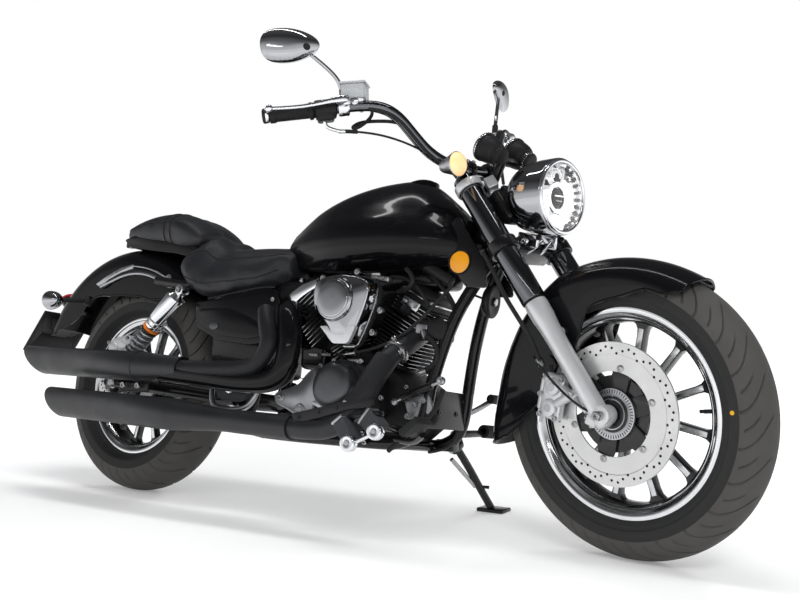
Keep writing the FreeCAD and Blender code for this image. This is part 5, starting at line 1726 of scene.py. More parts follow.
@dataclass(frozen=True)
class Fork:
    """The two fork legs with their covers, the clamps, the front caliper and its lines. Lengths in mm."""

    half: float = 99.0
    ahead: float = 61.0
    leg: float = 21.0
    cover: float = 27.5

    def build(self) -> None:
        """Makes all of them."""
        self.build_legs()
        self.build_clamps()
        self.build_caliper()
        self.build_lines()

    def build_legs(self) -> None:
        """Silver lower legs with axle lugs and smoked covers above them."""
        shaper = Shaper()
        for side in SIDES:
            place = facing(STEM_UP, on_stem(0, self.ahead, side * self.half))
            lower = (
                (0, -24), (11, -23), (17, -18), (19.5, -8), (self.leg, 12), (self.leg, 170), (22.2, 215), (25, 246),
                (25.4, 274), (24.4, 282), (20, 284),
            )
            shaper.lathe(place, lower, 0, 64, closed=False)
            shaper.lathe(place, ((20, 280), (23.6, 281), (24.2, 285), (23, 290), (20, 291)), 2, 64, closed=False)
            cover = (
                (22, 287), (26.4, 287), (self.cover, 289), (self.cover, 420), (self.cover, 629), (26.4, 631.5),
                (22, 632),
            )
            shaper.lathe(place, cover, 1, 72, closed=False)
            cap = ((22, 630), (22, 634), (19, 639), (12, 641), (11, 637), (0, 637))
            shaper.lathe(place, cap, 3, 48, closed=False)
            self.add_foot(shaper, side)
        shaper.rod(FRONT_AXLE + LEFTWARD * 126, FRONT_AXLE - LEFTWARD * 126, 9.5, ink=4)
        axle_end = ((6, 0), (6, 7), (8, 7.5), (10.5, 6.5), (11, 4), (11, 0))
        for side in SIDES:
            shaper.lathe(facing((0, side, 0), FRONT_AXLE + LEFTWARD * side * 125), axle_end, 4, 6, closed=False)
        set_down(
            "fork_legs", shaper, Body.STEERING, (FORK_SILVER, DARK_CHROME, RUBBER, CHROME, STEEL),
            ("fork",),
        )

    def add_foot(self, shaper: Shaper, side: int) -> None:
        """The axle lug at a leg's foot with its pinch bolts.

        Args:
            shaper: The shaper that holds the piece.
            side: 1 for the rider's left, -1 for the right.
        """
        y = side * self.half
        lug = FRONT_AXLE + LEFTWARD * y
        shaper.rod(lug - LEFTWARD * 17, lug + LEFTWARD * 17, 20, ink=0, steps=48, soft=2)
        pinch = FRONT_AXLE + Vector((-24, y, -12))
        shaper.box(pinch, (26, 30, 22), turned((0, 1, 0), 24), 4, 0)
        for reach in (-8, 8):
            shaper.bolt(pinch + Vector((-2, reach, -10)), (-0.3, 0, -1), 5, 4, 4)
            shaper.bolt(pinch + Vector((-12, reach, 6)), (-1, 0, 0.3), 4.6, 4, 4)

    def build_clamps(self) -> None:
        """The upper and lower fork clamps."""
        shaper = Shaper()
        turn = Matrix((STEM_AHEAD, LEFTWARD, STEM_UP)).transposed().to_4x4()
        for low, high, eye, depth, ink in ((419, 446, 35, 50, 1), (597, 617, 33, 46, 0)):
            middle = (low + high) / 2
            shaper.box(on_stem(middle, 46), (depth, 2 * self.half - 36, high - low), turn, 5, 1)
            shaper.rod(on_stem(low, 0), on_stem(high, 0), 26, ink=ink, soft=3)
            shaper.box(on_stem(middle, 16), (42, 52, high - low - 2), turn, 4, ink)
            for side in SIDES:
                place = facing(STEM_UP, on_stem(low, self.ahead, side * self.half))
                rise = high - low
                ring = ((27.9, 0), (eye, 0), (eye, rise), (27.9, rise), (27.9, 0))
                shaper.lathe(place, ring, ink, 64, 2)
                shaper.bolt(on_stem(middle, self.ahead - 30, side * (self.half - 4)), -STEM_AHEAD, 5, 5, 2)
        crown = facing(STEM_UP, on_stem(617, 0))
        shaper.lathe(crown, ((0, 13), (12, 12.5), (17, 9), (18, 2), (22, 1), (22, -2)), 2, 6, closed=False)
        shaper.box(on_stem(560, 98), (14, 70, 60), turn, 5, 1)
        shaper.box(on_stem(536, 84), (34, 132, 84), turn, 9, 1)
        shaper.box(on_stem(604, 84, -46), (26, 34, 30), turn @ turned((0, 0, 1), 45), 3, 0)
        set_down(
            "fork_yokes", shaper, Body.STEERING, (FORK_SILVER, FRAME_PAINT, CHROME), ("fork_clamps",)
        )

    def build_caliper(self) -> None:
        """The bright two-piston caliper astride the disc, and its hanger."""
        shaper = Shaper()
        place = Matrix.Translation(FRONT_AXLE) @ turned((0, 1, 0), -166)

        def spot(out: float, y: float, up: float) -> Vector:
            """A point by its distance out from the axle, its Y, and its distance along the disc's edge."""
            return place @ Vector((out, y, up))

        spin = turned((0, 1, 0), -166)
        shaper.box(spot(132, -90, 0), (52, 22, 96), spin, 6, 0)
        shaper.box(spot(134, -49, 0), (46, 20, 88), spin, 5, 0)
        shaper.box(spot(160, -70, 0), (14, 56, 70), spin, 5, 0)
        for up in (-23, 23):
            piston = ((0, 10), (13, 10), (17, 8), (18.5, 4), (20, 0), (20, -4))
            shaper.lathe(facing((0, -1, 0), spot(130, -100, up)), piston, 0, 40, closed=False)
            shaper.lathe(facing((0, -1, 0), spot(130, -110.5, up)), ((0, 1.5), (8, 1), (9, -1)), 1, 32, closed=False)
        for out, up in ((112, 42), (152, 42), (112, -42), (152, -42), (158, 0)):
            shaper.bolt(spot(out, -101, up), (0, -1, 0), 5.5, 6, 1)
        for up in (-30, 30):
            shaper.rod(spot(158, -44, up), spot(158, -96, up), 5, ink=1)
            shaper.nut(spot(166, -70, up), place.to_3x3() @ Vector((1, 0, 0)), 6, 5, 1)
        shaper.rod(spot(150, -96, 34), spot(150, -96, 60), 4, 3, 1)
        shaper.rod(spot(152, -84, -46), spot(156, -84, -62), 4.5, 4, 2)
        hanger = on_stem(70, 45, -self.half)
        shaper.rod(spot(140, -92, 30), hanger + Vector((0, -6, 0)), 10, 9, 0, soft=1)
        shaper.rod(spot(124, -92, -30), on_stem(24, 44, -self.half) + Vector((0, -4, 0)), 9, 8, 0, soft=1)
        shaper.bolt(on_stem(70, 36, -self.half - 18), (0, -1, 0), 6.5, 5, 1)
        set_down(
            "front_caliper_body", shaper, Body.STEERING, (FORK_SILVER, SATIN, RUBBER), ("front_caliper",)
        )

    def build_lines(self) -> None:
        """The brake hose and the thin speed-sensor lead."""
        shaper = Shaper()
        route = (
            (1352, -104, 400), (1338, -112, 450), (1310, -124, 500), (1278, -132, 552), (1248, -128, 604),
            (1213, -121, 650),
        )
        shaper.tube(route, 5, 0)
        lead = (
            (1330, -100, 418), (1352, -112, 400), (1386, -120, 372), (1420, -122, 344), (1452, -121, 322),
            (1478, -118, 308), (1487, -100, 304),
        )
        shaper.tube(lead, 2.6, 0, 3)
        shaper.rod((1470, -112, 314), (1492, -104, 301), 7, ink=1, soft=1)
        shaper.rod((1344, -102, 414), (1354, -104, 396), 8, ink=1, soft=1)
        set_down("front_brake_lines", shaper, Body.STEERING, (RUBBER, STEEL), ("brake_hose",))


@dataclass(frozen=True)
class Headlamp:
    """The round headlamp: black bucket, chrome rim, clear lens and what is behind it."""

    face: Vector = Vector((1342, 0, 769))
    tilt: float = 3.0
    radius: float = 86.0

    def place(self) -> Matrix:
        """The place whose Z runs forward out of the lens and whose Y points up."""
        ahead = turned((0, 1, 0), self.tilt) @ Vector((1, 0, 0))
        return facing(ahead, self.face)

    def build(self) -> None:
        """Makes the bucket, the lens and the bracket."""
        self.build_bucket()
        self.build_lens()

    def build_bucket(self) -> None:
        """Bucket, rim, reflector and lamp units."""
        shaper = Shaper()
        place = self.place()
        radius = self.radius
        bucket = (
            (radius - 3, 2), (radius - 0.5, 1), (radius + 0.5, -4), (radius, -26), (radius - 1, -46), (radius - 5, -72),
            (radius - 15, -97), (radius - 33, -114), (28, -121), (0, -123),
        )
        rows = [along(bucket, step / 60) for step in range(61)]
        shaper.lathe(place, rows, 8, 96, closed=False)
        rim = ((83.5, 1.5), (83, 5), (81, 7), (78, 7.2), (75.5, 5.5), (74.5, 2), (74.5, -3))
        shaper.lathe(place, [along(rim, step / 24) for step in range(25)], 1, 96, closed=False)
        bowl = ((75, -2), (72, -12), (63, -24), (50, -32), (34, -36), (0, -37))
        shaper.lathe(place, [along(bowl, step / 30) for step in range(31)], 2, 96, closed=False)
        self.add_units(shaper, place)
        lower = on_stem(520, 98)
        shaper.box(lower + Vector((22, 0, 10)), (86, 54, 18), turned((0, 1, 0), -40), 5, 5)
        for side in SIDES:
            shaper.box(self.face + Vector((-70, side * 34, -92)), (58, 7, 30), turned((0, 1, 0), 14), 3, 1)
            shaper.bolt(self.face + Vector((-78, side * 37.5, -94)), (0, side, 0), 9, 5, 1)
            shaper.bolt(self.face + Vector((-34, side * 40, -90)), (0, side, 0), 7, 5, 5)
            shaper.tube(
                ((1262, side * 34, 690), (1240, side * 52, 672), (1214, side * 58, 668), (1190, side * 52, 690)), 5,
                6, 3,
            )
            shaper.tube(
                ((1300, side * 18, 676), (1272, side * 22, 652), (1240, side * 30, 646), (1204, side * 34, 664)), 4,
                1, 3,
            )
        set_down(
            "headlamp_shell", shaper, Body.STEERING,
            (PAINT, CHROME, REFLECTOR, LIT_WHITE, DIAL, FRAME_PAINT, RUBBER, GLASS, SHADED_CHROME), ("headlight",),
        )

    def add_units(self, shaper: Shaper, place: Matrix) -> None:
        """The main lamp with its ring, the upper lamp, the bright side wings and the lower block.

        Args:
            shaper: The shaper that holds the piece.
            place: The place of the lamp's face.
        """

        def at(x: float, y: float, z: float) -> Vector:
            """A point by its distance to the right of the face, up it, and out of it."""
            return place @ Vector((x, y, z))

        turn = place.to_3x3().to_4x4()
        main = Matrix.Translation(at(0, -2, -30)) @ turn
        shaper.lathe(main, ((24, 8), (25, 17), (29, 20), (34, 20), (37, 17), (38, 6)), 1, 72, closed=False)
        shaper.lathe(main, ((26.5, 19.6), (28, 20.6), (33, 20.6), (34.5, 19.6)), 3, 72, closed=False)
        shaper.lathe(main, ((0, 12), (24, 12)), 4, 48, closed=False)
        shaper.ball(at(0, -2, -18), (22, 22, 10), turn, 4, 40)
        shaper.box(at(0, 2, -7.5), (30, 2.6, 2), turn, 0.8, 3)
        shaper.box(at(0, -9, -7.8), (20, 1.6, 2), turn, 0.6, 2)
        upper = Matrix.Translation(at(0, 45, -24)) @ turn
        shaper.lathe(upper, ((13, 0), (14, 10), (17, 12), (20, 10), (21, 0)), 2, 48, closed=False)
        shaper.ball(at(0, 45, -20), (13, 13, 8), turn, 4, 32)
        for side in SIDES:
            wing = (
                (side * 18, 58), (side * 42, 47), (side * 58, 26), (side * 63, 2), (side * 58, -22), (side * 44, -38),
                (side * 36, -26), (side * 43, -4), (side * 40, 16), (side * 26, 30),
            )
            shaper.plate(wing, -4, 0, Matrix.Translation(at(0, 0, -16)) @ turn @ turned((1, 0, 0), 90), 3, 1, 3)
            for step in range(11):
                angle = math.radians(-62 + 12.4 * step)
                x, y = side * 69 * math.cos(angle), 69 * math.sin(angle)
                shaper.box(at(x, y, -10), (5, 6, 9), turn @ turned((0, 0, 1), math.degrees(math.atan2(y, x))), 1, 4)
        block = ((-24, -42), (24, -42), (17, -64), (-17, -64))
        shaper.plate(block, -6, 0, Matrix.Translation(at(0, 0, -14)) @ turn @ turned((1, 0, 0), 90), 2, 1, 2)

    def build_lens(self) -> None:
        """The clear domed lens."""
        shaper = Shaper()
        outer = ((75.2, 2), (70, 6), (55, 10.5), (34, 14), (0, 16))
        inner = ((0, 13), (34, 11), (55, 7.5), (70, 3), (75.2, -1), (75.2, 2))
        rows = [along(outer, step / 20) for step in range(21)] + [along(inner[:-1], step / 20) for step in range(21)]
        shaper.lathe(self.place(), rows + [rows[0]], 0, 96)
        set_down("headlamp_lens", shaper, Body.STEERING, (GLASS,), ("headlight",))


@dataclass(frozen=True)
class Cockpit:
    """Handlebar, grips, levers, mirrors, gauges and front signals. Lengths in mm."""

    path: tuple[Point, ...] = (
        (839, 415, 984), (885, 355, 993), (935, 291, 1003), (972, 243, 1009), (1000, 212, 1003), (1019, 184, 982),
        (1032, 150, 942), (1044, 120, 908), (1062, 92, 884), (1084, 66, 869), (1100, 42, 863), (1103, 18, 862),
    )
    tip: Point = (823, 435, 981)
    bend: Point = (965, 252, 1008)

    def line(self, side: int) -> tuple[Vector, Vector]:
        """A grip's outer end and its direction towards the middle.

        Args:
            side: 1 for the rider's left, -1 for the right.

        Returns:
            The end and the direction.
        """
        tip = Vector((self.tip[0], side * self.tip[1], self.tip[2]))
        bend = Vector((self.bend[0], side * self.bend[1], self.bend[2]))
        return tip, (bend - tip).normalized()

    def build(self) -> None:
        """Makes all of them."""
        self.build_bar()
        self.build_grips()
        self.build_controls()
        self.build_mirrors()
        self.build_gauges()
        self.build_signals()

    def build_bar(self) -> None:
        """The bent bar on its risers, with the lines that run along it."""
        shaper = Shaper()
        left = list(self.path)
        right = [(x, -y, z) for x, y, z in reversed(left)]
        shaper.tube(left + right, 12.7, 0, 8, loops=14)
        for side in SIDES:
            foot, head = on_stem(617.2, 12, side * 42), Vector((1100, side * 42, 862))
            shaper.rod(foot, head, 15, 14, 1, soft=1.5)
            shaper.rod(head - LEFTWARD * 17, head + LEFTWARD * 17, 22, ink=1, soft=3)
            for reach in (-10, 10):
                shaper.bolt(head + Vector((14, reach, 16)), (0.6, 0, 0.8), 4.5, 4, 2)
        for offset, radius in (((10, -4, -12), 4.2), ((-13, 2, -6), 3.4)):
            run = [(x + offset[0], -y + offset[1], z + offset[2]) for x, y, z in self.path[3:]]
            shaper.tube(run + [(1120, -60, 830), (1160, -70, 770)], radius, 3, 3)
        set_down(
            "bent_handlebar", shaper, Body.STEERING, (DARK_CHROME, FRAME_PAINT, STEEL, RUBBER),
            ("handlebar",),
        )

    def build_grips(self) -> None:
        """The ribbed grips with their end weights."""
        shaper = Shaper()
        for side in SIDES:
            tip, line = self.line(side)
            place = facing(line, tip + line * 32)
            rows = [(17.4, -15), (18.6, -13), (18.6, -3), (17, 0)]
            for step in range(15):
                z = 4 + step * 4.7
                rows += [(16.1, z), (16.7, z + 1.2), (16.7, z + 3.2), (16.1, z + 4.2)]
            rows += [(16.4, 76), (20.5, 78), (20.5, 84), (17.4, 87), (16.4, 90), (13, 90)]
            shaper.lathe(place, rows, 0, 48, closed=False)
            weight = ((0, -33), (11, -32.5), (15.5, -31), (17.4, -28), (17.6, -22), (16, -16), (13, -15))
            shaper.lathe(place, weight, 1, 48, closed=False)
            shaper.lathe(place, ((17.6, -25), (18, -24), (18, -19), (17.4, -18)), 2, 48, closed=False)
        set_down("ribbed_grips", shaper, Body.STEERING, (RUBBER, TRIM_BLACK, CHROME), ("grips",))

    def build_controls(self) -> None:
        """Switch housings, perches, levers, the brake reservoir and the throttle cable."""
        shaper = Shaper()
        for side in SIDES:
            tip, line = self.line(side)
            turn = facing(line)
            place = facing(line, tip + line * 122)
            housing = ((13, 0), (22, 1), (23.5, 5), (23.5, 44), (22, 48), (16, 50), (13, 52))
            shaper.lathe(place, housing, 0, 40, closed=False)
            shaper.box(tip + line * 146 + Vector((2, 0, -14)), (38, 30, 40), turn, 6, 0)
            shaper.rod(tip + line * 146 + Vector((-24, 0, 2)), tip + line * 146 + Vector((-31, 0, 2)), 6, ink=0)
            shaper.box(tip + line * 138 + Vector((-22, 0, 12)), (8, 14, 8), turn, 2, 3 if side > 0 else 0)
            shaper.lathe(
                facing(line, tip + line * 176), ((13, 0), (20, 1), (21, 5), (21, 22), (19, 26), (13, 27)), 1, 40,
                closed=False,
            )
            pivot = tip + line * 176 + Vector((32, 0, 10))
            shaper.rod(tip + line * 184 + Vector((8, 0, 4)), pivot, 11, 9, 1, soft=1)
            shaper.rod(pivot - Vector((0, 0, 9)), pivot + Vector((0, 0, 9)), 9, ink=1, soft=1)
            shaper.bolt(pivot + Vector((0, 0, 9)), (0, 0, 1), 5, 4, 2)
            self.add_lever(shaper, side)
        self.add_reservoir(shaper)
        tip, line = self.line(-1)
        start = tip + line * 140 + Vector((6, 0, -22))
        elbow = (start, start + Vector((0, 2, -14)), start + Vector((8, 10, -24)), start + Vector((22, 28, -29)))
        shaper.tube(elbow, 4.2, 1, 3)
        ferrule = start + Vector((30, 38, -29))
        shaper.rod(start + Vector((20, 26, -29)), ferrule, 5, ink=1)
        shaper.rod(ferrule, start + Vector((46, 62, -30)), 4.6, ink=0)
        run = (
            ferrule, start + Vector((60, 80, -30)), (1006, -176, 932), (1044, -120, 902), (1088, -92, 862),
            (1108, -86, 834),
        )
        shaper.tube(run, 2.6, 0, 3)
        left_tip, left_line = self.line(1)
        begin = left_tip + left_line * 188 + Vector((30, 0, 6))
        shaper.tube(
            (begin, begin + Vector((26, -30, 4)), (1020, 196, 1010), (1060, 130, 930), (1108, 86, 840)),
            4, 0, 3,
        )
        set_down(
            "hand_levers", shaper, Body.STEERING,
            (TRIM_BLACK, CHROME, STEEL, RED_PLASTIC, RESERVOIR, RUBBER), ("hand_controls",),
        )

    def add_lever(self, shaper: Shaper, side: int) -> None:
        """A broad chrome lever that ends in a ball.

        Args:
            shaper: The shaper that holds the piece.
            side: 1 for the rider's left, -1 for the right.
        """
        tip, line = self.line(side)
        rows = (
            # distance along the grip, distance ahead, height, half width, half thickness
            (178, 32, 12, 9, 6.5), (160, 44, 15, 9.5, 5.5), (130, 52, 13, 6.5, 4.6), (95, 52, 9, 5, 4.4),
            (60, 50, 7, 4.4, 4.4), (25, 48, 8, 4.2, 4.4), (-8, 48, 10, 4, 4.4),
        )

        def surface(u: float, v: float) -> Point:
            """The lever's point at a share along and a share round.

            Args:
                u: Share along, from 0 to 1.
                v: Share round, from 0 to 1.

            Returns:
                The point.
            """
            reach, ahead, rise, wide, thick = along(rows, u)
            angle = TAU * v
            centre = tip + line * reach + Vector((ahead, 0, rise))
            out = Vector((1, 0, 0)) * math.cos(angle) * thick + Vector((0, 0, 1)) * math.sin(angle) * wide
            return centre + out

        shaper.skin(40, 24, surface, 1)
        shaper.ball(tip - line * 12 + Vector((48, 0, 10)), (9, 9, 9), None, 1, 28)

    def add_reservoir(self, shaper: Shaper) -> None:
        """The front brake's master cylinder and its square reservoir.

        Args:
            shaper: The shaper that holds the piece.
        """
        turn = turned((0, 0, 1), 36)
        spot = Vector((949, -260, 1041))
        shaper.box(spot + Vector((0, 0, -2)), (58, 54, 36), turn, 5, 4)
        shaper.box(spot + Vector((0, 0, 18)), (63, 59, 6), turn, 2.5, 4)
        shaper.box(spot + Vector((0, 0, -21)), (50, 40, 12), turn, 4, 1)
        forward = turn @ Vector((0, 1, 0))
        shaper.rod(
            spot + Vector((6, 0, -26)) - forward * 22, spot + Vector((6, 0, -26)) + forward * 52, 9, 8, 1, soft=1
        )
        for x in (-20, 20):
            for y in (-18, 18):
                shaper.bolt(spot + turn @ Vector((x, y, 20.6)), (0, 0, 1), 3.4, 2, 2)
        banjo = spot + Vector((6, 0, -26)) + forward * 54
        shaper.nut(banjo, forward, 7, 6, 2)
        loop = (
            banjo, banjo + Vector((18, 16, 4)), banjo + Vector((30, 8, -24)), banjo + Vector((4, -18, -52)),
            banjo + Vector((-16, -22, -46)), banjo + Vector((4, 0, -30)), (1026, -168, 972), (1044, -120, 912),
            (1080, -90, 868), (1106, -82, 842),
        )
        shaper.tube(loop, 4.2, 5, 3)

    def build_mirrors(self) -> None:
        """Egg-shaped chrome mirrors on slim stems."""
        shaper = Shaper()
        for side in SIDES:
            foot = Vector((927, side * 277, 1036))
            rise = 14 * (side > 0)
            stem = (
                foot, (926, side * 281, 1052), (921, side * 292, 1078), (903, side * 322, 1110 + rise),
                (884, side * 350, 1136 + rise),
            )
            shaper.tube(stem, 5, 1, 4, radii=(1.15, 1.1, 1, 1, 0.9))
            shaper.rod(foot - Vector((0, 0, 8)), foot + Vector((0, side * 2, 14)), 9, 8, 2, soft=1)
            shaper.rod(foot - Vector((0, 0, 12)), foot - Vector((0, 0, 6)), 10, ink=1, steps=6, soft=0.6)
            self.add_mirror_head(shaper, side)
        set_down(
            "egg_mirrors", shaper, Body.STEERING, (PAINT, SHADED_CHROME, RUBBER, MIRROR), ("mirrors",)
        )

    def add_mirror_head(self, shaper: Shaper, side: int) -> None:
        """One mirror: a chrome shell whose outline is an egg, and the glass on its rear face.

        Args:
            shaper: The shaper that holds the piece.
            side: 1 for the rider's left, -1 for the right.
        """
        raised = side > 0
        spot = Vector((872 - 6 * raised, side * 388 - 6 * raised, 1146 + 22 * raised))
        place = Matrix.Translation(spot) @ turned((0, 0, 1), side * 27) @ turned((1, 0, 0), side * -6)

        def egg(angle: float, grow: float) -> tuple[float, float]:
            """A point of the outline: Y outwards and Z.

            Args:
                angle: Angle round the outline, in radians.
                grow: Its size as a share of the full outline.

            Returns:
                Y and Z.
            """
            wide, tall = math.cos(angle), math.sin(angle)
            blunt = 0.16 * max(0.0, wide)
            wide = math.copysign(abs(wide) ** (1 - 1.6 * blunt), wide)
            tall = math.copysign(abs(tall) ** (1 - blunt), tall) * (1.0 + 0.2 * wide)
            return side * 70 * wide * grow, 40 * tall * grow

        def shell(u: float, v: float) -> Point:
            """The shell's point, from the front pole to the rim.

            Args:
                u: Share from the pole to the rim.
                v: Share round, from 0 to 1.

            Returns:
                The point.
            """
            bow = u * math.pi / 2
            grow = math.sin(bow) ** 0.86
            y, z = egg(TAU * v, grow)
            return 23 * math.cos(bow) ** 0.9 - 4, y, z

        def rim(u: float, v: float) -> Point:
            """The rim's point, round the glass."""
            y, z = egg(TAU * v, 1.0 - 0.06 * u)
            return -4 - 5 * math.sin(u * math.pi * 0.8), y, z

        def glass(u: float, v: float) -> Point:
            """The glass's point."""
            y, z = egg(TAU * v, 0.945 * u)
            return -6.2, y, z

        shaper.skin(24, 72, shell, 1, place)
        shaper.skin(8, 72, rim, 1, place, closed=False)
        shaper.skin(6, 72, glass, 3, place, closed=False)
        joint = place @ Vector((8, -side * 34, -8))
        shaper.ball(joint, (11, 13, 11), None, 2, 24)

    def build_gauges(self) -> None:
        """Two round gauges with dials."""
        shaper = Shaper()
        ahead = Vector((50, 0, -32)).normalized()
        for side, radius in ((-1, 34.0), (1, 36.0)):
            rear = Vector((1164, side * 52, 906))
            place = facing(ahead, rear)
            body = (
                (radius - 3, 0), (radius, 1.5), (radius + 0.4, 9), (radius - 1.6, 10.5), (radius - 1.8, 18),
                (radius - 4, 34), (radius - 9, 46), (radius - 14, 49), (radius - 15, 54),
            )
            shaper.lathe(place, [along(body, step / 48) for step in range(49)], 0, 72, closed=False)
            tail = ((radius - 15, 52), (radius - 13.6, 53), (radius - 14, 62), (radius - 18, 67), (0, 68.5))
            shaper.lathe(place, [along(tail, step / 24) for step in range(25)], 0, 72, closed=False)
            for angle in around(24):
                rib = place @ turned((0, 0, 1), angle) @ Vector((radius - 14, 0, 58))
                shaper.box(
                    rib, (2, 2, 9), place.to_3x3().to_4x4() @ turned((0, 0, 1), angle), 0.4, 1 if side > 0 else 0
                )
            band = ((radius + 0.2, 3), (radius + 0.8, 4), (radius + 0.8, 7), (radius + 0.2, 8))
            shaper.lathe(place, band, 1, 72, closed=False)
            shaper.lathe(
                place, ((radius - 3, 0), (radius - 4.5, -1), (radius - 6, 0), (radius - 6, 4)), 1, 72, closed=False
            )
            shaper.lathe(place, ((0, 3.6), (radius - 6, 3.6)), 2, 72, closed=False)
            for angle in around(36):
                spot = place @ turned((0, 0, 1), angle) @ Vector((radius + 0.2, 0, 5))
                shaper.box(spot, (1.6, 1.6, 7), place.to_3x3().to_4x4() @ turned((0, 0, 1), angle), 0.3, 0)
            self.add_dial(shaper, place, radius)
        shaper.box((1190, 0, 880), (30, 60, 10), turned((0, 1, 0), 28), 3, 3)
        shaper.rod((1180, 0, 880), on_stem(617.3, 30), 11, ink=3, soft=1)
        set_down(
            "round_gauges", shaper, Body.STEERING,
            (TRIM_BLACK, CHROME, DIAL, FRAME_PAINT, WHITE_INK, RED_PLASTIC, GLASS), ("gauges",),
        )

    def add_dial(self, shaper: Shaper, place: Matrix, radius: float) -> None:
        """A gauge's marks and its needle.

        Args:
            shaper: The shaper that holds the piece.
            place: The dial's place.
            radius: The dial's radius.
        """
        turn = place.to_3x3().to_4x4()
        reach = radius - 10
        for number, angle in enumerate(range(-220, 41, 13)):
            long_mark = number % 2 == 0
            mark = place @ turned((0, 0, 1), angle) @ Vector((reach, 0, 3.2))
            size = (6 if long_mark else 3, 1.2 if long_mark else 0.7, 0.4)
            shaper.box(mark, size, turn @ turned((0, 0, 1), angle), 0.05, 4)
        needle = place @ turned((0, 0, 1), -196) @ Vector((reach * 0.42, 0, 2.4))
        shaper.box(needle, (reach * 0.9, 1.3, 0.6), turn @ turned((0, 0, 1), -196), 0.1, 5)
        shaper.lathe(place, ((0, 1.2), (4.6, 1.4), (5, 3.4)), 0, 24, closed=False)

    def build_signals(self) -> None:
        """Round front signals on chrome stalks, their lamps lit."""
        shaper = Shaper()
        for side in SIDES:
            lens = Vector((1180, side * 162, 848))
            place = facing((1, 0, 0), lens)
            can = ((0, -50), (8, -49), (13, -44), (17, -34), (22, -18), (27, -5), (28.5, 0), (27.5, 1.5), (26.5, 0))
            shaper.lathe(place, [along(can, step / 32) for step in range(33)], 1, 64, closed=False)
            dome = ((26.8, 0), (25.5, 5), (21, 9.5), (13, 12.5), (0, 13.5))
            shaper.lathe(place, [along(dome, step / 20) for step in range(21)], 0, 64, closed=False)
            inner = lens - Vector((22, side * 24, 0))
            collar = [(9, 0)]
            for step in range(4):
                collar += [(14.5, 1 + step * 5), (14.5, 3.6 + step * 5), (12.4, 4.4 + step * 5), (12.4, 5.6 + step * 5)]
            shaper.lathe(facing((0, -side, 0), inner), collar + [(8, 22)], 2, 40, closed=False)
            shaper.rod(inner, Vector((1152, side * 92, 838)), 8, ink=1, soft=0.5)
        set_down(
            "front_round_signals", shaper, Body.STEERING, (LIT_AMBER, SATIN, RUBBER),
            ("front_signals",),
        )


# ---- engine and exhaust -----------------------------------------------------------------------------------

CRANK = Vector((850.0, 0.0, 310.0))


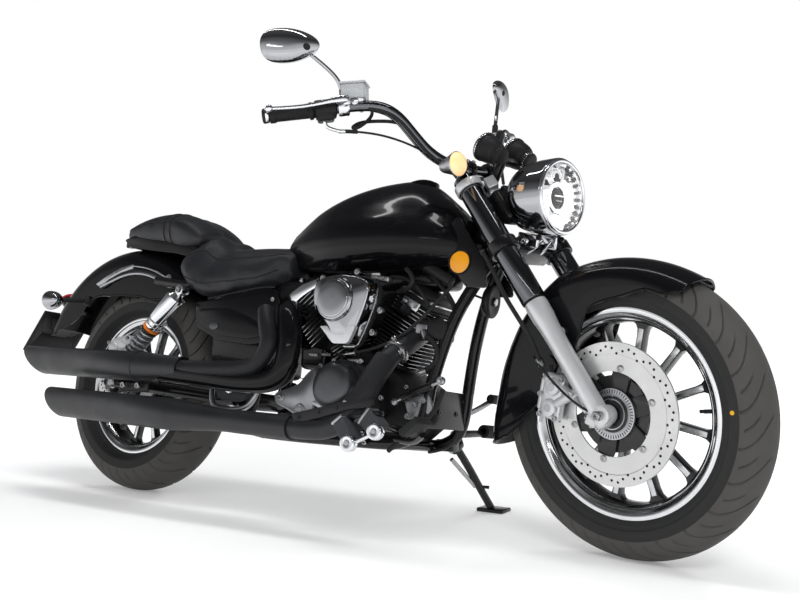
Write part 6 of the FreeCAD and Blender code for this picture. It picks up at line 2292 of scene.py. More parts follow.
@dataclass(frozen=True)
class Engine:
    """The V engine with its cases, cylinders, air cleaner and leads. Lengths in mm, angles in degrees."""

    lean: float = 28.0
    fin_count: int = 11
    fin_start: float = 110.0
    fin_pitch: float = 9.5
    fin_size: tuple[float, float] = (124.0, 140.0)

    def build(self) -> None:
        """Makes all of it."""
        self.build_case()
        self.build_cylinder("front", self.lean)
        self.build_cylinder("rear", -self.lean)
        self.build_right_case()
        self.build_left_case()
        self.build_air_cleaner()
        self.build_intake()

    def build_case(self) -> None:
        """The crankcase with its ribs, bosses and bolts."""
        shaper = Shaper()
        outline = (
            (652, 240), (700, 206), (955, 206), (1008, 250), (1000, 330), (943, 366), (850, 419), (757, 366),
            (690, 368), (650, 325),
        )
        shaper.plate(outline, -84, 84, None, 12, 4, 0)
        shaper.plate([(x * 0.97 + 25, z * 0.97 + 9) for x, z in outline], -3, 3, None, 10, 1, 0)
        for x in range(700, 960, 26):
            shaper.box((x, 0, 203), (4, 150, 9), None, 1, 0)
        for side in SIDES:
            for x, z in (
                (668, 250), (700, 216), (760, 214), (840, 214), (920, 216), (990, 262), (984, 330), (664, 320)
            ):
                shaper.bolt((x, side * 84, z), (0, side, 0), 5.5, 4, 1)
            shaper.box((976, side * 52, 300), (50, 22, 30), turned((0, 1, 0), 12), 5, 0)
        shaper.rod((985, 0, 282), (1016, 0, 276), 34, 30, 0, 40, soft=4)
        shaper.rod((1008, 0, 277), (1024, 0, 274), 12, ink=1, steps=6, soft=1)
        set_down("engine_case_block", shaper, Body.FRAME, (ENGINE_PAINT, STEEL), ("crankcase",))

    def build_cylinder(self, name: str, lean: float) -> None:
        """One finned cylinder with its head and rocker cover.

        Args:
            name: Which one it is.
            lean: How far it leans forward.
        """
        shaper = Shaper()
        place = Matrix.Translation(CRANK) @ turned((0, 1, 0), lean)
        flat = place @ turned((1, 0, 0), 90)
        turn = turned((0, 1, 0), lean)
        shaper.lathe(place, ((0, 88), (52, 88), (52, 102), (46, 104), (46, 216), (0, 216)), 0, 64, 1)
        length, width = self.fin_size
        for number in range(self.fin_count):
            low = self.fin_start + self.fin_pitch * number
            self.add_fin(shaper, flat, length, width, low, 2.6)
        for number in range(4):
            self.add_fin(shaper, flat, length + 2, width - 14, 219 + 9.5 * number, 3.0)
        shaper.box(place @ Vector((0, 0, 236)), (100, 112, 46), turn, 6, 0)
        shaper.box(place @ Vector((0, 0, 264)), (112, 122, 14), turn, 4, 0)
        shaper.box(place @ Vector((0, 0, 273)), (106, 112, 6), turn, 2, 2)
        shaper.box(place @ Vector((0, 0, 283)), (96, 98, 22), turn, 9, 0 if name == "front" else 3)
        shaper.box(place @ Vector((0, 0, 295)), (70, 64, 6), turn, 3, 0)
        for x in (-44, 44):
            for y in (-50, 50):
                shaper.nut(place @ Vector((x, y, 271)), turn @ Vector((0, 0, 1)), 7, 8, 1)
        shaper.box(place @ Vector((0, -64, 250)), (54, 12, 26), turn, 4, 2)
        shaper.bolt(place @ Vector((-18, -70, 250)), (0, -1, 0), 5, 4, 1)
        shaper.bolt(place @ Vector((18, -70, 250)), (0, -1, 0), 5, 4, 1)
        plug = place @ Vector((0, -62, 228))
        shaper.rod(plug, plug + Vector((0, -22, 8)), 9, 7, 4)
        away = 1 if lean > 0 else -1
        port = place @ Vector((56 * away, -22, 224))
        shaper.rod(port, port + turn @ Vector((14 * away, -4, 0)), 31, 29, 0, 40, soft=2)
        if name == "rear":
            self.add_rear_side(shaper)
        set_down(
            name + "_finned_cylinder", shaper, Body.FRAME,
            (ENGINE_PAINT, STEEL, MACHINED, CHROME, RUBBER), (name + "_cylinder",),
        )

    def add_rear_side(self, shaper: Shaper) -> None:
        """The rear cylinder's fins and bright head cover beside the air cleaner.

        Args:
            shaper: The shaper that holds the piece.
        """
        turn = turned((0, 1, 0), -39)
        across = turn @ Vector((1, 0, 0))
        low, high = Vector((746, -74, 452)), Vector((662, -74, 556))
        for number in range(12):
            middle = low.lerp(high, number / 11) + across * 4
            shaper.box(middle, (112, 66, 3.2), turn, 0.4, 0)
            shaper.box(middle - LEFTWARD * 33.4, (112.4, 1.2, 1.5), turn, 0, 2)
            shaper.box(middle - across * 56, (1.2, 62, 1.5), turn, 0, 2)
        shaper.box(low.lerp(high, 0.5) + across * 6, (96, 58, 130), turn, 6, 0)
        cover = ((616, 534), (620, 556), (662, 581), (706, 594), (716, 574), (678, 556), (636, 526))
        shaper.plate(cover, -114, -24, None, 5, 7, 3)
        shaper.bolt((652, -104, 590), (0, -0.6, 0.8), 6, 6, 1)

    def add_fin(self, shaper: Shaper, flat: Matrix, length: float, width: float, low: float, thick: float) -> None:
        """A cooling fin with a bright machined edge.

        Args:
            shaper: The shaper that holds the piece.
            flat: The fin's place.
            length: Its size along X.
            width: Its size along Y.
            low: The height of its lower face.
            thick: Its thickness.
        """
        for grow, pad, ink in ((0.0, 0.0, 0), (0.35, thick * 0.28, 2)):
            half_x, half_y, cut = length / 2 + grow, width / 2 + grow, 16
            corners = (
                (-half_x, -half_y + cut), (-half_x + cut, -half_y), (half_x - cut, -half_y), (half_x, -half_y + cut),
                (half_x, half_y - cut), (half_x - cut, half_y), (-half_x + cut, half_y), (-half_x, half_y - cut),
            )
            shaper.plate(corners, low + pad, low + thick - pad, flat, 6, 0.0, ink)

    def build_right_case(self) -> None:
        """The right cases: silver at the rear, black in front, and the round clutch cover."""
        shaper = Shaper()
        black = (
            (740, 262), (748, 226), (905, 222), (940, 262), (935, 345), (880, 378), (800, 378), (748, 352),
        )
        shaper.plate(black, -132, -84, None, 10, 5, 0)
        silver = (
            (622, 300), (628, 274), (664, 262), (702, 246), (740, 250), (762, 290), (762, 340), (742, 366), (722, 352),
            (700, 326), (664, 312),
        )
        shaper.plate(silver, -140, -84, None, 9, 6, 1)
        shaper.rod((648, -134, 290), (648, -143, 290), 11, ink=1, soft=2)
        shaper.bolt((648, -143, 290), (0, -1, 0), 6, 4, 3)
        shaper.lathe(
            facing((0, -1, 0), (712, -138, 262)), ((0, 4), (9, 4), (12, 6), (15, 4), (16, 0)), 1, 40, closed=False
        )
        for x, z in ((760, 372), (800, 384), (880, 384), (934, 352), (946, 300), (936, 250), (900, 216), (760, 220)):
            shaper.bolt((x, -128, z), (0, -1, 0), 6, 6, 3)
        centre = Vector((826, -132, 320))
        place = facing((0, -1, 0), centre)
        dome = ((0, 50), (22, 49.5), (40, 47), (52, 41), (58, 33), (60.5, 22), (61, 8), (63, 4), (63, -2))
        shaper.lathe(place, [along(dome, step / 56) for step in range(57)], 2, 96, closed=False)
        shaper.lathe(place, ((61, 7), (66, 6), (68, 2), (68, -2)), 0, 96, closed=False)
        strip = (
            (772, 282), (800, 287), (836, 292), (872, 294), (884, 292), (878, 280), (864, 269), (836, 261), (804, 264),
            (782, 272),
        )
        shaper.plate(strip, -172, -140, None, 4, 5, 4)
        set_down(
            "clutch_side_cover", shaper, Body.FRAME,
            (ENGINE_PAINT, CASE_SILVER, CASE_GREY, STEEL, SATIN), ("clutch_cover",),
        )

    def build_left_case(self) -> None:
        """The left case with the generator's round cover and the front pulley's guard."""
        shaper = Shaper()
        outline = (
            (780, 250), (790, 222), (905, 218), (940, 262), (935, 345), (880, 378), (800, 378), (776, 352),
        )
        shaper.plate(outline, 84.5, 128, None, 10, 5, 0)
        place = facing((0, 1, 0), (850, 126, 300))
        dome = ((0, 30), (30, 29.5), (50, 26), (62, 19), (69, 9), (71, 2), (71, -2))
        shaper.lathe(place, [along(dome, step / 40) for step in range(41)], 1, 96, closed=False)
        for angle in around(6, 15):
            spot = Vector((850, 130, 300)) + turned((0, 1, 0), -angle) @ Vector((78, 0, 0))
            shaper.bolt(spot, (0, 1, 0), 5, 5, 2)
        guard = (
            (650, 262), (668, 238), (716, 228), (770, 246), (770, 352), (716, 372), (664, 350), (648, 320),
        )
        shaper.plate(guard, 112, 130, None, 12, 5, 1)
        shaper.rod((705, 128, 300), (705, 133, 300), 30, ink=0, soft=2)
        set_down(
            "generator_side_cover", shaper, Body.FRAME, (ENGINE_PAINT, CASE_GREY, STEEL),
            ("generator_cover",),
        )

    def build_air_cleaner(self) -> None:
        """The chrome shield with its round boss and bright chin, on a black back plate."""
        shaper = Shaper()
        outline = (
            (766, 580), (798, 588), (836, 590), (878, 584), (910, 573), (920, 553), (915, 520), (901, 480), (887, 448),
            (875, 424), (861, 418), (835, 418), (820, 424), (797, 448), (774, 476), (757, 506), (750, 540), (753, 566),
        )
        centre = Vector((831, 0, 516))

        def edge(share: float) -> tuple[float, float]:
            """The outline's point at a share round it."""
            x, z = through(outline, share)
            return x - centre.x, z - centre.z

        def shell(u: float, v: float) -> Point:
            """The cover's point, from its middle to its rear edge.

            Args:
                u: Share from the middle to the edge.
                v: Share round, from 0 to 1.

            Returns:
                The point.
            """
            dx, dz = edge(v)
            if u < 0.7:
                grow = u / 0.7 * 0.9
                y = -190 + 14 * (u / 0.7) ** 2.4
            else:
                bend = (u - 0.7) / 0.3
                grow = 0.9 + 0.1 * math.sin(bend * math.pi / 2)
                y = -176 + 48 * (1 - math.cos(bend * math.pi / 2)) * 0.35 + 34 * max(0.0, bend - 0.35)
            return centre.x + dx * grow, y, centre.z + dz * grow

        shaper.skin(48, 120, shell, 0)
        boss = ((0, 10.5), (30, 10), (43, 8.4), (45.5, 6.6), (47.5, 6.2), (50, 5), (53, 0), (54, -6))
        place = facing((-0.04, -1, 0.03), (829, -188, 525))
        shaper.lathe(place, [along(boss, step / 48) for step in range(49)], 0, 96, closed=False)
        chin = ((786, 462), (892, 462), (875, 424), (867, 420), (831, 420), (822, 426))
        shaper.plate(chin, -181, -168, None, 4, 3.5, 1)
        back = [(centre.x + (x - centre.x) * 1.06, centre.z + (z - centre.z) * 1.05) for x, z in outline]
        shaper.plate(back, -136, -124, None, 0, 2, 2)
        trim = [(centre.x + (x - centre.x) * 1.03, centre.z + (z - centre.z) * 1.025) for x, z in outline]
        shaper.plate(trim, -142, -137, None, 0, 1.6, 0)
        for x, z in ((926, 505), (908, 452), (850, 601), (745, 590)):
            shaper.rod((x, -124, z), (x, -136, z), 8, ink=3, steps=20, soft=1)
            shaper.bolt((x, -136, z), (0, -1, 0), 5, 3, 3)
        set_down(
            "air_cleaner_shield", shaper, Body.FRAME, (SHADED_CHROME, PALE_SATIN, TRIM_BLACK, STEEL),
            ("air_cleaner",),
        )

    def build_intake(self) -> None:
        """The throttle body between the cylinders with its hoses and leads."""
        shaper = Shaper()
        shaper.rod((850, -120, 505), (850, 50, 505), 33, ink=0, soft=3)
        for x in (888, 812):
            shaper.rod((850, 0, 505), (x, 0, 500), 20, ink=0)
        shaper.box((850, 64, 520), (70, 40, 60), None, 8, 0)
        shaper.box((898, -96, 588), (52, 20, 14), turned((0, 1, 0), 8), 3, 2)
        shaper.bolt((888, -106, 590), (0, -1, 0), 6, 4, 1)
        shaper.bolt((910, -106, 588), (0, -1, 0), 4, 4, 1)
        shaper.tube(((930, -70, 560), (970, -86, 560), (990, -90, 590), (960, -86, 612)), 6, 3, 3)
        shaper.tube(((900, -60, 600), (950, -72, 596), (1002, -80, 560), (1030, -84, 520)), 5, 3, 3)
        shaper.tube(
            ((1027, -90, 452), (1052, -92, 438), (1068, -92, 412), (1064, -92, 384), (1036, -90, 368)), 6.5, 3, 3
        )
        shaper.rod((1022, -89, 462), (1030, -90, 446), 9, 8, 1)
        shaper.rod((1040, -90, 369), (1024, -90, 364), 9, 10, 1)
        for step in range(4):
            spot = Vector((700 + step * 42, -104, 402))
            shaper.rod(spot, spot + Vector((30, -4, -1)), 4.4, ink=1 if step != 2 else 3)
        shaper.box((842, -108, 385), (36, 16, 15), None, 4, 2)
        shaper.bolt((790, -100, 378), (0, -1, 0), 6, 5, 1)
        set_down(
            "throttle_and_hoses", shaper, Body.FRAME, (ENGINE_PAINT, STEEL, SATIN, RUBBER), ("intake",)
        )


PALE_SATIN = Finish(
    "bright_satin", (0.74, 0.75, 0.76), (0.68, 0.69, 0.7), metallic=0.55, rough=(0.34, 0.44), grain=700, depth=0.03
)
PIPE_BLACK = Finish(
    "heat_shield_black", (0.014, 0.0145, 0.016), (0.022, 0.022, 0.024), rough=(0.34, 0.44), metallic=0.35, grain=1100,
    depth=0.04,
)


@dataclass(frozen=True)
class Exhaust:
    """The two pipes and their slash-cut mufflers. Lengths in mm."""

    muffler: float = 41.0

    def build(self) -> None:
        """Makes the pipes and the mufflers."""
        self.build_pipes()
        self.build_mufflers()

    def build_pipes(self) -> None:
        """Both headers with their heat shields, collars and the bracket."""
        shaper = Shaper()
        upper = (
            (690, -30, 474), (650, -78, 494), (652, -140, 508), (684, -178, 490), (704, -192, 446), (710, -196, 398),
            (704, -198, 350), (664, -199, 326), (600, -200, 322), (540, -200, 323), (430, -203, 333), (262, -204, 344),
        )
        shaper.tube(upper, 30, 4, 10, loops=14)
        shield = (
            (624, -196, 500), (640, -210, 476), (654, -218, 450), (667, -222, 418), (658, -222, 388),
            (632, -220, 362), (580, -218, 351), (500, -216, 349), (369, -211, 348), (262, -206, 353),
        )
        shaper.tube(shield, 22, 1, 8, loops=14)
        lower = (
            (985, -40, 458), (996, -88, 438), (972, -138, 400), (957, -180, 350), (950, -202, 300), (918, -224, 242),
            (856, -230, 213), (770, -230, 217),
        )
        shaper.tube(lower, 24, 0, 10, loops=14)
        guard = ((966, -152, 386), (957, -182, 344), (951, -204, 304), (934, -218, 272))
        shaper.tube(guard, 28, 2, 10, loops=14)
        collar = Vector((978, -120, 412))
        way = (Vector((966, -152, 386)) - collar).normalized()
        shaper.rod(collar, collar + way * 12, 31, ink=3, soft=2)
        for out in (Vector((0, -20, 26)), Vector((22, -24, -6)), Vector((-24, -10, 8))):
            shaper.nut(collar + out, way, 6, 8, 3)
        bar = (
            (778, 250), (850, 266), (918, 281), (1001, 291), (1003, 277), (940, 266), (870, 246), (806, 230),
            (782, 232),
        )
        shaper.plate(bar, -246, -236, None, 4, 2.5, 2)
        for x, z in ((800, 242), (856, 256), (906, 268)):
            shaper.bolt((x, -246, z), (0, -1, 0), 4.5, 3, 0)
        set_down(
            "header_pipes", shaper, Body.FRAME, (EXHAUST_PAINT, PIPE_BLACK, BRONZE_GREY, STEEL, PAINT),
            ("exhaust_pipes",),
        )

    def build_mufflers(self) -> None:
        """Two mufflers, each a swelling can with a slanted open end."""
        for name, front, back, taper, start, cut in (
            ("upper", Vector((430, -204, 346)), Vector((-355, -204, 366)), 238.0, 30.5, (-333, 412, -232, 322)),
            ("lower", Vector((770, -230, 217)), Vector((-175, -230, 244)), 385.0, 28.5, (-158, 290, -82, 196)),
        ):
            line = (back - front).normalized()
            place = facing(line, front)
            length = (back - front).length + 60
            if name == "upper":
                neck = (
                    (start, 76), (start + 1.5, 80), (36, 160), (self.muffler - 0.6, taper), (self.muffler, taper + 16)
                )
            else:
                neck = (
                    (start, 0), (start, 150), (start + 0.5, 236), (self.muffler - 1, taper),
                    (self.muffler, taper + 16),
                )
            outer = [along(neck, step / 30) for step in range(31)] + [(self.muffler, length)]
            inner = [(self.muffler - 2.2, length), (self.muffler - 2.2, length - 300), (16, length - 302)]
            can = Shaper()
            can.lathe(place, [(0, outer[0][1])] + outer + inner + [(15.9, length - 280), (0, length - 280)], 0, 72)
            tip_x, tip_z, heel_x, heel_z = cut
            slope = Vector((heel_x - tip_x, heel_z - tip_z)).normalized()
            wedge = Shaper()
            reach = 160
            outline = (
                (tip_x - slope.x * reach, tip_z - slope.y * reach),
                (heel_x + slope.x * reach, heel_z + slope.y * reach), (heel_x + slope.x * reach - 20, heel_z - 420),
                (tip_x - slope.x * reach - 260, tip_z - 420),
                (tip_x - slope.x * reach - 260, tip_z - slope.y * reach),
            )
            wedge.plate(outline, -330, -120, None, 0, 0, 0)
            mesh = carved(can.mesh(name + "_can", Body.FRAME), wedge.mesh(name + "_wedge", Body.FRAME))
            set_down(name + "_muffler_can", mesh, Body.FRAME, (EXHAUST_PAINT,), ("mufflers",))
        shaper = Shaper()
        for x, z, radius in ((352, 348, 31), (192, 352, 40.6)):
            shaper.lathe(
                facing((-1, 0, 0.025), (x, -204, z)),
                ((radius, 0), (radius + 1.6, 1), (radius + 1.6, 5), (radius, 6)), 0, 72, closed=False,
            )
        for x in (180, 120):
            shaper.bolt((x, -198, 300), (0, -1, 0), 8, 6, 1)
        shaper.box((150, -186, 296), (120, 8, 26), None, 3, 0)
        set_down("muffler_bracket", shaper, Body.FRAME, (EXHAUST_PAINT, STEEL), ("mufflers",))


# ---- frame, suspension and small parts --------------------------------------------------------------------


@dataclass(frozen=True)
class Chassis:
    """Frame tubes, swingarm, shocks, belt, stand and foot gear. Lengths in mm."""

    tube_radius: float = 15.0
    pulley_radius: float = 90.0
    sprocket_radius: float = 38.0
    belt_rise: float = 0.8
    belt_sides: tuple[float, float] = (84.2, 102.8)
    pulley_teeth: int = 70

    def build(self) -> None:
        """Makes all of them."""
        self.build_frame()
        self.build_cradle()
        self.build_swingarm()
        self.build_shocks()
        self.build_drive()
        self.build_rear_brake()
        self.build_pegs()
        self.build_controls()
        self.build_horn()
        self.build_stand()

    def build_frame(self) -> None:
        """Neck, backbone, seat rails, uprights and downtubes."""
        shaper = Shaper()
        shaper.lathe(
            facing(STEM_UP, on_stem(447)),
            ((18, 0), (32, 0), (32, 12), (29.5, 16), (29.5, 133), (32, 137), (32, 149), (18, 149), (18, 0)), 0, 64, 1,
        )
        shaper.tube((on_stem(545, -20), (1120, 0, 686), (1000, 0, 690), (800, 0, 668), (560, 0, 640)), 24, 0, 8)
        for side in SIDES:
            rail = (
                (580, side * 10, 632), (530, side * 58, 616), (490, side * 84, 606), (440, side * 98, 597),
                (380, side * 107, 592), (300, side * 112, 591), (220, side * 113.2, 593), (110, side * 113.2, 610),
            )
            shaper.tube(rail, 13, 0, 6)
            shaper.tube(
                ((470, side * 84, 600), (492, side * 76, 520), (498, side * 68, 430), (478, side * 64, 278)),
                self.tube_radius, 0, 6,
            )
            shaper.plate(
                ((440, 300), (458, 240), (500, 236), (518, 290), (508, 340), (462, 340)),
                *sorted((side * 70, side * 84)), None, 10, 3, 0,
            )
        shaper.rod((478, -84, 278), (478, 84, 278), 24, ink=0, soft=2)
        shaper.rod((380, -104, 592), (380, 104, 592), 11, ink=0)
        for middle, size in (
            ((424, 0, 440), (200, 176, 190)), ((570, 0, 510), (130, 150, 180)), ((650, 0, 470), (90, 70, 200)),
            ((948, 0, 602), (220, 66, 60)), ((700, 0, 610), (160, 70, 40)), ((862, 10, 560), (96, 60, 84)),
        ):
            shaper.box(middle, size, None, 16, 0)
        for x, z in ((498, 332), (540, 330), (515, 330)):
            shaper.bolt((x, -112, z), (0, -1, 0), 7, 5, 2)
        shaper.box((520, -104, 330), (74, 14, 16), None, 3, 2)
        for step in range(6):
            shaper.box((420 + step * 8, -104, 331), (2.4, 24, 26), None, 0.6, 2)
        set_down(
            "frame_tubes", shaper, Body.FRAME, (FRAME_PAINT, TRIM_BLACK, SATIN), ("main_frame",)
        )
        shaper = Shaper()
        for side in SIDES:
            points = (
                on_stem(470, -28, side * 24), (1126, side * 40, 580), (1090, side * 62, 500), (1064, side * 78, 400),
                (1052, side * 88, 330),
            )
            shaper.tube(points, 15, 0, 6)
        plate = ((-84, 238), (84, 238), (88, 328), (-88, 328))
        place = Matrix.Translation(Vector((1046, 0, 0))) @ turned((0, 0, 1), 90)
        shaper.plate(plate, -3, 3, place, 6, 1.2, 0)
        for side in SIDES:
            shaper.bolt((1049, side * 40, 276), (1, 0, 0), 6, 3, 0)
            shaper.bolt((1049, side * 72, 310), (1, 0, 0), 5, 3, 0)
        shaper.box((1038, -62, 464), (86, 50, 48), turned((0, 1, 0), 5), 9, 2)
        shaper.box((1016, -88, 466), (30, 3, 22), turned((0, 1, 0), 5), 1, 3)
        shaper.rod((994, -62, 626), (1074, -62, 580), 13, 13, 2, soft=2)
        shaper.tube(((1010, -48, 600), (1060, -52, 560), (1084, -58, 520)), 6, 5, 3)
        set_down(
            "front_downtubes", shaper, Body.FRAME,
            (FRAME_PAINT, STEEL, TRIM_BLACK, SATIN, CASE_SILVER, RUBBER), ("downtubes",),
        )

    def build_cradle(self) -> None:
        """The lower cradle with its cross tubes and the stand's lug."""
        shaper = Shaper()
        for side in SIDES:
            points = (
                (1051, side * 88, 329), (1047, side * 91, 280), (1030, side * 95, 226), (985, side * 98, 199),
                (940, side * 99, 196), (820, side * 102, 196), (700, side * 104, 196), (600, side * 101, 198),
                (540, side * 88, 200), (500, side * 76, 206), (484, side * 68, 222), (480, side * 64, 248),
            )
            shaper.tube(points, 15, 0, 6)
            for x in (690, 900):
                shaper.bolt((x, side * 119, 196), (0, side, 0), 6, 5, 1)
        for x in (965, 560):
            shaper.rod((x, -96, 194), (x, 96, 194), 10, ink=0)
        shaper.box((985, 116, 200), (50, 34, 30), None, 4, 0)
        axis = Vector((0.10, 0.82, 0.56)).normalized()
        pivot = Vector((985, 158, 200))
        shaper.rod(pivot - axis * 24, pivot + axis * 20, 7.8, ink=1)
        shaper.nut(pivot + axis * 17, axis, 9, 8, 1)
        shaper.tube(
            ((1099, -112, 326), (1094, -116, 290), (1060, -120, 250), (1010, -120, 215), (967, -118, 180)), 5.5, 2, 3
        )
        shaper.tube(((1040, 60, 300), (1046, 70, 240), (1010, 74, 190), (960, 70, 182)), 5, 2, 3)
        set_down(
            "cradle_tubes", shaper, Body.FRAME, (FRAME_PAINT, STEEL, RUBBER), ("lower_cradle",)
        )

    def build_swingarm(self) -> None:
        """The swingarm with its axle plates and adjusters."""
        shaper = Shaper()
        for side in SIDES:
            points = (
                (448, side * 92, 279), (410, side * 99, 281), (370, side * 106, 283), (300, side * 120, 290),
                (240, side * 127, 294), (120, side * 127, 302), (0, side * 127, 310),
            )
            shaper.tube(points, 17, 0, 6)
            shaper.rod((0, side * 118, 310), (0, side * 137, 310), 33, ink=0, steps=48, soft=3)
            shaper.box((-20, side * 127, 309), (50, 14, 42), None, 5, 0)
            shaper.nut((0, side * 137, 310), (0, side, 0), 15, 12, 1)
            shaper.rod((-44, side * 127, 309), (-66, side * 127, 308), 4.5, ink=1)
            shaper.nut((-46, side * 127, 309), (-1, 0, 0), 8, 6, 1)
            shaper.plate(
                ((20, 322), (24, 350), (40, 384), (60, 384), (66, 350), (62, 318)), *sorted((side * 124, side * 131)),
                None, 6, 2, 0,
            )
        shaper.rod((420, -96, 280), (420, 96, 280), 18, ink=0)
        shaper.rod((0, -150, 310), (0, 150, 310), 9.8, ink=1)
        set_down("swingarm_tubes", shaper, Body.FRAME, (FRAME_PAINT, STEEL), ("swingarm",))

    def build_shocks(self) -> None:
        """The rear shocks: chrome cover, knurled rings, orange ring and spring."""
        shaper = Shaper()
        for side in SIDES:
            low, high = Vector((45, side * 141, 372)), Vector((250, side * 141, 572))
            line = (high - low).normalized()
            place = facing(line, low)
            length = (high - low).length
            for spot, radius in ((low, 15), (high, 15)):
                shaper.rod(spot - LEFTWARD * 13, spot + LEFTWARD * 13, radius, ink=0, soft=2)
                shaper.rod(spot - LEFTWARD * 14.5, spot + LEFTWARD * 14.5, radius * 0.55, ink=3)
                shaper.bolt(spot + LEFTWARD * side * 14, (0, side, 0), 7.5, 5, 4)
            shaper.lathe(
                place, ((0, 10), (9, 10), (9, 30), (25, 33), (26, 36), (26, 40), (20, 42)), 4, 48, closed=False
            )
            shaper.rod(low + line * 30, low + line * 150, 13, ink=2)
            cover = (
                (10, 140), (24, 141), (25.5, 144), (25.5, 150), (23.5, 152), (23.5, 156), (25.5, 158), (25.5, 164),
                (23.6, 166), (26.5, 168), (28, 172), (28, length - 34), (26, length - 26), (15, length - 18),
                (10, length - 10),
            )
            shaper.lathe(place, cover, 0, 64, closed=False)
            shaper.lathe(
                place, ((14, 131), (25, 131.5), (26.5, 133), (26.5, 137), (25, 139), (14, 140)), 1, 56, closed=False
            )
            shaper.lathe(place, ((14, 124), (23, 124.5), (24, 126), (24, 129), (14, 131)), 3, 56, closed=False)
            coils = []
            for step in range(81):
                angle = TAU * 5.0 * step / 80
                rise = 42 + 80 * step / 80
                coils.append(place @ Vector((20 * math.cos(angle), 20 * math.sin(angle), rise)))
            shaper.tube(coils, 4.0, 2, 3, loops=3)
        set_down(
            "rear_shock_units", shaper, Body.FRAME, (CHROME, ORANGE_RING, SATIN, RUBBER, STEEL),
            ("rear_shocks",),
        )

    def build_drive(self) -> None:
        """The toothed belt and the rear pulley."""
        shaper = Shaper()
        rear, front = REAR_AXLE, Vector((705, 0, 300))
        span = front - rear
        level = math.atan2(span.z, span.x)
        opening = math.acos((self.pulley_radius - self.sprocket_radius) / span.length)
        points = []
        for centre, radius, first, sweep, steps in (
            (rear, self.pulley_radius, level + opening, TAU - 2 * opening, 48),
            (front, self.sprocket_radius, level - opening, 2 * opening, 24),
        ):
            reach = radius + self.belt_rise
            for number in range(steps + 1):
                angle = first + sweep * number / steps
                points.append((centre.x + reach * math.cos(angle), centre.z + reach * math.sin(angle)))
        self.add_belt(shaper, points, *self.belt_sides)
        shaper.lathe(
            facing((0, 1, 0), front), ((12, 84.6), (37.5, 84.6), (37.5, 104), (12, 104), (12, 84.6)), 1, 64, 1
        )
        set_down("toothed_belt", shaper, Body.FRAME, (RUBBER, STEEL), ("drive_belt",))
        shaper = Shaper()
        place = facing((0, 1, 0), rear)
        rim = (
            (30, 78.5), (60, 80), (80, 82), (89.4, 82), (89.4, 105), (84, 105), (82, 94), (62, 92), (30, 92),
            (30, 78.5),
        )
        shaper.lathe(place, rim, 0, 96, 0.8)
        for number in range(self.pulley_teeth):
            angle = 360 * number / self.pulley_teeth
            spot = REAR_AXLE + turned((0, 1, 0), -angle) @ Vector((89.2, 0, 0)) + LEFTWARD * 93.5
            shaper.box(spot, (1.2, 20, 3.6), turned((0, 1, 0), -angle), 0, 0)
        for angle in around(5):
            spot = REAR_AXLE + turned((0, 1, 0), -angle) @ Vector((46, 0, 0)) + LEFTWARD * 92
            shaper.bolt(spot, (0, 1, 0), 6, 5, 1)
        set_down("rear_belt_pulley", shaper, Body.REAR_WHEEL, (FRAME_PAINT, STEEL), ("rear_pulley",))

    def add_belt(self, shaper: Shaper, points: Sequence[Point], low: float, high: float) -> None:
        """The belt's band along a closed outline.

        Args:
            shaper: The shaper that holds the piece.
            points: The outline's X and Z pairs.
            low: Y of its right edge.
            high: Y of its left edge.
        """
        count = len(points)

        def band(u: float, v: float) -> Point:
            """The belt's point at a share along and a share across.

            Args:
                u: Share along, from 0 to 1.
                v: Share across, from 0 to 1.

            Returns:
                The point.
            """
            index = round(u * count) % count
            x, z = points[index]
            return x, low + (high - low) * v, z

        shaper.skin(count, 1, band, 0, thick=-2.6)

    def build_rear_brake(self) -> None:
        """The rear caliper with its hanger."""
        shaper = Shaper()
        place = Matrix.Translation(REAR_AXLE) @ turned((0, 1, 0), -100)
        spin = turned((0, 1, 0), -100)
        shaper.box(place @ Vector((108, -111, 0)), (50, 20, 92), spin, 6, 0)
        shaper.box(place @ Vector((108, -74, 0)), (46, 16, 84), spin, 5, 0)
        shaper.box(place @ Vector((132, -92, 0)), (12, 50, 66), spin, 5, 0)
        for up in (-22, 22):
            shaper.lathe(
                facing((0, -1, 0), place @ Vector((106, -120, up))),
                ((0, 9), (12, 9), (16, 7), (18, 3), (19, -3)), 0, 40, closed=False,
            )
        for out, up in ((90, 40), (126, 40), (90, -40), (126, -40)):
            shaper.bolt(place @ Vector((out, -120, up)), (0, -1, 0), 5.5, 6, 1)
        shaper.box((40, -112, 352), (70, 10, 50), turned((0, 1, 0), -30), 6, 0)
        shaper.bolt((62, -117, 340), (0, -1, 0), 6.5, 5, 1)
        shaper.tube(((60, -100, 400), (110, -108, 380), (180, -118, 330), (300, -112, 310), (420, -96, 320)), 4.5, 2, 3)
        set_down(
            "rear_caliper_body", shaper, Body.FRAME, (FORK_SILVER, STEEL, RUBBER), ("rear_caliper",)
        )

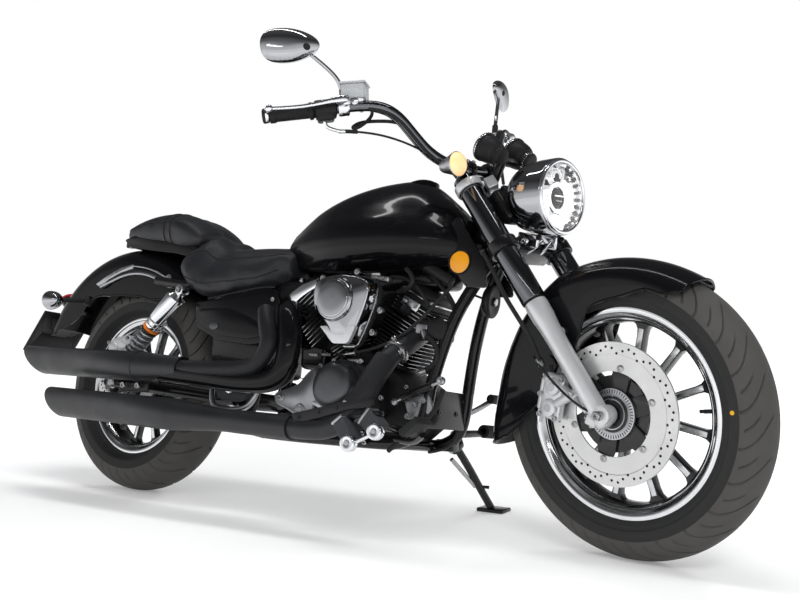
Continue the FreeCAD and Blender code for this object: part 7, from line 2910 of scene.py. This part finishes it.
    def build_pegs(self) -> None:
        """Rider pegs on the right and left, and the looped passenger pegs."""
        shaper = Shaper()
        for side in SIDES:
            inner, outer = Vector((1000, side * 116, 228)), Vector((1010, side * 246, 236))
            shaper.rod(inner, outer, 9.5, ink=1, soft=1)
            if side > 0:
                shaper.lathe(facing((0, 1, 0), (1016, 244, 242)), self.peg_profile(88), 0, 48, closed=False)
                shaper.lathe(
                    facing((0, 1, 0), (1016, 330, 242)), ((0, 6), (13, 5.6), (16.5, 3), (17, -1)), 2, 48, closed=False
                )
                continue
            self.add_slab(shaper, Vector((950, -276, 240)), Vector((988, -280, 194)), 30, 44)
            self.add_slab(shaper, Vector((1008, -262, 252)), Vector((1048, -272, 222)), 40, 40)
            shaper.rod((992, -292, 194), (1046, -286, 220), 4.5, ink=2)
            shaper.box((986, -262, 252), (110, 26, 12), turned((0, 1, 0), -10), 3, 1)
        for side in SIDES:
            shaper.rod((470, side * 118, 300), (470, side * 162, 300), 9, ink=1)
            loop = (
                (436, side * 168, 326), (442, side * 178, 276), (470, side * 182, 252), (530, side * 184, 250),
                (574, side * 182, 256), (596, side * 178, 282), (604, side * 168, 326),
            )
            shaper.tube(loop, 7, 3, 5, radii=(0.9, 1, 1.1, 1.2, 1.1, 1, 0.9))
            shaper.plate(
                ((458, 318), (464, 284), (486, 272), (548, 272), (576, 286), (584, 318)),
                *sorted((side * 168, side * 182)), None, 10, 4, 4,
            )
            shaper.rod((520, side * 166, 300), (520, side * 188, 300), 7, ink=2, soft=1)
            shaper.box((500, side * 184, 300), (34, 6, 10), turned((0, 1, 0), 20), 2, 2)
        set_down(
            "foot_pegs", shaper, Body.FRAME, (RUBBER, FRAME_PAINT, CHROME, SATIN, PEG_GREY),
            ("footpegs",),
        )

    @staticmethod
    def peg_profile(length: float) -> list[Point]:
        """A ribbed round peg's section.

        Args:
            length: The peg's length.

        Returns:
            Radius and height pairs.
        """
        rows: list[Point] = [(9, 0), (17, 1)]
        for step in range(int(length // 8)):
            z = 3 + step * 8
            rows += [(17.4, z), (17.4, z + 4.4), (15.4, z + 5.4), (15.4, z + 7)]
        return rows + [(17.4, length), (9, length)]

    @staticmethod
    def add_slab(shaper: Shaper, top: Vector, foot: Vector, wide: float, deep: float) -> None:
        """A rubber foot block with a bright top strip and a round bright end.

        Args:
            shaper: The shaper that holds the piece.
            top: The middle of its upper end.
            foot: The middle of its lower end.
            wide: Its width.
            deep: Its depth along Y.
        """
        line = (foot - top).normalized()
        out = LEFTWARD.cross(line).normalized()
        turn = Matrix((out, LEFTWARD, line)).transposed().to_4x4()
        middle = (top + foot) / 2
        length = (foot - top).length
        shaper.box(middle, (wide, deep, length), turn, 5, 4)
        shaper.box(top - line * 2, (wide + 2, deep + 1, 7), turn, 2, 3)
        face = foot + LEFTWARD * -(deep / 2 + 1)
        ring = ((0, 2), (6, 2), (7, 5), (14, 5.5), (17, 4), (18, 0), (18, -12), (0, -12))
        shaper.lathe(facing((0.15, -1, 0), face), ring, 2, 48, 0.5)
        shaper.lathe(facing((0.15, -1, 0), face), ((0, 6.5), (5.2, 6.2), (6.5, 2)), 3, 24, closed=False)

    def build_controls(self) -> None:
        """Brake pedal, shift lever and their rods."""
        shaper = Shaper()
        shaper.tube(
            ((985, -118, 208), (1020, -138, 204), (1060, -160, 205), (1090, -186, 212), (1112, -206, 222)), 7, 1, 4
        )
        shaper.box((1112, -236, 236), (50, 64, 16), turned((0, 1, 0), -38), 4, 2)
        for step in range(4):
            shaper.box((1100 + step * 9, -236, 236 + step * 6.6), (4, 58, 6), turned((0, 1, 0), -38), 1, 2)
        start, end = Vector((971, -112, 293)), Vector((1090, -112, 343))
        line = (end - start).normalized()
        shaper.rod(start, end, 4, ink=0)
        shaper.rod(start + line * 22, start + line * 106, 9, ink=1, soft=2)
        shaper.ball(end + line * 4, (10, 9, 10), None, 0, 24)
        shaper.nut(end + line * 4 + Vector((0, -8, 0)), (0, -1, 0), 6, 5, 0)
        shaper.ball(start, (9, 8, 9), None, 0, 24)
        for spot in ((1046, -104, 300), (1010, -110, 262), (1022, -106, 290)):
            shaper.bolt(spot, (0, -1, 0), 7, 6, 0)
        shaper.box((1030, -98, 288), (70, 10, 52), turned((0, 1, 0), -20), 6, 3)
        shaper.tube(((960, 118, 262), (985, 150, 272), (1010, 180, 285), (1040, 194, 306), (1062, 200, 322)), 7, 0, 4)
        shaper.rod((1062, 186, 324), (1062, 252, 324), 12, ink=2, soft=2)
        shaper.rod((960, 122, 250), (1060, 196, 316), 3.6, ink=0)
        set_down(
            "foot_levers", shaper, Body.FRAME, (SATIN, FRAME_PAINT, RUBBER, CASE_SILVER),
            ("foot_controls",),
        )

    def build_horn(self) -> None:
        """The horn on its bracket."""
        shaper = Shaper()
        place = facing((0.98, 0.1, -0.1), (1128, 10, 545))
        shell = ((0, 26), (10, 26), (12, 22), (30, 24), (38, 22), (39.5, 17), (38, 10), (30, 2), (0, 0))
        shaper.lathe(place, [along(shell, step / 40) for step in range(41)], 0, 64, closed=False)
        shaper.lathe(place, ((0, 29), (8, 28.5), (10, 25)), 1, 32, closed=False)
        shaper.box((1120, 14, 552), (50, 20, 5), turned((0, 1, 0), 20), 1, 0)
        set_down("horn_shell", shaper, Body.FRAME, (TRIM_BLACK, STEEL), ("horn",))

    def build_stand(self) -> None:
        """The side stand as it rests on the ground, drawn where it stands."""
        shaper = Shaper()
        upright = STANCE.of(Body.FRAME)
        back = upright.inverted()
        axis = Vector((0.10, 0.82, 0.56)).normalized()
        pivot = Vector((985, 158, 200))
        world = upright @ pivot
        ground = Vector((world.x + 0.042, world.y + 0.118, 0.0))
        knee = world + (ground - world) * 0.3 + Vector((0, 0.006, 0))
        top = back @ (ground + Vector((0, 0, 0.0052)))
        shaper.lathe(facing(axis, pivot - axis * 14), ((8.2, 0), (17, 0), (17, 28), (8.2, 28), (8.2, 0)), 0, 48, 1.5)
        middle = back @ (knee + (ground - knee) * 0.5)
        shaper.tube((pivot + (back @ knee - pivot) * 0.1, back @ knee, middle, top), 10, 0, 6)
        up = (back.to_3x3() @ Vector((0, 0, 1))).normalized()
        ahead = (back.to_3x3() @ Vector((1, 0, 0))).normalized()
        left = up.cross(ahead)
        turn = Matrix((ahead, left, up)).transposed().to_4x4()
        foot = back @ (ground + Vector((0, 0.008, 0.005)))
        shaper.box(foot, (76, 52, 9.6), turn, 3, 0)
        lug = back @ (knee + (ground - knee) * 0.45)
        shaper.rod(lug, lug + Vector((22, 14, 0)), 4, ink=0)
        spring_foot = pivot + Vector((-6, -6, -34))
        shaper.rod(lug + Vector((-8, -6, 0)), spring_foot, 5.5, ink=1, steps=16)
        set_down("side_stand_leg", shaper, Body.SIDE_STAND, (FRAME_PAINT, STEEL), ("side_stand",))


PEG_GREY = Finish(
    "peg_rubber", (0.035, 0.036, 0.04), (0.05, 0.051, 0.056), rough=(0.5, 0.62), grain=900, depth=0.08
)


def add_clutch_cable() -> None:
    """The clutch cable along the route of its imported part."""
    shaper = Shaper()
    route = (
        (1098, -96, 566), (1062, -104, 524), (1024, -112, 482), (988, -118, 450), (944, -124, 426), (896, -125, 410),
        (824, -125, 401),
    )
    shaper.tube(route, 4, 0, 4)
    shaper.rod((858, -125, 404), (822, -125, 400), 5.2, ink=1, soft=0.5)
    set_down("clutch_cable_run", shaper, Body.FRAME, (RUBBER, STEEL), ("clutch_cable",))


# ---- the set ----------------------------------------------------------------------------------------------


class Studio:
    """The pale floor, the soft lamps and the camera."""

    CAMERA_PLACE = Vector((2110.9, -1799.6, 223.6))
    CAMERA_AHEAD = Vector((-0.5552, 0.8182, 0.1495))
    CAMERA_ROLL = 0.0717

    def build(self) -> None:
        """Makes all of it and sets the view transform."""
        bpy.context.scene.view_settings.view_transform = "Standard"
        self.add_world()
        self.add_floor()
        for name, spot, target, size, power, mirrored in LAMPS:
            self.add_lamp(name, Vector(spot), Vector(target), size, power, mirrored)
        self.add_camera()

    def add_world(self) -> None:
        """A plain grey level; what metal and glass mirror is pale near the horizon and darker overhead."""
        world = bpy.data.worlds.new("studio")
        world.use_nodes = True
        bpy.context.scene.world = world
        nodes = Nodes(world.node_tree)
        out = nodes.add("ShaderNodeOutputWorld")
        light = nodes.add("ShaderNodeLightPath")
        place = nodes.add("ShaderNodeTexCoord")
        split = nodes.add("ShaderNodeSeparateXYZ")
        ramp = nodes.add("ShaderNodeValToRGB")
        room = nodes.add("ShaderNodeBackground")
        mirrored = nodes.add("ShaderNodeBackground")
        seen = nodes.add("ShaderNodeBackground")
        first, second = nodes.add("ShaderNodeMixShader"), nodes.add("ShaderNodeMixShader")
        either = nodes.add("ShaderNodeMath", operation="MAXIMUM")
        nodes.link(place.outputs["Generated"], split.inputs["Vector"])
        nodes.link(split.outputs["Z"], ramp.inputs["Fac"])
        bands = ((0.0, 0.95), (0.16, 0.8), (0.34, 0.2), (0.6, 0.05), (1.0, 0.12))
        for index, (place_on, level) in enumerate(bands):
            stop = ramp.color_ramp.elements[index] if index < 2 else ramp.color_ramp.elements.new(place_on)
            stop.position = place_on
            stop.color = (level, level, level * 1.02, 1.0)
        room.inputs["Color"].default_value = (0.45, 0.455, 0.465, 1.0)
        seen.inputs["Color"].default_value = (1.0, 1.0, 1.0, 1.0)
        nodes.link(ramp.outputs["Color"], mirrored.inputs["Color"])
        nodes.link(light.outputs["Is Glossy Ray"], first.inputs[0])
        nodes.link(room.outputs[0], first.inputs[1])
        nodes.link(mirrored.outputs[0], first.inputs[2])
        nodes.link(light.outputs["Is Camera Ray"], either.inputs[0])
        nodes.link(light.outputs["Is Transmission Ray"], either.inputs[1])
        nodes.link(either.outputs[0], second.inputs[0])
        nodes.link(first.outputs[0], second.inputs[1])
        nodes.link(seen.outputs[0], second.inputs[2])
        nodes.link(second.outputs[0], out.inputs["Surface"])

    def add_floor(self) -> None:
        """A wide pale floor that shows white and keeps the shadow."""
        shape = bmesh.new()
        bmesh.ops.create_grid(shape, x_segments=1, y_segments=1, size=40)
        mesh = bpy.data.meshes.new("studio_floor")
        shape.to_mesh(mesh)
        shape.free()
        floor = bpy.data.objects.new("studio_floor", mesh)
        bpy.context.scene.collection.objects.link(floor)
        made = bpy.data.materials.new("studio_floor")
        made.use_nodes = True
        nodes = Nodes(made.node_tree)
        out = nodes.add("ShaderNodeOutputMaterial")
        light = nodes.add("ShaderNodeLightPath")
        card = nodes.add("ShaderNodeBsdfPrincipled")
        card.inputs["Base Color"].default_value = (0.78, 0.78, 0.78, 1.0)
        card.inputs["Roughness"].default_value = 0.9
        card.inputs["Specular IOR Level"].default_value = 0.0
        lit = nodes.add("ShaderNodeEmission")
        lit.inputs["Color"].default_value = (1.0, 1.0, 1.0, 1.0)
        total = nodes.add("ShaderNodeAddShader")
        mix = nodes.add("ShaderNodeMixShader")
        shown = nodes.add("ShaderNodeMath", operation="MAXIMUM")
        also = nodes.add("ShaderNodeMath", operation="MAXIMUM")
        place, distance = nodes.add("ShaderNodeTexCoord"), nodes.add("ShaderNodeVectorMath", operation="LENGTH")
        spread = nodes.add("ShaderNodeMapRange")
        for socket, number in (("From Min", 1.2), ("From Max", 4.5), ("To Min", 0.22), ("To Max", 0.85)):
            spread.inputs[socket].default_value = number
        nodes.link(place.outputs["Object"], distance.inputs[0])
        nodes.link(distance.outputs["Value"], spread.inputs["Value"])
        nodes.link(spread.outputs["Result"], lit.inputs["Strength"])
        nodes.link(light.outputs["Is Camera Ray"], shown.inputs[0])
        nodes.link(light.outputs["Is Glossy Ray"], shown.inputs[1])
        nodes.link(shown.outputs[0], also.inputs[0])
        nodes.link(light.outputs["Is Transmission Ray"], also.inputs[1])
        nodes.link(card.outputs[0], total.inputs[0])
        nodes.link(lit.outputs[0], total.inputs[1])
        nodes.link(also.outputs[0], mix.inputs[0])
        nodes.link(card.outputs[0], mix.inputs[1])
        nodes.link(total.outputs[0], mix.inputs[2])
        nodes.link(mix.outputs[0], out.inputs["Surface"])
        mesh.materials.append(made)

    def add_lamp(
        self, name: str, spot: Vector, target: Vector, size: Point, power: float, mirrored: bool
    ) -> None:
        """A soft rectangular lamp.

        Args:
            name: Its name.
            spot: Where it stands, in metres.
            target: What it points at.
            size: Its length and width.
            power: In watts.
            mirrored: Whether shiny surfaces show it.
        """
        lamp = bpy.data.lights.new(name, "AREA")
        lamp.shape = "RECTANGLE"
        lamp.size, lamp.size_y = size
        lamp.energy = power
        holder = bpy.data.objects.new(name, lamp)
        holder.location = spot
        holder.rotation_euler = (target - spot).to_track_quat("-Z", "Y").to_euler()
        holder.visible_glossy = mirrored
        bpy.context.scene.collection.objects.link(holder)

    def add_camera(self) -> None:
        """The camera at the measured viewing angle, given in the bike's frame."""
        lens = bpy.data.cameras.new("camera")
        lens.lens = 39.357
        lens.sensor_width = 36.0
        lens.clip_start, lens.clip_end = 0.05, 200.0
        camera = bpy.data.objects.new("camera", lens)
        bpy.context.scene.collection.objects.link(camera)
        back = -self.CAMERA_AHEAD.normalized()
        across = Vector((0, 0, 1)).cross(back).normalized()
        upward = back.cross(across)
        turn = Matrix((across, upward, back)).transposed().to_4x4()
        roll = Matrix.Rotation(self.CAMERA_ROLL, 4, "Z")
        stand = STANCE.of(Body.FRAME)
        place = stand @ Matrix.Translation(self.CAMERA_PLACE) @ turn
        spot = place.to_translation()
        camera.matrix_world = Matrix.Translation(spot) @ place.to_quaternion().to_matrix().to_4x4() @ roll
        bpy.context.scene.camera = camera


LAMPS = (
    ("key_softbox", (2.6, -2.6, 2.6), (0.2, 0.0, 0.5), (1.6, 1.0), 49.0, False),
    ("key_strip", (2.0, -3.4, 1.9), (0.2, 0.0, 0.5), (2.6, 0.08), 5.0, True),
    ("top_strip", (0.1, -0.3, 3.0), (0.1, 0.0, 0.5), (3.0, 0.09), 12.0, True),
    ("top_panel", (0.1, -0.3, 3.05), (0.1, 0.0, 0.5), (3.0, 0.6), 30.0, False),
    ("side_fill", (-1.6, -3.2, 1.5), (0.0, 0.0, 0.4), (1.6, 1.2), 20.0, False),
    ("far_rim", (0.8, 3.2, 2.2), (0.0, 0.0, 0.6), (2.4, 0.9), 58.0, False),
)


def main() -> None:
    """Builds the whole bike and its studio."""
    logging.basicConfig(level=logging.INFO, format="%(message)s")
    random.seed(7)
    assemblies = [
        Wheel(
            "front", Body.FRONT_WHEEL, FRONT_AXLE, bead=203.5, flange=217, rim_half=41, tyre_half=55, hub_half=62,
            hub_radius=38, disc_radius=146, disc_offset=70, disc_inner=86, pitches=24,
        ),
        Wheel(
            "rear", Body.REAR_WHEEL, REAR_AXLE, bead=191, flange=203.5, rim_half=49, tyre_half=75, hub_half=78,
            hub_radius=46, disc_radius=120, disc_offset=92, disc_inner=74, pitches=22,
        ),
        Tank(),
        FrontFender(
            "front_mudguard", Body.STEERING, Vector((1482, 0, 267)), radius=355, half=71, brow=52, span=(57.2, 189.5),
            tip_lead=0.5, edge=FRONT_EDGE, node="front_fender", tail_lead=3.5, nose=FRONT_NOSE, crest=FRONT_CREST,
        ),
        Fender(
            "rear_mudguard", Body.FRAME, Vector((-69, 0, 336)), radius=396, half=93, brow=70, span=(46.0, 158.0),
            tip_lead=0.0, edge=REAR_EDGE, node="rear_fender",
        ),
        RIDER_SEAT,
        PILLION_SEAT,
        RearBody(),
        Fork(),
        Headlamp(),
        Cockpit(),
        Engine(),
        Exhaust(),
        Chassis(),
    ]
    for assembly in assemblies:
        assembly.build()
    add_clutch_cable()
    Studio().build()


if __name__ == "__main__":
    main()
